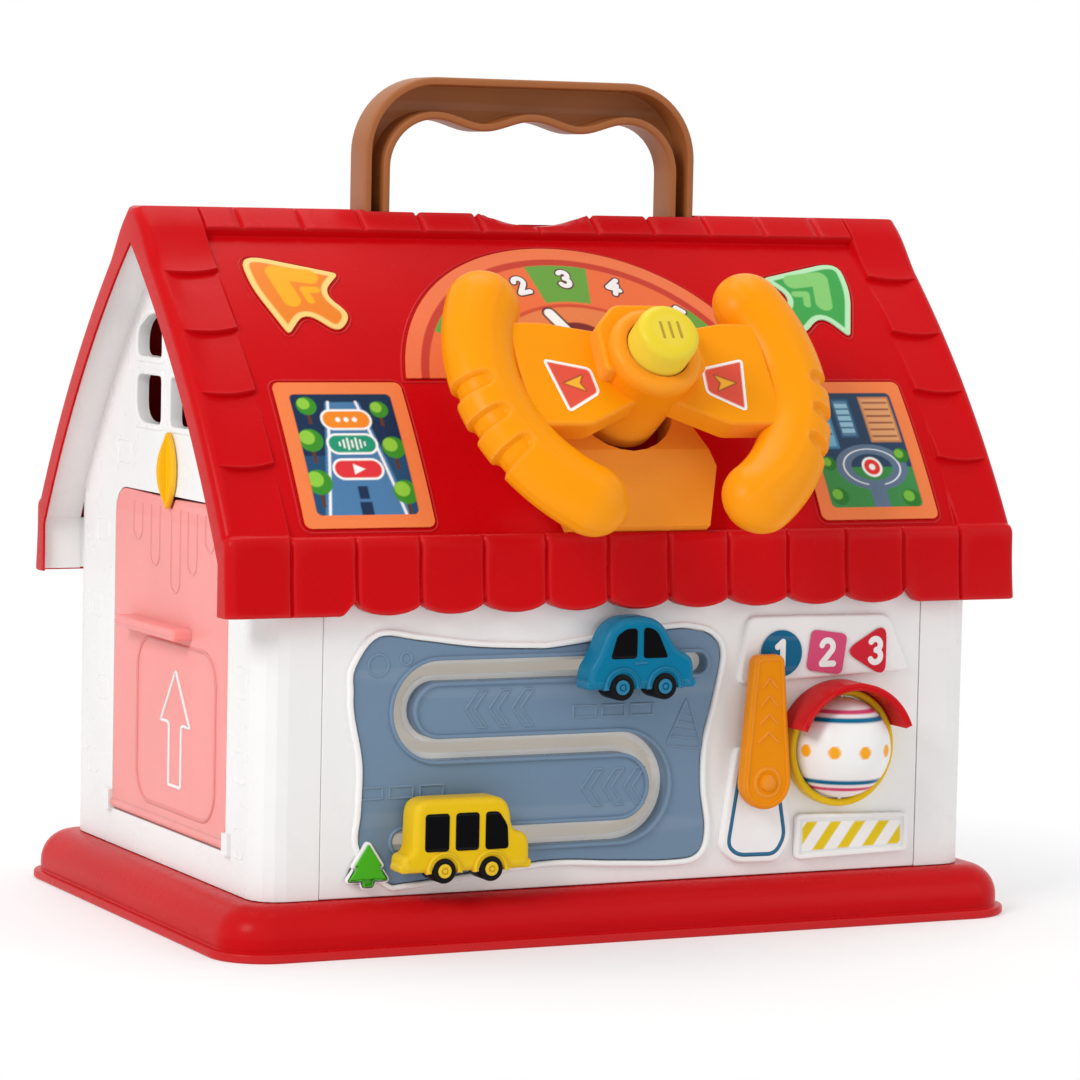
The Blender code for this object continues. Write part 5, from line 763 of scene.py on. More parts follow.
def figure_strokes(text):
    """The pen strokes of a numeral, one unit tall about its middle."""
    def line(*points):
        return polyline(points, 0.04)

    return {
        "1": [line((-0.20, 0.26), (0.04, 0.46)), line((0.04, 0.46), (0.04, -0.46))],
        "2": [np.concatenate([arc((0, 0.21), 0.25, 165, -32, 14), line((0.19, 0.05), (-0.25, -0.44))]),
              line((-0.25, -0.46), (0.28, -0.46))],
        "3": [arc((0, 0.235), 0.225, 150, -80, 16), arc((0, -0.215), 0.245, 80, -150, 16)],
        "4": [line((0.06, 0.46), (-0.28, -0.16)), line((-0.28, -0.16), (0.30, -0.16)),
              line((0.12, 0.12), (0.12, -0.46))],
        "5": [line((0.24, 0.46), (-0.16, 0.46)), line((-0.16, 0.46), (-0.20, 0.08)),
              arc((-0.02, -0.17), 0.27, 132, -140, 16)],
    }[text]


def add_figure(piece, text, size, half, low, place, finish, turn=0.0):
    """Put a numeral on a piece: each stroke is a thin plate, a hair higher than the one before."""
    for index, path in enumerate(figure_strokes(text)):
        loop = anticlockwise(ribbon(turned(path * size, turn), half))
        piece.add(plate([loop], [(0, low), (0, low + 0.0002 + index * 0.00001)]), place, finish)


# Places on the house


def on_front(points):
    """Across, up and out of the front, as world places."""
    return np.stack([points[:, 0], HOME_Y - points[:, 2], points[:, 1]], 1)


def on_left(points):
    """Along the left wall, up and out of it, as world places."""
    return np.stack([DOOR_FACE - points[:, 2], HOME_Y + points[:, 0], points[:, 1]], 1)


def on_plan(points):
    """Across, back and up, as world places."""
    return points + (0, HOME_Y, 0)


def slope_place(across, run, rise, side=-1):
    """A place on the roof: a point of a circle about the slope's far centre, moved out by the rise."""
    angle = SLOPE_ANGLE - run / SLOPE_RADIUS
    reach = SLOPE_RADIUS + rise
    away = SLOPE_OUT + reach * np.cos(angle)
    return np.stack([across, HOME_Y + side * away, SLOPE_BASE + reach * np.sin(angle)], -1)


def on_slope(run, x=0.0):
    """A function that lays flat shapes on the front slope about a place on it, bent with its curve."""
    return lambda points: slope_place(points[:, 0] + x, run - points[:, 1], points[:, 2])


def on_wheel(points):
    """Across, up the slope and out along the steering axis, as world places."""
    angle = SLOPE_ANGLE - WHEEL_RUN / SLOPE_RADIUS
    origin = slope_place(np.zeros(1), np.full(1, WHEEL_RUN), 0)[0]
    along = np.array([0, math.sin(angle), math.cos(angle)])
    axis = np.array([0, -math.cos(angle), math.sin(angle)])
    return origin + points[:, :1] * np.array([1, 0, 0]) + points[:, 1:2] * along + points[:, 2:] * axis


def volume(points, faces):
    """Six times the volume that the faces enclose, below zero if they face inwards."""
    middle = points.mean(0)
    total = 0.0
    for block in faces:
        corners = points[block] - middle
        for index in range(1, block.shape[1] - 1):
            total += (corners[:, 0] * np.cross(corners[:, index], corners[:, index + 1])).sum()
    return total


def outward(shell, place):
    """A shell in its place with its faces outwards."""
    points, faces = place(shell[0]), shell[1]
    if volume(points, faces) < 0:
        faces = [block[:, ::-1] for block in faces]
    return points, faces


def mesh_object(name, points, faces):
    """A new object in the scene, made of points and lists of faces."""
    mesh = bpy.data.meshes.new(name)
    mesh.from_pydata(points.tolist(), [], [face for group in faces for face in group.tolist()])
    obj = bpy.data.objects.new(name, mesh)
    bpy.context.scene.collection.objects.link(obj)
    return obj


class Piece:
    """Closed shells gathered into one object; one that names no place or finish gets the piece's own."""

    def __init__(self, name, place=None, material=None):
        self.name, self.place, self.material = name, place, material
        self.points, self.faces, self.slots, self.prints = [], [], [], []
        self.materials = []
        self.total = 0

    def add(self, shell, place=None, material=None, colours=None):
        """Put a shell in its place with its faces outwards; colours are a print, one for each point."""
        points, faces = outward(shell, place or self.place)
        material = material or self.material
        if material not in self.materials:
            self.materials.append(material)
        for block in faces:
            self.faces.append(block + self.total)
            self.slots += [self.materials.index(material)] * len(block)
        self.points.append(points)
        self.prints.append(np.ones((len(points), 3)) if colours is None else colours)
        self.total += len(points)

    def add_print(self, loop, step, low, high, paint, material):
        """Put a sheet in its place, with the colours that paint gives for its flat places."""
        shell = sheet([loop], step, low, high)
        self.add(shell, material=material, colours=paint(shell[2]))

    def finish(self, body, *nodes, slot, printed=False):
        """Make the object, tie it to its body and hide the frame's nodes that it stands for."""
        obj = mesh_object(self.name, np.concatenate(self.points), self.faces)
        mesh = obj.data
        for material in self.materials:
            mesh.materials.append(material)
        mesh.polygons.foreach_set("material_index", self.slots)
        if printed:
            colours = mesh.color_attributes.new("print", "FLOAT_COLOR", "POINT")
            values = np.concatenate(self.prints)
            values = np.column_stack([values, np.ones(len(values))])
            colours.data.foreach_set("color", values.astype(np.float32).ravel())
        mesh.validate()
        mesh.shade_smooth()
        mesh.set_sharp_from_angle(angle=SMOOTH)
        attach(obj, body)
        if nodes:
            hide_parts(*nodes)
        return obj


# Finishes


def set_inputs(node, values):
    for name, value in values.items():
        node.inputs[name].default_value = value


def add_node(tree, kind, values=None, **settings):
    """A shader node: its settings are made first, then the values of its inputs."""
    node = tree.nodes.new(f"ShaderNode{kind}")
    for name, value in settings.items():
        setattr(node, name, value)
    set_inputs(node, values or {})
    return node


def remap(tree, low, high, to_low=0.0, to_high=1.0, **settings):
    """A node that maps one range of values to another."""
    values = {"From Min": low, "From Max": high, "To Min": to_low, "To Max": to_high}
    return add_node(tree, "MapRange", values, **settings)


def link_all(tree, rows):
    """Links by name: a node and its output, then a node and its input."""
    for source, output, target, entry in rows:
        tree.links.new(source.outputs[output], target.inputs[entry])


def moulded_group():
    """Moulded plastic: slow colour drift, a painted highlight that lightens convex edges, cloudy gloss and
    a fine orange-peel bump.
    """
    name = "moulded detail"
    if name in bpy.data.node_groups:
        return bpy.data.node_groups[name]
    group = bpy.data.node_groups.new(name, "ShaderNodeTree")
    for entry, kind, value in GROUP_INPUTS:
        made = group.interface.new_socket(name=entry, in_out="INPUT", socket_type=f"NodeSocket{kind}")
        made.default_value = value
    for output, kind in GROUP_OUTPUTS:
        group.interface.new_socket(name=output, in_out="OUTPUT", socket_type=f"NodeSocket{kind}")
    given, result = group.nodes.new("NodeGroupInput"), group.nodes.new("NodeGroupOutput")
    place, shape = add_node(group, "TexCoord"), add_node(group, "NewGeometry")
    slow, cloudy, fine = (add_node(group, "TexNoise", {"Scale": scale, "Detail": detail})
                          for scale, detail in ((18, 3), (110, 2), (650, 1)))
    drift = remap(group, 0.3, 0.7, 0.965, 1.03)
    # Painted highlight: edges found by pointiness are mixed toward warm white as a sheen
    edge = remap(group, 0.505, 0.56)
    haze = remap(group, 0.25, 0.75, -0.02, 0.03)
    tinted = add_node(group, "VectorMath", operation="SCALE")
    edge_sheen = add_node(group, "Math", operation="MULTIPLY")
    sheened = add_node(group, "Mix", {"B": (1, 0.97, 0.94, 1)}, data_type="RGBA")
    rough = add_node(group, "Math", operation="ADD", use_clamp=True)
    bump = add_node(group, "Bump", {"Distance": 0.00005})
    link_all(group, (
        *((place, "Object", noise, "Vector") for noise in (slow, cloudy, fine)),
        (slow, "Fac", drift, "Value"), (given, "Color", tinted, 0), (drift, "Result", tinted, "Scale"),
        (shape, "Pointiness", edge, "Value"), (edge, "Result", edge_sheen, 0), (given, "Wear", edge_sheen, 1),
        (edge_sheen, "Value", sheened, "Factor"), (tinted, "Vector", sheened, "A"), (sheened, "Result", result, "Color"),
        (cloudy, "Fac", haze, "Value"), (haze, "Result", rough, 0), (given, "Gloss", rough, 1),
        (rough, "Value", result, "Roughness"), (fine, "Fac", bump, "Height"),
        (given, "Grain", bump, "Strength"), (bump, "Normal", result, "Normal"),
    ))
    return group


def plastic(name, colour, gloss=0.28, edge_sheen=0.03, grain=0.04, soft=0.0, metal=0.0, shine=0.14, glow=0.0,
            printed=False):
    """A moulded plastic in one colour, or in the colours printed on the piece's points."""
    name = f"{name} finish"
    if name in bpy.data.materials:
        return bpy.data.materials[name]
    material = bpy.data.materials.new(name)
    material.use_nodes = True
    tree = material.node_tree
    shader = tree.nodes["Principled BSDF"]
    tone = (*colour, 1)
    values = {"Color": tone, "Gloss": gloss, "Wear": edge_sheen, "Grain": grain}
    detail = add_node(tree, "Group", values, node_tree=moulded_group())
    link_all(tree, (
        (detail, "Color", shader, "Base Color"), (detail, "Roughness", shader, "Roughness"),
        (detail, "Normal", shader, "Normal"),
    ))
    if printed:
        link_all(tree, ((add_node(tree, "Attribute", attribute_name="print"), "Color", detail, "Color"),))
    # Emission here is painted light: only the pale finish glows, to brighten it where it lies in shade
    set_inputs(shader, {"Metallic": metal, "Specular IOR Level": shine, "Emission Color": tone,
                        "Emission Strength": glow})
    if soft:
        set_inputs(shader, {"Subsurface Weight": soft, "Subsurface Scale": 0.004})
    material.diffuse_color = tone
    return material


def finishes(context):
    """Every finish of the house, by the plain name of its colour."""
    colours = context.scene.house_colours
    made = {name: plastic(name, getattr(colours, name), **values) for name, values in FINISHES.items()}
    made["gold"] = plastic("gold", srgb(244, 186, 12))
    made["umber"] = plastic("umber", srgb(96, 44, 34), gloss=0.3, grain=0.03)
    made["steel"] = plastic("steel", (0.62, 0.62, 0.62), metal=1.0)
    made["board"] = plastic("board", (0.02, 0.16, 0.06), gloss=0.4)
    made["print"] = plastic("print", (1, 1, 1), gloss=0.26, edge_sheen=0.0, grain=0.03, printed=True)
    return made


# Artwork, as distances from shapes on a label


def disc(place, centre, radius):
    return np.linalg.norm(place - centre, axis=1) - radius


def block(place, centre, half, radius=0.0):
    """Distance from a rectangle with round corners."""
    local = np.abs(place - centre) - half + radius
    return np.linalg.norm(np.maximum(local, 0), axis=1) + np.minimum(local.max(1), 0) - radius


def stroke(place, start, end, radius):
    """Distance from a line with round ends."""
    start, end = np.asarray(start, float), np.asarray(end, float)
    way = end - start
    share = np.clip((place - start) @ way / (way @ way), 0, 1)
    return np.linalg.norm(place - start - share[:, None] * way, axis=1) - radius


def corners(place, points):
    """Distance from a closed outline, below zero inside it."""
    loop = np.asarray(points, float)
    gap = np.linalg.norm(place - nearest_on(place, [loop]), axis=1)
    return np.where(inside(place, [loop]), -gap, gap)


def plain(place, colour):
    """One colour for every point."""
    return np.tile(np.asarray(srgb(*colour)), (len(place), 1))


def inked(base, *layers):
    """Lay colours over the base in turn, each where its distance is below zero, with an even edge."""
    for colour, distance in layers:
        cover = np.clip(0.5 - distance / (2 * INK_EDGE), 0, 1)[:, None]
        base = base + (np.asarray(srgb(*colour)) - base) * cover
    return base


def dial_print(place):
    """Half-round dial: a pale border, a band of sectors, a dark pit, and a pointer on its hub."""
    angle = np.degrees(np.arctan2(place[:, 1], place[:, 0]))
    reach = np.linalg.norm(place, axis=1)
    band = np.maximum(reach - 0.0625, 0.045 - reach)
    sectors = [(np.abs(angle - middle) - 11) * reach * math.pi / 180 for middle in (31, 89, 139)]
    pointer = stroke(place, (-0.0080, 0.0395), (-0.0020, 0.0285), 0.0)
    return inked(
        plain(place, (236, 120, 74)),
        ((196, 62, 44), reach - 0.0655), ((233, 112, 62), reach - 0.0625),
        *(((104, 160, 62), np.maximum(band, sector)) for sector in sectors),
        ((206, 78, 48), reach - 0.0440), ((226, 128, 72), reach - 0.0425), ((170, 58, 48), reach - 0.0300),
        ((120, 40, 36), disc(place, (0.0, 0.022), 0.0135)),
        ((60, 24, 26), pointer - 0.0029), ((246, 246, 240), pointer - 0.0021),
    )


def screen_print(place, ground, layers):
    """An orange border round a window, and inks that show only through the window."""
    window = block(place, (0, 0), (SCREEN_HALF[0] - 0.0050, SCREEN_HALF[1] - 0.0048), 0.0018)
    base = inked(plain(place, (238, 128, 72)), (ground, window))
    return np.where((window < 0)[:, None], inked(base, *layers), base)


def bushes(place, spots, dark, light, share):
    """Round bushes, each with a lighter top."""
    layers = []
    for x, y, size in spots:
        layers.append((dark, disc(place, (x, y), size)))
        layers.append((light, disc(place, (x - size * 0.25, y + size * 0.25), size * share)))
    return layers


def left_screen_print(place):
    """A road that narrows upward between bushes, with three plain buttons over it."""
    layers = [((34, 76, 112), place[:, 1] + 0.001), ((74, 122, 166), corners(place, ROAD_ART))]
    for side in (-1, 1):
        line = stroke(place, (side * 0.0138, -0.024), (side * 0.0050, 0.020), 0.0005)
        layers.append(((236, 240, 244), line))
    for low, tall, wide in ((-0.0215, 0.0030, 0.0022), (-0.0150, 0.0024, 0.0018)):
        layers.append(((24, 46, 78), block(place, (0, low), (wide, tall), 0.0002)))
    for spot in ROAD_BUSHES:
        x, y, size = spot
        layers.append(((96, 54, 30), block(place, (x, y - size), (0.0006, size))))
        layers += bushes(place, [spot], (58, 142, 40), (142, 200, 66), 0.62)
    for y, colour in ((0.0130, (240, 138, 36)), (0.0035, (34, 148, 112)), (-0.0062, (222, 52, 58))):
        layers.append((CARD, block(place, (0, y), (0.0092, 0.0041), 0.0041)))
        layers.append((colour, block(place, (0, y), (0.0084, 0.0033), 0.0033)))
    for x in (-0.0030, 0.0, 0.0030):
        layers.append((CARD, disc(place, (x, 0.0130), 0.0009)))
    for index, tall in enumerate((0.0006, 0.0014, 0.0021, 0.0012, 0.0021, 0.0014, 0.0006)):
        x = 0.0015 * (index - 3)
        layers.append((CARD, stroke(place, (x, 0.0035 - tall), (x, 0.0035001 + tall), 0.0003)))
    layers.append((CARD, corners(place, [(-0.0016, -0.0082), (0.0024, -0.0062), (-0.0016, -0.0042)])))
    return screen_print(place, (20, 46, 78), layers)


def right_screen_print(place):
    """A small town from above: streets, plain blocks, a ring road and bushes."""
    middle = (0.002, -0.0075)
    ring = np.linalg.norm((place - middle) * (1.0, 1.55), axis=1)
    layers = [
        ((62, 138, 72), place[:, 1] + 0.0075),
        ((96, 116, 140), np.abs(ring - 0.0112) - 0.0030),
        ((236, 240, 244), np.abs(ring - 0.0112) - 0.0003),
        ((96, 116, 140), block(place, (0.002, -0.0200), (0.0032, 0.0060))),
    ]
    for x, y, wide, tall, rim, dark, light in TOWN_BLOCKS:
        layers.append((dark, block(place, (x, y), (wide, tall), 0.0003)))
        layers.append((light, block(place, (x, y), (wide - rim, tall - rim), 0.0003)))
    for row in range(6):
        layers.append(((150, 88, 62), block(place, (0.0110, 0.0050 + 0.0028 * row), (0.0050, 0.0004))))
        for x in (-0.0125, -0.0030):
            layers.append(((58, 104, 140), block(place, (x, 0.0060 + 0.0026 * row), (0.0026, 0.00035))))
    for colour, radius in ((CARD, 0.0040), ((226, 54, 46), 0.0031), (CARD, 0.0012)):
        layers.append((colour, disc(place, middle, radius)))
    layers += bushes(place, TOWN_BUSHES, (44, 120, 42), (120, 186, 62), 0.6)
    return screen_print(place, (44, 66, 92), layers)


def dial_loop():
    """The dial's outline: an arc closed along its foot, with a round bite for the column."""
    foot = DIAL_RUN - DIAL_BASE_RUN
    low = DIAL_RUN - WHEEL_RUN
    reach = math.degrees(math.asin(foot / DIAL_RADIUS))
    bite = math.degrees(math.asin((foot - low) / DIAL_ROOM))
    return np.concatenate([
        arc((0, 0), DIAL_RADIUS, reach, 180 - reach, 120),
        arc((0, low), DIAL_ROOM, 180 - bite, bite, 40),
    ])


def screen_loop():
    """A screen label's outline."""
    half = np.array(SCREEN_HALF)
    return rounded_box(-half, half, 0.0025, 8)


def arrow_loop(side):
    """A soft arrow with a broad head that points up and outward, and a short tail."""
    return anticlockwise(softened(ARROW_POINTS, ARROW_REACH) * (-side, 1))


def arrow_print(side, border, field, mark):
    """A pale border, a field and two bent strokes of an arrow."""

    def paint(place):
        flat = place * (-side, 1)
        layers = [(field, corners(place, arrow_loop(side)) + 0.0021)]
        for start, bend, end, radius in ARROW_STROKES:
            bent = np.minimum(stroke(flat, start, bend, radius), stroke(flat, bend, end, radius))
            layers.append((mark, bent))
        return inked(plain(place, border), *layers)

    return paint


def stripe_print(place):
    """Slanted yellow bars on white inside a white border."""
    centre, size = STRIPE
    lean = (place[:, 0] - centre[0]) - 0.75 * (place[:, 1] - centre[1])
    near = np.abs((lean + STRIPE_PITCH / 2) % STRIPE_PITCH - STRIPE_PITCH / 2) - 0.0022
    rim = corners(place, inset(softened(from_shares(STRIPE_SHARES, centre, size), 0.002), 0.0022))
    return inked(plain(place, (240, 240, 238)), ((222, 224, 226), np.abs(rim) - 0.00035),
                 ((226, 196, 22), np.maximum(near * 0.8, rim + 0.0004)))


def spoke_loop(side):
    """The four-sided outline of a spoke's label."""
    points = np.array(SPOKE_LABEL) * (side, 1)
    return softened(points if side > 0 else points[::-1], 0.0022)


def spoke_print(side):
    """Red field with a white border and a plain yellow arrowhead that points away from the hub."""
    loop = spoke_loop(side)
    points = np.array([(-0.0030, 0.0030), (0.0042, 0.0), (-0.0030, -0.0030), (-0.0014, 0.0)])
    points = points * (side, 1) + loop.mean(0)

    def paint(place):
        head = corners(place, points)
        return inked(plain(place, (248, 246, 242)), ((222, 82, 62), corners(place, loop) + 0.0010),
                     ((120, 50, 40), head - 0.0004), ((246, 178, 50), head))

    return paint


# Roof


def slope_rows():
    """Runs of the roof's rows: even steps, with close rows at the ridge, the tiles' edges and the eave."""
    rows = list(np.linspace(0, EAVE_RUN, 42))
    for share in TILE_SHARES[1:-1]:
        edge = share * EAVE_RUN
        rows += [edge + step for step in (-0.0020, -0.0009, -0.0003, 0, 0.0004, 0.0008, 0.0020)]
    rows += [RIDGE_RUN + step for step in (-0.0010, -0.0006, -0.0003, 0, 0.0003, 0.0006, 0.0010)]
    rows += [EAVE_RUN - step for step in (0.0020, 0.0010, 0.0007, 0.0004, 0.0002)]
    rows = np.unique(np.round(rows, 5))
    return rows[np.concatenate([[True], np.diff(rows) > 0.00015])]


def cusps():
    """Places of the cusps between scallops, and of the grooves that go on beyond them at both ends."""
    return np.arange(SCALLOP_COUNT + 3) * SCALLOP_PITCH - SCALLOPED_HALF - SCALLOP_PITCH


def roof_columns():
    """Places across the roof: even steps, with close ones at grooves, scallops and the rakes' edges."""
    columns = list(np.arange(-ROOF_HALF, ROOF_HALF, 0.0030)) + [ROOF_HALF]
    near = np.array([-0.0012, -0.0006, -0.0003, 0, 0.0003, 0.0006, 0.0012])
    for middle in (*cusps(), *RIDGE_GROOVES):
        columns += list(middle + near)
    turn = np.linspace(0, math.pi, 13)
    for index in range(SCALLOP_COUNT):
        columns += list((index + (1 - np.cos(turn)) / 2) * SCALLOP_PITCH - SCALLOPED_HALF)
    ends = np.array([0.0001, 0.0003, 0.0006, END_LIP, END_LIP + 0.0001, 0.0015, 0.0021, 0.0028, 0.0036])
    for side in (-1, 1):
        columns += list(side * (SCALLOPED_HALF + np.linspace(0, 0.006, 8)))
        columns += list(side * (ROOF_HALF - RAKE_WIDTH + near))
        columns += list(side * (ROOF_HALF - ends))
    columns = np.unique(np.round(np.clip(columns, -ROOF_HALF, ROOF_HALF), 5))
    return columns[np.concatenate([[True], np.diff(columns) > 0.00008])]


def groove(across, centres, depth):
    """Depth of round-bottomed grooves at the centres: a bell curve of each one's distance."""
    total = np.zeros_like(across)
    for centre in centres:
        total = np.maximum(total, np.exp(-((across - centre) / GROOVE_BELL) ** 2))
    return total * depth


def end_bend(across, radius):
    """How far the roof's skin draws back at its rounded ends: a quarter circle."""
    gap = np.clip(ROOF_HALF - np.abs(across), 0, radius)
    return radius - np.sqrt(radius ** 2 - (radius - gap) ** 2)


def roof_rise(across, run, sizes):
    """Rise of the roof's skin: recessed panel, saw-toothed tiled rakes, ridge band and rounded ends."""
    edges = np.array(TILE_SHARES) * EAVE_RUN
    tile = np.clip(np.searchsorted(edges, run, side="right") - 1, 0, len(edges) - 2)
    share = (run - edges[tile]) / (edges[tile + 1] - edges[tile])
    tiles = TILE_LOW_RISE * (1 - share)
    after = np.where(tile > 0, run - edges[tile], 1.0)
    tiles = np.where(after < 0.0006, TILE_LOW_RISE * 1.3 * smooth_step(after, 0, 0.0006), tiles)
    fade = smooth_step(ROOF_HALF - np.abs(across), *TILE_FADE)
    tiles = TILE_LOW_RISE / 3 + (tiles - TILE_LOW_RISE / 3) * fade
    crest = 1 - smooth_step(run, RIDGE_RUN / 2, RAKE_CREST_RUN)
    tiles = tiles + (RIDGE_RISE - tiles) * crest
    rake = smooth_step(np.abs(across), ROOF_HALF - RAKE_WIDTH - 0.0006, ROOF_HALF - RAKE_WIDTH + 0.0006)
    rise = PANEL_RISE + (tiles - PANEL_RISE) * rake
    rise = rise * (1 - smooth_step(run, EAVE_RUN - 0.0010, EAVE_RUN - 0.0002))
    band = (1 - smooth_step(run, RIDGE_RUN - 0.0004, RIDGE_RUN + 0.0004)) * (1 - rake)
    ridge = RIDGE_RISE - groove(across, RIDGE_GROOVES, 1.1 * sizes.tile_groove)
    rise = rise + (ridge - rise) * band
    return rise - end_bend(across, sizes.tile_round)


def fascia_low(across):
    """Lower edge of the fascia: straight end tiles, a bend, and half ellipses between cusps."""
    share = ((across + SCALLOPED_HALF) / SCALLOP_PITCH) % 1
    scallop = SCALLOP_RISE * (1 - np.sqrt(np.clip(1 - (2 * share - 1) ** 2, 0, 1)))
    end = SCALLOP_RISE * smooth_step(-np.abs(across), -SCALLOPED_HALF - 0.006, -SCALLOPED_HALF)
    return FASCIA_LOW + np.where(np.abs(across) < SCALLOPED_HALF, scallop, end)


def parabola(start, middle, end, share):
    """A point of the curve that leaves start towards middle and comes to end from it."""
    return (1 - share) ** 2 * start + 2 * share * (1 - share) * middle + share ** 2 * end


def roof_shell(sizes):
    """The roof's closed section carried across it: fascia, slope, ridge and the way back under it."""
    across = roof_columns()
    runs = slope_rows()
    grooves = groove(across, cusps(), 1.6 * sizes.tile_groove)
    low = fascia_low(across)
    corner = slope_place(0.0, EAVE_RUN, 0.0)
    top = float(corner[2]) - (FASCIA_OUT + (float(corner[1]) - HOME_Y)) / 2
    bend = end_bend(across, sizes.tile_round)
    lipped = np.abs(across) > ROOF_HALF - END_LIP - 0.00005
    inner = np.where(lipped, END_LIP_IN, FASCIA_IN)

    def slope_row(run, shift=0.0):
        """Out and up of one run of the slope's skin, all across the roof."""
        run = np.full_like(across, run)
        placed = slope_place(across, run + shift, roof_rise(across, run, sizes))
        return HOME_Y - placed[:, 1], placed[:, 2]

    def slope_half(side):
        """The rows of one half, from the fascia's inner edge up to the ridge."""
        lip = 0.0008
        high = top - SHOULDER_REACH
        face = FASCIA_OUT + FASCIA_FLARE - bend
        rows = [(inner, low), (face - 1.6 * lip, low), (face - 0.5 * lip, low + 0.25 * lip)]
        for share in (0, 0.04, 0.12, *np.linspace(0.25, 1.0, 6)):
            flare = FASCIA_FLARE * (1 - share) ** 2
            rows.append((FASCIA_OUT + flare - grooves - bend, low + lip + share * (high - lip - low)))
        end_out, end_high = slope_row(EAVE_RUN - 0.0006)
        for share in np.linspace(0, 1, 8)[1:-1]:
            out = parabola(FASCIA_OUT, FASCIA_OUT - 0.0002, end_out, share)
            height = parabola(high, end_high - 0.0002, end_high, share)
            rows.append((out - (grooves + bend) * (1 - share) ** 0.5, height))
        rake = np.clip((np.abs(across) - (ROOF_HALF - RAKE_WIDTH)) / RAKE_WIDTH, 0, 1)
        bulge = TILE_BULGE * 4 * rake * (1 - rake)
        for run in runs[runs < EAVE_RUN - 0.0005][::-1]:
            share = smooth_step(run, 0.012, 0.020) * (1 - smooth_step(run, 0.122, 0.132))
            rows.append(slope_row(run, bulge * share))
        return [(side * out, height) for out, height in rows]

    scoop = SLOPE_TOP + RIDGE_RISE * math.sin(SLOPE_ANGLE) - SCOOP_DEPTH + SCOOP_RADIUS
    scoop = scoop - np.sqrt(np.maximum(SCOOP_RADIUS ** 2 - across ** 2, 0))
    front = [(out, np.where(np.abs(across) < 0.03, np.minimum(height, scoop), height))
             for out, height in slope_half(1)]
    under = []
    below = np.where(lipped, END_LIP_RISE, UNDER_RISE)
    far, near = ((SLOPE_ANGLE - np.arccos((out - SLOPE_OUT) / (SLOPE_RADIUS + below))) * SLOPE_RADIUS
                 for out in (inner, 0.0003))
    for share in np.linspace(0, 1, 24):
        placed = slope_place(across, far + (near - far) * share, below)
        under.append((HOME_Y - placed[:, 1], placed[:, 2]))
    rows = front + slope_half(-1)[::-1]
    rows += [(-out, height) for out, height in under]
    rows += under[::-1]
    grid = np.stack([np.stack([across, HOME_Y - out, height], 1) for out, height in rows], 1)
    faces = [ring_faces(len(rows), len(across))]
    for column, way in ((0, 1), (len(across) - 1, -1)):
        faces.append((flat_fill([grid[column][:, 1:]]) + column * len(rows))[:, ::way])
    return grid.reshape(-1, 3), faces


def carve(obj, cutters):
    """Cut closed shells out of a piece and keep the result as its mesh."""
    for index, (points, faces) in enumerate(cutters):
        tool = mesh_object("cutter", points, faces)
        modifier = obj.modifiers.new(f"cut_{index}", "BOOLEAN")
        modifier.operation = "DIFFERENCE"
        modifier.solver = "EXACT"
        modifier.object = tool
        graph = bpy.context.evaluated_depsgraph_get()
        carved = bpy.data.meshes.new_from_object(obj.evaluated_get(graph))
        obj.modifiers.clear()
        old = obj.data
        obj.data = carved
        carved.name = old.name
        bpy.data.meshes.remove(old)
        bpy.data.objects.remove(tool)
    obj.data.shade_smooth()
    obj.data.set_sharp_from_angle(angle=SMOOTH)


# Outlines of single pieces


def handle_loop():
    """The handle seen from the front: arched outside, with a waved grip inside."""
    outer, inner = HANDLE_HALF, HANDLE_HALF - HANDLE_LEG
    grip_half = inner - HANDLE_INNER_RADIUS
    crest = HANDLE_TOP - GRIP_DEPTH + GRIP_WAVE
    share = np.linspace(0, 1, 50)[1:-1]
    wave = np.stack([grip_half * (2 * share - 1),
                     HANDLE_TOP - GRIP_DEPTH + GRIP_WAVE * np.cos(math.tau * GRIP_WAVES * share)], 1)
    radius, bend = HANDLE_RADIUS, HANDLE_INNER_RADIUS
    return np.concatenate([
        [(outer, FOOT_LOW)],
        arc((outer - radius, HANDLE_TOP - radius), radius, 0, 90, 16),
        arc((radius - outer, HANDLE_TOP - radius), radius, 90, 180, 16),
        [(-outer, FOOT_LOW), (-inner, FOOT_LOW)],
        arc((-grip_half, crest - bend), bend, 180, 90, 12),
        wave,
        arc((grip_half, crest - bend), bend, 90, 0, 12),
        [(inner, FOOT_LOW)],
    ])


def road_loop():
    """The road panel's wavy outline."""
    return anticlockwise(smooth_loop(from_shares(ROAD_SHARES, (ROAD_X, ROAD_Z), ROAD_SIZE)))


def track_loop(width):
    """The road's S-shaped slot at a width: top lane, left bend, middle lane, right bend and low lane."""
    half = width / 2
    top, middle, low = TRACK_Z
    left, right = (TRACK_BENDS[0], (top + middle) / 2), (TRACK_BENDS[1], (middle + low) / 2)
    left_radius, right_radius = (top - middle) / 2, (middle - low) / 2
    return np.concatenate([
        arc(left, left_radius - half, 90, 270, 20),
        arc(right, right_radius + half, 90, -90, 24),
        arc((TRACK_ENDS[1], low), half, -90, -270, 10),
        arc(right, right_radius - half, -90, 90, 20),
        arc(left, left_radius + half, 270, 90, 24),
        arc((TRACK_ENDS[0], top), half, 90, -90, 10),
    ])


def anticlockwise(loop):
    """The loop so that its inside lies to its left."""
    ahead = np.roll(loop, -1, 0)
    area = (loop[:, 0] * ahead[:, 1] - loop[:, 1] * ahead[:, 0]).sum()
    return loop if area > 0 else loop[::-1]


def hole(loop):
    """The loop clockwise, so that a plate's material lies to its left."""
    return anticlockwise(loop)[::-1]


def lens(length, width, steps):
    """A leaf: two arcs that meet in points above and below."""
    radius = (length ** 2 + width ** 2) / (4 * width)
    reach = math.degrees(math.asin(length / 2 / radius))
    right = arc((width / 2 - radius, 0), radius, -reach, reach, steps)
    left = arc((radius - width / 2, 0), radius, 180 - reach, 180 + reach, steps)
    return np.concatenate([right[:-1], left[:-1]])


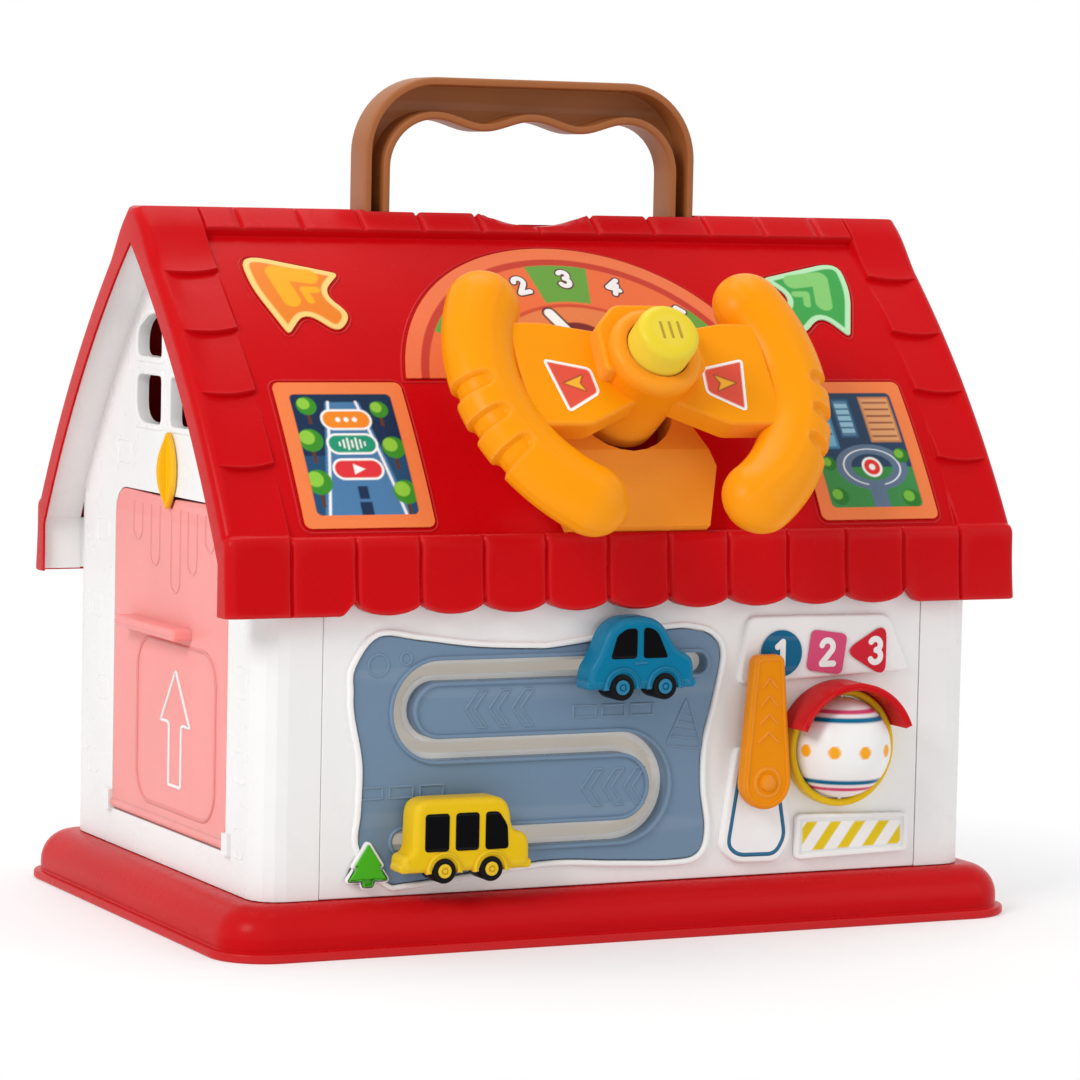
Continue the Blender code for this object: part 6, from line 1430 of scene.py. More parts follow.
def moved(place, offset):
    """A place function whose shapes are first moved by an offset."""
    offset = np.asarray(offset, float)
    return lambda points: place(points + offset)


# Pieces


class BuildBase(bpy.types.Operator):
    """Red base with a thin rim and a rounded shoulder, hollow below"""

    bl_idname = "house.base"
    bl_label = "Base"

    def execute(self, context):
        turn = np.linspace(0, math.pi / 2, 11)
        thick = LIP_WIDTH + SHELL
        profile = shoulder(thick, BASE_TOP - SHELL, TRAY_ROUND - SHELL, turn[::-1])
        profile += [(thick, 0.0), (0.0006, 0.0), (0.0, 0.0006), (0.0, LIP_HEIGHT - 0.0008),
                    (0.0003, LIP_HEIGHT - 0.0002), (0.0008, LIP_HEIGHT), (LIP_WIDTH - 0.0004, LIP_HEIGHT),
                    (LIP_WIDTH, LIP_HEIGHT + 0.0004)]
        profile += shoulder(LIP_WIDTH, BASE_TOP, TRAY_ROUND, turn)
        profile.append((LIP_WIDTH + TRAY_ROUND + HAIR, BASE_TOP))
        half = np.array(BASE_HALF)
        piece = Piece("base_tray_moulded", on_plan, finishes(context)["red"])
        piece.add(plate([rounded_box(-half, half, BASE_RADIUS, 14)], profile))
        ring = np.array(BATTERY_FRAME)
        loops = [rounded_box(-ring, ring, 0.001), hole(rounded_box(0.0015 - ring, ring - 0.0015, 0.001))]
        piece.add(plate(loops, [(0, BATTERY_FRAME_LOW), (0, BASE_TOP - SHELL)]))
        piece.finish("house", "base_tray", slot="red_plastic")
        return {"FINISHED"}


class BuildFront(bpy.types.Operator):
    """Front wall with the road's raised rim and two soft pads"""

    bl_idname = "house.front"
    bl_label = "Front wall"

    def execute(self, context):
        made, sizes = finishes(context), context.scene.house_sizes
        road = road_loop()
        half = SEAM_X - FIT
        opening = hole(inset(road, -FIT))
        ball = hole(circle(SIGNAL, SIGNAL_RADIUS + SIGNAL_ROOM, FINE_SIDES))
        pivot = hole(circle(LEVER, LEVER_HOLE))
        outline = rounded_box((-half, WALL_LOW), (half, FRONT_TOP), 0.0005, 2)
        piece = Piece("front_wall_moulded", on_front, made["white"])
        profile = rounded(DEPTH_HALF - WALL, DEPTH_HALF, sizes.wall_round)
        piece.add(plate([outline, opening, ball, pivot], profile))
        rim = anticlockwise(inset(road, -FIT - ROAD_RIM))
        low, face = DEPTH_HALF - WALL / 2, DEPTH_HALF + PAD_LIFT
        piece.add(plate([rim, opening], rounded(low, DEPTH_HALF + ROAD_RIM_LIFT, 0.0008)))
        profile = rounded(low, face, sizes.pad_round)
        piece.add(plate([softened(from_shares(NUMBER_SHARES, *NUMBER_PAD), 0.0035)], profile))
        lever = from_shares(LEVER_PAD_SHARES, *LEVER_PAD)
        piece.add(plate([softened(lever, 0.0035), pivot], profile))
        line = softened(inset(lever, 0.0030), 0.0030)
        piece.add(line_round(line, PATH_STEP, 0.0018, face - 0.0015), material=made["teal"])
        piece.finish("house", "front_wall", slot="white_plastic")
        return {"FINISHED"}


class BuildRoad(bpy.types.Operator):
    """Blue-grey road panel with a lipped slot and raised road marks"""

    bl_idname = "house.road"
    bl_label = "Road panel"

    def execute(self, context):
        thin = context.scene.house_sizes.bead
        slot = hole(track_loop(TRACK_WIDTH))
        piece = Piece("road_panel_moulded", on_front, finishes(context)["blue_grey"])
        piece.add(plate([road_loop(), slot], rounded(ROAD_BACK, ROAD_FRONT, 0.0006)))
        lip = anticlockwise(track_loop(TRACK_WIDTH + 2 * TRACK_LIP))
        piece.add(plate([lip, slot], rounded(ROAD_FRONT - 0.001, ROAD_FRONT + TRACK_LIP_LIFT, 0.00055)))
        for shape, places in ((CHEVRON, CHEVRON_PLACES), (DASH, DASH_PLACES)):
            for centre in places:
                piece.add(line_round(np.array(shape) + centre, 0.0006, thin, ROAD_FRONT))
        for centre, radius in (((-0.0935, 0.0945), 0.0036), ((-0.0835, 0.0965), 0.0020)):
            piece.add(bead(circle(centre, radius), thin, ROAD_FRONT, closed=True))
        wedge = softened([(0.0135, 0.0640), (0.0275, 0.0625), (0.0215, 0.0805)], 0.0022)
        piece.add(bead(wedge, thin, ROAD_FRONT, closed=True))
        for index in range(5):
            z = 0.0665 + 0.0025 * index
            width = 0.0048 - 0.0009 * index
            path = polyline([(0.0207 - width, z + 0.0008), (0.0210 + width, z - 0.0006)], PATH_STEP)
            piece.add(bead(path, thin, ROAD_FRONT))
        piece.finish("house", "road_panel", slot="blue_grey_plastic")
        return {"FINISHED"}


def vehicle(name, colour, context, place, size, shares, wheels, tyre, lane, panes):
    """A vehicle: soft body, raised window panes, arches, tyres with hubs, bumpers, collar and peg."""
    made, sizes = finishes(context), context.scene.house_sizes
    x, low = place
    front = VEHICLE_BACK + VEHICLE_DEPTH
    piece = Piece(name, on_front, made[colour])
    outline = softened(from_shares(shares, place, size), 0.0036)
    piece.add(plate([outline], rounded(VEHICLE_BACK, front, sizes.vehicle_round, 0.0008)))
    for pane in panes:
        loop = softened(from_shares(pane, place, size), 0.0014)
        piece.add(plate([loop], rounded(front - 0.001, front + 0.00025, 0.0002)), material=made["black"])
    rubber = [(0.0, VEHICLE_BACK + FIT), (tyre - 0.0004, VEHICLE_BACK + FIT), (tyre, VEHICLE_BACK + 0.0008),
              (tyre, front), (tyre - 0.0002, front + 0.0004), (tyre - 0.0006, front + 0.0006),
              (tyre * 0.62, front + 0.0006), (tyre * 0.58, front + 0.0001), (0.0, front + 0.0001)]
    hub = [(tyre * share, front + lift) for share, lift in HUB_CAP]
    for share in wheels:
        centre = (x + share * size[0], low + tyre)
        arch = np.concatenate([
            arc(centre, tyre + 0.0022, -8, 188, 24), arc(centre, tyre + 0.0006, 188, -8, 24),
        ])
        piece.add(plate([anticlockwise(arch)], rounded(front - 0.002, front + 0.0010, 0.0007)))
        at_wheel = moved(on_front, (*centre, 0))
        piece.add(lathe(rubber, SIDES), at_wheel, made["black"])
        piece.add(lathe(hub, SIDES), at_wheel)
    for side in (-1, 1):
        centre, half = np.array([(x + side * (size[0] / 2 - 0.0012), low + 0.19 * size[1]), BUMPER_HALF])
        bumper = rounded_box(centre - half, centre + half, 0.0014)
        piece.add(plate([bumper], rounded(VEHICLE_BACK + 0.002, front - 0.0004, 0.0010)))
    collar = (COLLAR_RADIUS, ROAD_BACK, VEHICLE_BACK + 0.002)
    peg = (PEG_RADIUS, PEG_BACK, ROAD_BACK + 0.002)
    for radius, start, end in (collar, peg):
        piece.add(plate([circle((x, lane), radius, 24)], [(0, start), (0, end)]))
    return piece


class BuildVehicles(bpy.types.Operator):
    """Blue car and yellow bus that ride in the road's slot"""

    bl_idname = "house.vehicles"
    bl_label = "Vehicles"

    def execute(self, context):
        car = vehicle("blue_car_moulded", "blue", context, *CAR)
        bar = polyline([(CAR_PLACE[0] - 0.0035, 0.0939), (CAR_PLACE[0] + 0.0015, 0.0941)], PATH_STEP)
        car.add(bead(bar, 0.0004, VEHICLE_BACK + VEHICLE_DEPTH))
        car.finish("blue_car", "blue_car", slot="blue_plastic")
        bus = vehicle("yellow_bus_moulded", "yellow", context, *BUS)
        bus.finish("yellow_bus", "yellow_bus", slot="yellow_plastic")
        return {"FINISHED"}


class BuildBadges(bpy.types.Operator):
    """Numbered badges, striped plate and small tree"""

    bl_idname = "house.badges"
    bl_label = "Badges"

    def execute(self, context):
        made, sizes = finishes(context), context.scene.house_sizes
        half = SQUARE_HALF
        square = turned([(-half, -half), (half, -half), (half, half), (-half, half)], SQUARE_TURN)
        square = softened(square + (BADGE_X[1], BADGE_Z), 0.0024)
        triangle = softened(arc((BADGE_X[2], BADGE_Z), TRIANGLE_RADIUS, 180, 420, 2), 0.0055)
        disc_loop = circle((BADGE_X[0], BADGE_Z), DISC_RADIUS, FINE_SIDES)
        badges = (
            ("circle_badge", disc_loop, "teal", "teal_print", "1", BADGE_X[0]),
            ("square_badge", square, "pink", "pink_print", "2", BADGE_X[1]),
            ("triangle_badge", triangle, "crimson", "red_print", "3", BADGE_X[2] + 0.0011),
        )
        for name, loop, colour, slot, text, x in badges:
            piece = Piece(f"{name}_printed", on_front, made[colour])
            piece.add(plate([loop], rounded(BADGE_OUT, BADGE_OUT + LABEL_THICK, 0.0002)))
            place = moved(on_front, (x, BADGE_Z, BADGE_OUT + 0.0004))
            add_figure(piece, text, *BADGE_FIGURE, 0.0, place, made["white"])
            piece.finish("house", name, slot=slot)
        loop = softened(from_shares(STRIPE_SHARES, *STRIPE), 0.002)
        low = DEPTH_HALF + FIT
        piece = Piece("stripe_plate_printed", on_front)
        piece.add_print(loop, sizes.print_step, low, low + STRIPE_THICK, stripe_print, made["print"])
        rim = [inset(loop, -0.0002), hole(inset(loop, 0.0014))]
        piece.add(plate(rim, rounded(low, low + STRIPE_THICK + 0.0006, 0.0005)), material=made["white"])
        piece.finish("house", "stripe_plate", slot="yellow_plastic", printed=True)
        loop = softened(from_shares(TREE_SHARES, *TREE), 0.0008)
        low = DEPTH_HALF + ROAD_RIM_LIFT + FIT
        piece = Piece("tree_badge_moulded", on_front)
        piece.add(plate([loop], rounded(low, low + 0.0009, 0.0004)), material=made["green"])
        edge = anticlockwise(inset(loop, -0.0009))
        piece.add(plate([edge], rounded(low - 0.0012, low + 0.0003, 0.0003)), material=made["white"])
        piece.finish("house", "tree_badge", slot="green_plastic")
        return {"FINISHED"}


class BuildLever(bpy.types.Operator):
    """Barrier lever with a raised rim, a ringed pivot and plain chevrons"""

    bl_idname = "house.lever"
    bl_label = "Barrier lever"

    def execute(self, context):
        x, z = LEVER
        half, corner = LEVER_TIP
        tip = z + LEVER_LENGTH - corner
        outline = np.concatenate([
            arc(LEVER, LEVER_EYE, 170, 370, 28),
            arc((x + half - corner, tip), corner, 0, 90, 8),
            arc((x - half + corner, tip), corner, 90, 180, 8),
        ])
        high = LEVER_LOW + LEVER_THICK
        piece = Piece("barrier_lever_moulded", on_front, finishes(context)["lever"])
        piece.add(plate([outline], rounded(LEVER_LOW, high - 0.0004, 0.0011, 0.0006)))
        rim = [inset(outline, 0.0009), hole(inset(outline, 0.0020))]
        piece.add(plate(rim, rounded(high - 0.001, high, 0.0004)))
        ring = [(radius, high + lift) for radius, lift in LEVER_RING]
        piece.add(lathe(ring, SIDES), moved(on_front, (x, z, 0)))
        piece.add(plate([circle(LEVER, 0.004, 32)], [(0, LEVER_BOSS_BACK), (0, LEVER_LOW + 0.001)]))
        for step in range(4):
            middle = z + 0.0155 + 0.0062 * step
            wide = 0.0040 - 0.0003 * step
            mark = [(x - wide, middle - 0.0018), (x, middle + 0.0018), (x + wide, middle - 0.0018)]
            piece.add(bead(polyline(mark, 0.0005), 0.00045, high - 0.0004))
        piece.finish("barrier_lever", "barrier_lever", slot="orange_plastic")
        return {"FINISHED"}


class BuildSignal(bpy.types.Operator):
    """White ball with plain printed bands in a yellow ring, under a red hood"""

    bl_idname = "house.signal"
    bl_label = "Turning ball"

    def execute(self, context):
        made = finishes(context)
        turn = np.linspace(-math.pi / 2, math.pi / 2, 91)
        radius = np.maximum(SIGNAL_RADIUS * np.cos(turn), SIGNAL_BORE)
        shell = lathe(np.stack([radius, SIGNAL_RADIUS * np.sin(turn)], 1), 160)
        points = shell[0]
        degree = SIGNAL_RADIUS * math.pi / 180
        rise = np.degrees(np.arcsin(np.clip(points[:, 2] / SIGNAL_RADIUS, -1, 1)))
        around = np.degrees(np.arctan2(points[:, 1], points[:, 0]))
        dots = np.stack([(around % 36 - 18) * np.cos(np.radians(rise)), rise], 1) * degree
        layers = [(colour, np.abs(rise - side * level) * degree - 0.0011)
                  for level, colour in ((38, (0, 104, 142)), (50, (214, 76, 118))) for side in (1, -1)]
        layers.append(((246, 168, 28), np.linalg.norm(dots, axis=1) - 0.0022))
        centre = np.array([SIGNAL[0], HOME_Y - SIGNAL_OUT, SIGNAL[1]])
        piece = Piece("signal_ball_printed", lambda place: place + centre, made["print"])
        piece.add(shell, colours=inked(plain(points, (240, 240, 238)), *layers))
        piece.finish("signal_ball", "signal_ball", slot="white_plastic", printed=True)

        at_signal = moved(on_front, (*SIGNAL, 0))
        low = DEPTH_HALF + FIT
        ring = Piece("signal_bezel_moulded", at_signal, made["yellow"])
        loops = [circle((0, 0), BEZEL_OUTER, 96), hole(circle((0, 0), BEZEL_INNER, 96))]
        ring.add(plate(loops, rounded(low, BEZEL_FRONT, 0.0011)))
        ring.finish("house", "signal_bezel", slot="yellow_plastic")
        inner = BEZEL_OUTER + FIT
        start, end = HOOD_ARC
        arch = np.concatenate([
            arc((0, 0), inner + HOOD_THICK, start, end, 48), arc((0, 0), inner, end, start, 48),
        ])
        hood = Piece("signal_hood_moulded", at_signal, made["red"])
        hood.add(plate([arch], rounded(low, HOOD_FRONT, 0.0011)))
        hood.finish("house", "signal_hood", slot="red_plastic")
        return {"FINISHED"}


class BuildRoof(bpy.types.Operator):
    """Red roof in one moulding, with tiled rakes, ridge and scalloped fascias"""

    bl_idname = "house.roof"
    bl_label = "Roof"

    def execute(self, context):
        piece = Piece("roof_shell_moulded", lambda place: place, finishes(context)["red"])
        piece.add(roof_shell(context.scene.house_sizes))
        roof = piece.finish("house", "roof_shell", slot="red_plastic")
        slot = rounded_box((-SLOT_HALF, -SLOT_FRONT), (SLOT_HALF, SLOT_BACK), 0.0008, 3)
        shaft = circle((0, 0), SHAFT_HOLE, 48)
        carve(roof, [
            outward(plate([slot], [(0, height) for height in SLOT_CUT]), on_plan),
            outward(plate([shaft], [(0, height) for height in SHAFT_CUT]), on_wheel),
        ])
        return {"FINISHED"}


class BuildLines(bpy.types.Operator):
    """Fine raised lines in the roof round each printed label"""

    bl_idname = "house.lines"
    bl_label = "Lines round the labels"

    def execute(self, context):
        radius = context.scene.house_sizes.bead
        piece = Piece("roof_lines_moulded", material=finishes(context)["red"])
        loops = [(dial_loop(), DIAL_RUN, 0.0)]
        for side in (-1, 1):
            loops.append((screen_loop(), SCREEN_RUN, side * SCREEN_X))
            loops.append((arrow_loop(side), ARROW_RUN, side * ARROW_X))
        for loop, run, x in loops:
            piece.add(line_round(inset(loop, -0.0013), PATH_STEP, radius, PANEL_RISE), on_slope(run, x))
        piece.finish("house", slot="red_plastic")
        return {"FINISHED"}


class BuildWindows(bpy.types.Operator):
    """Deep, rounded frames in the window openings of both end walls, and faint bricks"""

    bl_idname = "house.windows"
    bl_label = "Window frames"

    def execute(self, context):
        made = finishes(context)
        low, sill, drop = PANE_LOW, PANE_SILL_HEIGHT, PANE_ARCH_DROP
        high = low + sill + PANE_BAR
        top = high + PANE_TOP_HEIGHT
        near, far = PANE_GAP, PANE_GAP + PANE_WIDTH
        lower = [(near, low), (far, low), (far, low + sill), (near, low + sill)]
        shoulder_corner = (far - PANE_SHOULDER[0], top - PANE_SHOULDER[1])
        upper = [(near, high), (far, high), (far, top - drop), shoulder_corner, (near, top)]
        panes = [(softened(loop, 0.0012), softened(loop, reach))
                 for loop, reach in ((lower, LOWER_REACH), (upper, UPPER_REACH))]
        for side, word in ((-1, "left"), (1, "right")):

            def on_wall(points, side=side):
                out = side * (-DOOR_FACE + points[:, 2])
                return np.stack([out, HOME_Y + points[:, 0], points[:, 1]], 1)

            piece = Piece(f"{word}_window_frames_moulded", on_wall, made["white"])
            for mirror in (-1, 1):
                for pane in panes:
                    outer, opening = (anticlockwise(loop * (mirror, 1)) for loop in pane)
                    rim = [inset(outer, -0.0016), hole(inset(opening, 0.0007))]
                    piece.add(plate(rim, rounded(-0.0042, 0.0005, 0.0007)))
            for y, z, wide, tall in BRICKS:
                half = np.array([wide, tall]) / 2
                mark = rounded_box((y, z) - half, (y, z) + half, BRICK_RADIUS, 5)
                piece.add(line_round(mark, PATH_STEP, *BRICK_LINE))
            piece.finish("house", slot="white_plastic")
        return {"FINISHED"}


class BuildHandle(bpy.types.Operator):
    """Brown channel handle with a waved grip"""

    bl_idname = "house.handle"
    bl_label = "Handle"

    def execute(self, context):
        edge = context.scene.house_sizes.handle_round
        turn = np.linspace(0, math.pi / 2, EDGE_STEPS + 1)
        inner, floor = HANDLE_RIM, HANDLE_WEB - HANDLE_BACK
        profile = rounded(-HANDLE_BACK, HANDLE_FRONT, edge, edge)[:-1]
        profile += [(inner - 0.0006 + 0.0006 * math.sin(a), HANDLE_FRONT - 0.0006 * (1 - math.cos(a)))
                    for a in turn]
        profile += [(inner + step, floor + lift) for step, lift in HANDLE_FLOOR]
        piece = Piece("handle_moulded", on_front, finishes(context)["brown"])
        piece.add(plate([anticlockwise(handle_loop())], profile))
        for side in (-1, 1):
            ends = sorted((side * (HANDLE_HALF - HANDLE_LEG + FIT), side * (HANDLE_HALF + FOOT_REACH)))
            foot = rounded_box((ends[0], FOOT_LOW + FIT), (ends[1], FOOT_LOW + FOOT_HEIGHT), 0.0008)
            piece.add(plate([foot], rounded(FIT - HANDLE_BACK, HANDLE_FRONT - FIT, 0.0005, 0.0005)))
        piece.finish("handle", "handle", slot="brown_plastic")
        return {"FINISHED"}


class BuildDoor(bpy.types.Operator):
    """Garage door with a ledge, a framed arrow and drips, and the leaf latch over it"""

    bl_idname = "house.door"
    bl_label = "Garage door and latch"

    def execute(self, context):
        made, radius = finishes(context), context.scene.house_sizes.bead
        low, high = DOOR_Y - DOOR_WIDTH / 2, DOOR_Y + DOOR_WIDTH / 2
        leaf = lens(LATCH_SIZE[0] + 0.001, LATCH_SIZE[1] + 0.001, 30) + (DOOR_Y, LATCH_Z)
        notch = leaf[leaf[:, 1] < DOOR_TOP - 0.0002]
        notch = notch[np.argsort(-notch[:, 0])]
        outline = np.concatenate([
            [(low, DOOR_LOW), (high, DOOR_LOW)],
            arc((high - DOOR_RADIUS, DOOR_TOP - DOOR_RADIUS), DOOR_RADIUS, 0, 90, 10),
            notch,
            arc((low + DOOR_RADIUS, DOOR_TOP - DOOR_RADIUS), DOOR_RADIUS, 90, 180, 10),
        ])
        piece = Piece("garage_door_moulded", on_left, made["salmon"])
        piece.add(plate([outline], rounded(-DOOR_THICK, 0.0, 0.0004)))

        def at_hinge(points):
            across = DOOR_FACE + DOOR_THICK / 2 + points[:, 0]
            return np.stack([across, HOME_Y + points[:, 2], DOOR_LOW + points[:, 1]], 1)

        piece.add(lathe([(0.0, low), (0.0019, low), (0.0019, high), (0.0, high)], 24), at_hinge)
        ledge, sign = ([DOOR_Y + share * DOOR_WIDTH for share in shares]
                       for shares in (LEDGE_SHARES, SIGN_SHARES))
        shelf = rounded_box((ledge[0], LEDGE_Z[0]), (ledge[1], LEDGE_Z[1]), 0.0014)
        piece.add(plate([shelf], rounded(-0.001, LEDGE_REACH, 0.0014)))
        loop = rounded_box((sign[0], SIGN_Z[0]), (sign[1], SIGN_Z[1]), SIGN_RADIUS, 12)
        piece.add(plate([loop, hole(inset(loop, 0.0010))], rounded(-0.0004, 0.0006, 0.0004)))
        arrow = softened(DOOR_ARROW, 0.0016) + (sum(sign) / 2, sum(SIGN_Z) / 2)
        line = [arrow, hole(inset(arrow, 0.0011))]
        piece.add(plate(line, rounded(-0.0004, 0.0005, 0.0003)), material=made["white"])
        half = DRIP_HALF
        for y, z in DRIP_TIPS:
            path = np.concatenate([
                [(y - half, DOOR_TOP - 0.004), (y - half, z + half + 0.001)],
                arc((y, z + half), half, 180, 360, 18),
                [(y + half, z + half + 0.001), (y + half, DOOR_TOP - 0.004)],
            ])
            piece.add(bead(polyline(path, PATH_STEP), radius, 0.0))
        piece.finish("garage_door", "garage_door", slot="salmon_plastic")

        leaf = lens(*LATCH_SIZE, 20)
        swell = 1 - (leaf[:, 1] / (LATCH_SIZE[0] / 2)) ** 2
        latch = Piece("leaf_latch_moulded", moved(on_left, (DOOR_Y, LATCH_Z, 0)), made["gold"])
        latch.add(skin([np.column_stack([leaf * (wide, tall), height + fold * swell])
                        for wide, tall, height, fold in LATCH_STEPS]))
        stem = lathe([(0.0, 0.002), (0.0025, 0.002), (0.0025, -WALL - FIT), (0.0, -WALL - FIT)], 32)
        latch.add(stem)
        latch.finish("leaf_latch", "leaf_latch", slot="yellow_plastic")
        return {"FINISHED"}


def grip(side, flute_depth):
    """A grip of the wheel: a flat tube about an arc, with ball ends, finger flutes and a raised palm."""
    rings, around = 150, 72
    share = np.linspace(0, 1, rings)
    turn = np.linspace(0, math.pi / 2, 13)[1:-1]
    ball_out, ball_in = RIM_END_HALF * np.sin(turn), RIM_END_HALF * np.cos(turn)
    swell = RIM_HALF + (RIM_END_HALF - RIM_HALF) * (2 * share - 1) ** 2
    bend = np.concatenate([
        np.full(len(turn), LOBE_TOP), LOBE_TOP + (LOBE_BOTTOM - LOBE_TOP) * share,
        np.full(len(turn), LOBE_BOTTOM),
    ])
    beyond = np.concatenate([ball_out[::-1], np.zeros(rings), -ball_out])
    radius = np.concatenate([ball_in[::-1], swell, ball_in])
    angle = np.linspace(-math.pi, math.pi, around, endpoint=False)
    flutes = np.zeros((len(bend), around))
    wrap = np.abs(angle - 0.10)[None, :] * RIM_HALF
    for middle in FLUTE_BENDS:
        along = np.abs(bend - middle)[:, None] * (RIM_RADIUS + RIM_HALF)
        shape = np.sqrt(np.maximum(wrap - FLUTE_WRAP, 0) ** 2 + along ** 2)
        flutes = np.maximum(flutes, 1 - smooth_step(shape, *FLUTE_EDGE))
    edge = 1.75 + 0.12 * np.sin(bend * 3)[:, None]
    palm = smooth_step(np.abs(angle[None, :] + 0.1), edge - 0.05, edge + 0.05)
    seam = np.exp(-((np.abs(np.abs(angle) - math.pi / 2) - math.pi / 2) / 0.045) ** 2)[None, :]
    ball = np.clip(radius / RIM_HALF, 0, 1)[:, None]
    size = radius[:, None] - (flute_depth * flutes + 0.0004 * palm + 0.0002 * seam) * ball
    x = RIM_RADIUS * np.cos(bend) - beyond * np.sin(bend)
    y = RIM_RADIUS * np.sin(bend) + beyond * np.cos(bend)
    out = size * np.cos(angle)
    return skin(np.stack([
        side * (x[:, None] + out * np.cos(bend)[:, None]),
        y[:, None] + out * np.sin(bend)[:, None],
        RIM_RISE + size * np.sin(angle) * RIM_DEPTH_SHARE,
    ], -1))


class BuildWheel(bpy.types.Operator):
    """Orange steering wheel with two grips, spokes and hub, and its yellow horn button"""

    bl_idname = "house.wheel"
    bl_label = "Steering wheel"

    def execute(self, context):
        made, sizes = finishes(context), context.scene.house_sizes
        piece = Piece("steering_wheel_moulded", on_wheel, made["orange"])
        low, high = SPOKE_RISES[1] - 0.0002, SPOKE_RISES[1] + 0.00015
        for side in (-1, 1):
            piece.add(grip(side, sizes.flute_depth))
            spoke = anticlockwise(softened(np.array(SPOKE) * (side, 1), 0.002))
            piece.add(plate([spoke], rounded(*SPOKE_RISES, 0.0011, 0.0011)))
            piece.add_print(spoke_loop(side), sizes.print_step, low, high, spoke_print(side), made["print"])
        top, rim, pocket = HUB_HIGH, HUB_RADIUS, POCKET_RADIUS
        hub = [(0.0, HUB_LOW), (0.0146, HUB_LOW), (0.0150, HUB_LOW + 0.0004), (rim - 0.0002, 0.0385),
               (rim, 0.0390), (rim, top - 0.0030), (rim - 0.0004, top - 0.0014),
               (rim - 0.0014, top - 0.0004), (rim - 0.0026, top), (pocket + 0.0009, top),
               (pocket + 0.0002, top - 0.0004), (pocket, top - 0.0010), (pocket, POCKET_FLOOR),
               (0.0, POCKET_FLOOR)]
        piece.add(lathe(hub, 96))
        bore = hole(circle((0, 0), 0.0140, 48))
        piece.add(plate([softened(HUB_CREST, 0.0026), bore], rounded(*CREST_RISES, 0.0012)))
        piece.finish("steering_wheel", "wheel_front", "wheel_back", slot="orange_plastic", printed=True)

        top, wide = BUTTON_TOP, BUTTON_RADIUS
        button = [(0, BUTTON_LOW), (wide, BUTTON_LOW), (wide, top - 0.0026), (wide - 0.0003, top - 0.0015),
                  (wide - 0.0010, top - 0.0007), (wide - 0.0020, top - 0.0003),
                  (wide - 0.0034, top - 0.0001), (0.0040, top), (0.0, top)]
        horn = Piece("horn_button_moulded", on_wheel, made["lemon"])
        horn.add(lathe(button, 96))
        # Painted shade: the button's slots are flat darker yellow marks a hair above its top, not cut
        # recesses
        dark = plastic("slot", srgb(176, 146, 20), gloss=0.4)
        for x in (-0.0032, 0.0, 0.0032):
            mark = rounded_box((x - 0.0005, -0.0034), (x + 0.0005, 0.0034), 0.00045)
            horn.add(plate([mark], [(0, top - 0.0005), (0, top + 0.00006)]), material=dark)
        horn.finish("horn_button", "horn_button", slot="yellow_plastic")
        return {"FINISHED"}


class BuildLabels(bpy.types.Operator):
    """Dial, two screens and two arrows, printed on sheets that follow the slope"""

    bl_idname = "house.labels"
    bl_label = "Slope labels"

    def execute(self, context):
        made = finishes(context)
        step = context.scene.house_sizes.print_step

        def label(name, loop, place, paint):
            """A printed sheet on the slope, as a piece."""
            piece = Piece(f"{name}_printed", place)
            piece.add_print(loop, step, LABEL_LOW, LABEL_HIGH, paint, made["print"])
            return piece

        dial = label("dial_label", dial_loop(), on_slope(DIAL_RUN), dial_print)
        for text, x, run, turn in DIAL_FIGURES:
            for half, lift, finish in ((0.0016, 0.00015, "umber"), (0.0010, 0.00010, "white")):
                add_figure(dial, text, 0.0074, half, LABEL_HIGH - lift, on_slope(run, x), made[finish],
                           math.radians(turn))
        dial.finish("house", "dial_label", slot="orange_print", printed=True)
        for side, word, paint in ((-1, "left", left_screen_print), (1, "right", right_screen_print)):
            name = f"{word}_screen_label"
            piece = label(name, screen_loop(), on_slope(SCREEN_RUN, side * SCREEN_X), paint)
            piece.finish("house", name, slot="orange_print", printed=True)
        for side, name, colours, slot in ARROWS:
            place = on_slope(ARROW_RUN, side * ARROW_X)
            piece = label(name, arrow_loop(side), place, arrow_print(side, *colours))
            piece.finish("house", name, slot=slot, printed=True)
        return {"FINISHED"}


class FinishNodes(bpy.types.Operator):
    """Moulded, metal and board finishes for the frame's own pieces"""

    bl_idname = "house.nodes"
    bl_label = "Frame finishes"

    def execute(self, context):
        made = finishes(context)
        kinds = {name: kind for kind, names in NODE_FINISHES.items() for name in names.split()}
        for name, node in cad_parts.items():
            for slot in node.material_slots:
                slot.material = made[kinds.get(name, "steel")]
        return {"FINISHED"}


def area_light(name, place, size, power):
    """A soft square lamp that looks at the middle of the house."""
    lamp = bpy.data.lights.new(name, "AREA")
    lamp.size = size
    lamp.energy = power
    obj = bpy.data.objects.new(name, lamp)
    obj.location = place
    way = Vector((0, HOME_Y, 0.12)) - Vector(place)
    obj.rotation_euler = way.to_track_quat("-Z", "Y").to_euler()
    bpy.context.scene.collection.objects.link(obj)


def white_room(scene):
    """World that the camera, gloss and glass see as plain white, and that gives half of it as light."""
    world = bpy.data.worlds.new("studio")
    scene.world = world
    world.use_nodes = True
    tree = world.node_tree
    back = tree.nodes["Background"]
    set_inputs(back, {"Color": (1, 1, 1, 1)})
    path = add_node(tree, "LightPath")
    through = add_node(tree, "Math", operation="MAXIMUM")
    seen = add_node(tree, "Math", operation="MAXIMUM")
    level = remap(tree, 0, 1, 0.50, 1.0)
    link_all(tree, (
        (path, "Is Glossy Ray", through, 0), (path, "Is Transmission Ray", through, 1),
        (path, "Is Camera Ray", seen, 0), (through, "Value", seen, 1),
        (seen, "Value", level, "Value"), (level, "Result", back, "Strength"),
    ))


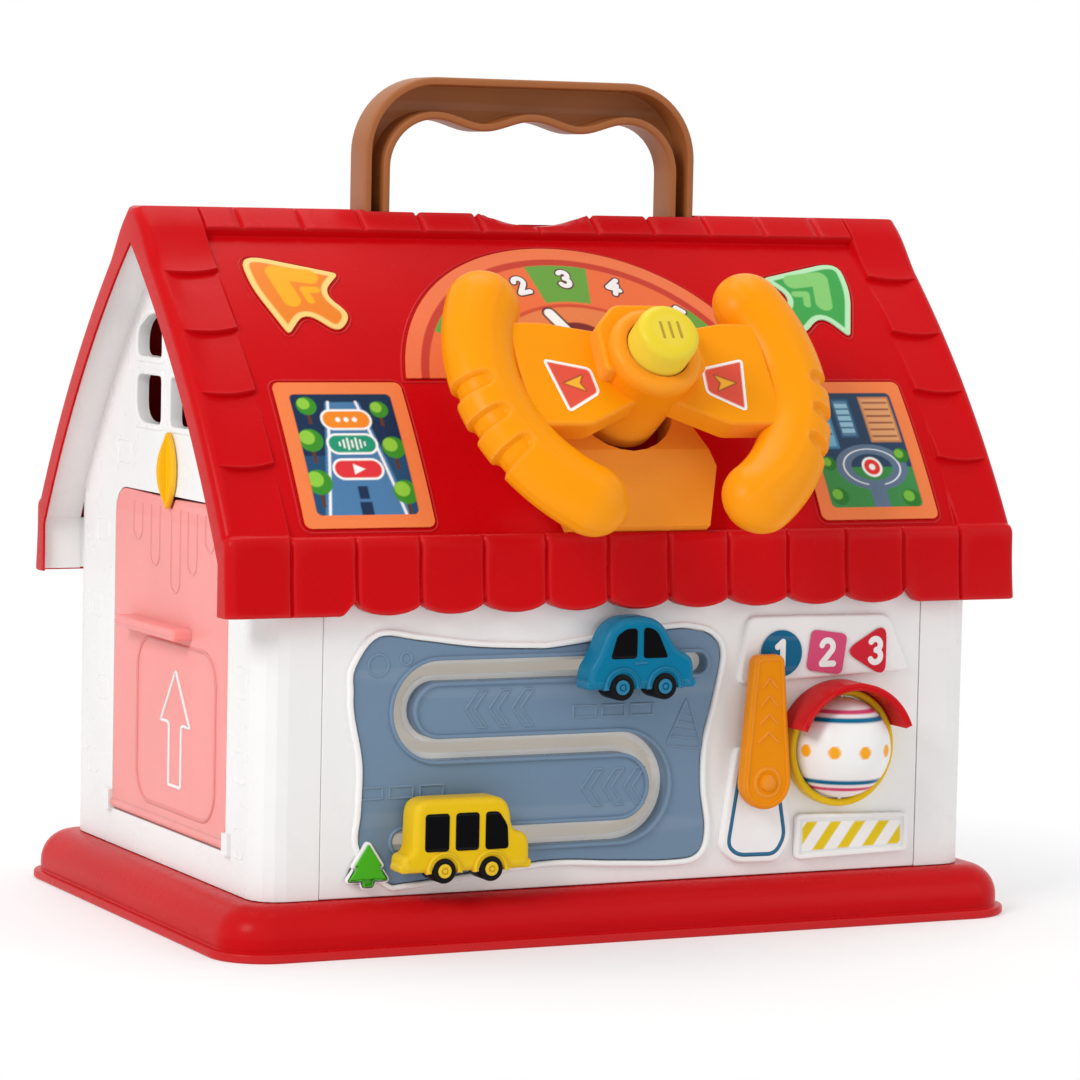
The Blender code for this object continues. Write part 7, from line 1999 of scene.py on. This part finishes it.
class BuildStage(bpy.types.Operator):
    """White floor, soft studio lamps and the camera at the photograph's angle"""

    bl_idname = "house.stage"
    bl_label = "Stage"

    def execute(self, context):
        scene = context.scene
        turn = np.linspace(0, math.tau, 96, endpoint=False)
        radii = np.array([0.02, 0.2, 0.5, 1.0, 2.0, 4.0])
        flat = [np.outer(radii, np.cos(turn)), np.outer(radii, np.sin(turn))]
        points, faces = skin(np.stack([*flat, np.zeros((len(radii), len(turn)))], -1))
        floor = mesh_object("studio_floor", points, [group[:, ::-1] for group in faces[:2]])
        floor.data.materials.append(floor_finish())
        area_light("key_lamp", (-1.5, -0.7, 1.2), 0.7, 18.0)
        area_light("fill_lamp", (1.2, -1.1, 0.7), 1.0, 4.5)
        area_light("top_lamp", (0.1, 0.3, 1.7), 1.0, 9.0)
        white_room(scene)
        place_camera(scene)
        scene.view_settings.view_transform = "Standard"
        return {"FINISHED"}


def floor_finish():
    """White floor with the shadow near the house, which fades to plain white for the camera farther out."""
    material = bpy.data.materials.new("studio floor finish")
    material.use_nodes = True
    tree = material.node_tree
    shader, output = tree.nodes["Principled BSDF"], tree.nodes["Material Output"]
    set_inputs(shader, {"Base Color": (0.62, 0.62, 0.62, 1), "Emission Color": (1, 1, 1, 1),
                        "Emission Strength": 0.34, "Roughness": 0.7, "Specular IOR Level": 0.2})
    glow = add_node(tree, "Emission", {"Strength": 1.0})
    mix, place, path = (add_node(tree, kind) for kind in ("MixShader", "TexCoord", "LightPath"))
    length = add_node(tree, "VectorMath", operation="LENGTH")
    fade = remap(tree, 0.19, 0.31, interpolation_type="SMOOTHSTEP")
    seen = add_node(tree, "Math", operation="MULTIPLY")
    link_all(tree, (
        (place, "Object", length, 0), (length, "Value", fade, "Value"), (fade, "Result", seen, 0),
        (path, "Is Camera Ray", seen, 1), (seen, "Value", mix, "Fac"), (shader, "BSDF", mix, 1),
        (glow, "Emission", mix, 2), (mix, "Shader", output, "Surface"),
    ))
    return material


def place_camera(scene):
    """Camera on a line from a point above the floor: turned, raised and rolled as the photograph's was."""
    turn, rise = VIEW_TURN, VIEW_RISE
    back = Vector((-math.sin(turn) * math.cos(rise), -math.cos(turn) * math.cos(rise), math.sin(rise)))
    right = Vector((math.cos(turn), -math.sin(turn), 0))
    up = back.cross(right)
    across = right * math.cos(VIEW_ROLL) + up * math.sin(VIEW_ROLL)
    above = up * math.cos(VIEW_ROLL) - right * math.sin(VIEW_ROLL)
    lens_data = bpy.data.cameras.new("photo_camera")
    lens_data.lens = LENS
    lens_data.sensor_width = SENSOR
    lens_data.clip_end = 50
    camera = bpy.data.objects.new("photo_camera", lens_data)
    matrix = Matrix((across, above, back)).transposed().to_4x4()
    matrix.translation = right * VIEW_SHIFT + Vector((0, HOME_Y, VIEW_HEIGHT)) + back * VIEW_DISTANCE
    camera.matrix_world = matrix
    scene.collection.objects.link(camera)
    scene.camera = camera


OPERATORS = (
    FinishNodes, BuildBase, BuildFront, BuildRoad, BuildVehicles, BuildBadges, BuildLever, BuildSignal,
    BuildRoof, BuildLines, BuildWindows, BuildHandle, BuildDoor, BuildWheel, BuildLabels, BuildStage,
)


class HousePanel(bpy.types.Panel):
    """Sizes, colours and the steps that build the house's looks"""

    bl_idname = "VIEW3D_PT_house"
    bl_label = "Activity house"
    bl_space_type = "VIEW_3D"
    bl_region_type = "UI"
    bl_category = "House"

    def draw(self, context):
        for group in (context.scene.house_sizes, context.scene.house_colours):
            for name in group.bl_rna.properties.keys():
                if name not in ("rna_type", "name"):
                    self.layout.prop(group, name)
        for step in OPERATORS:
            self.layout.operator(step.bl_idname)


CLASSES = (HouseColours, HouseSizes, *OPERATORS, HousePanel)


def register():
    for item in CLASSES:
        bpy.utils.register_class(item)
    bpy.types.Scene.house_colours = bpy.props.PointerProperty(type=HouseColours)
    bpy.types.Scene.house_sizes = bpy.props.PointerProperty(type=HouseSizes)


def unregister():
    del bpy.types.Scene.house_sizes
    del bpy.types.Scene.house_colours
    for item in reversed(CLASSES):
        bpy.utils.unregister_class(item)


def main():
    """Build every piece in order."""
    register()
    for step in OPERATORS:
        getattr(bpy.ops.house, step.bl_idname.split(".")[1])()


if __name__ == "__main__":
    main()
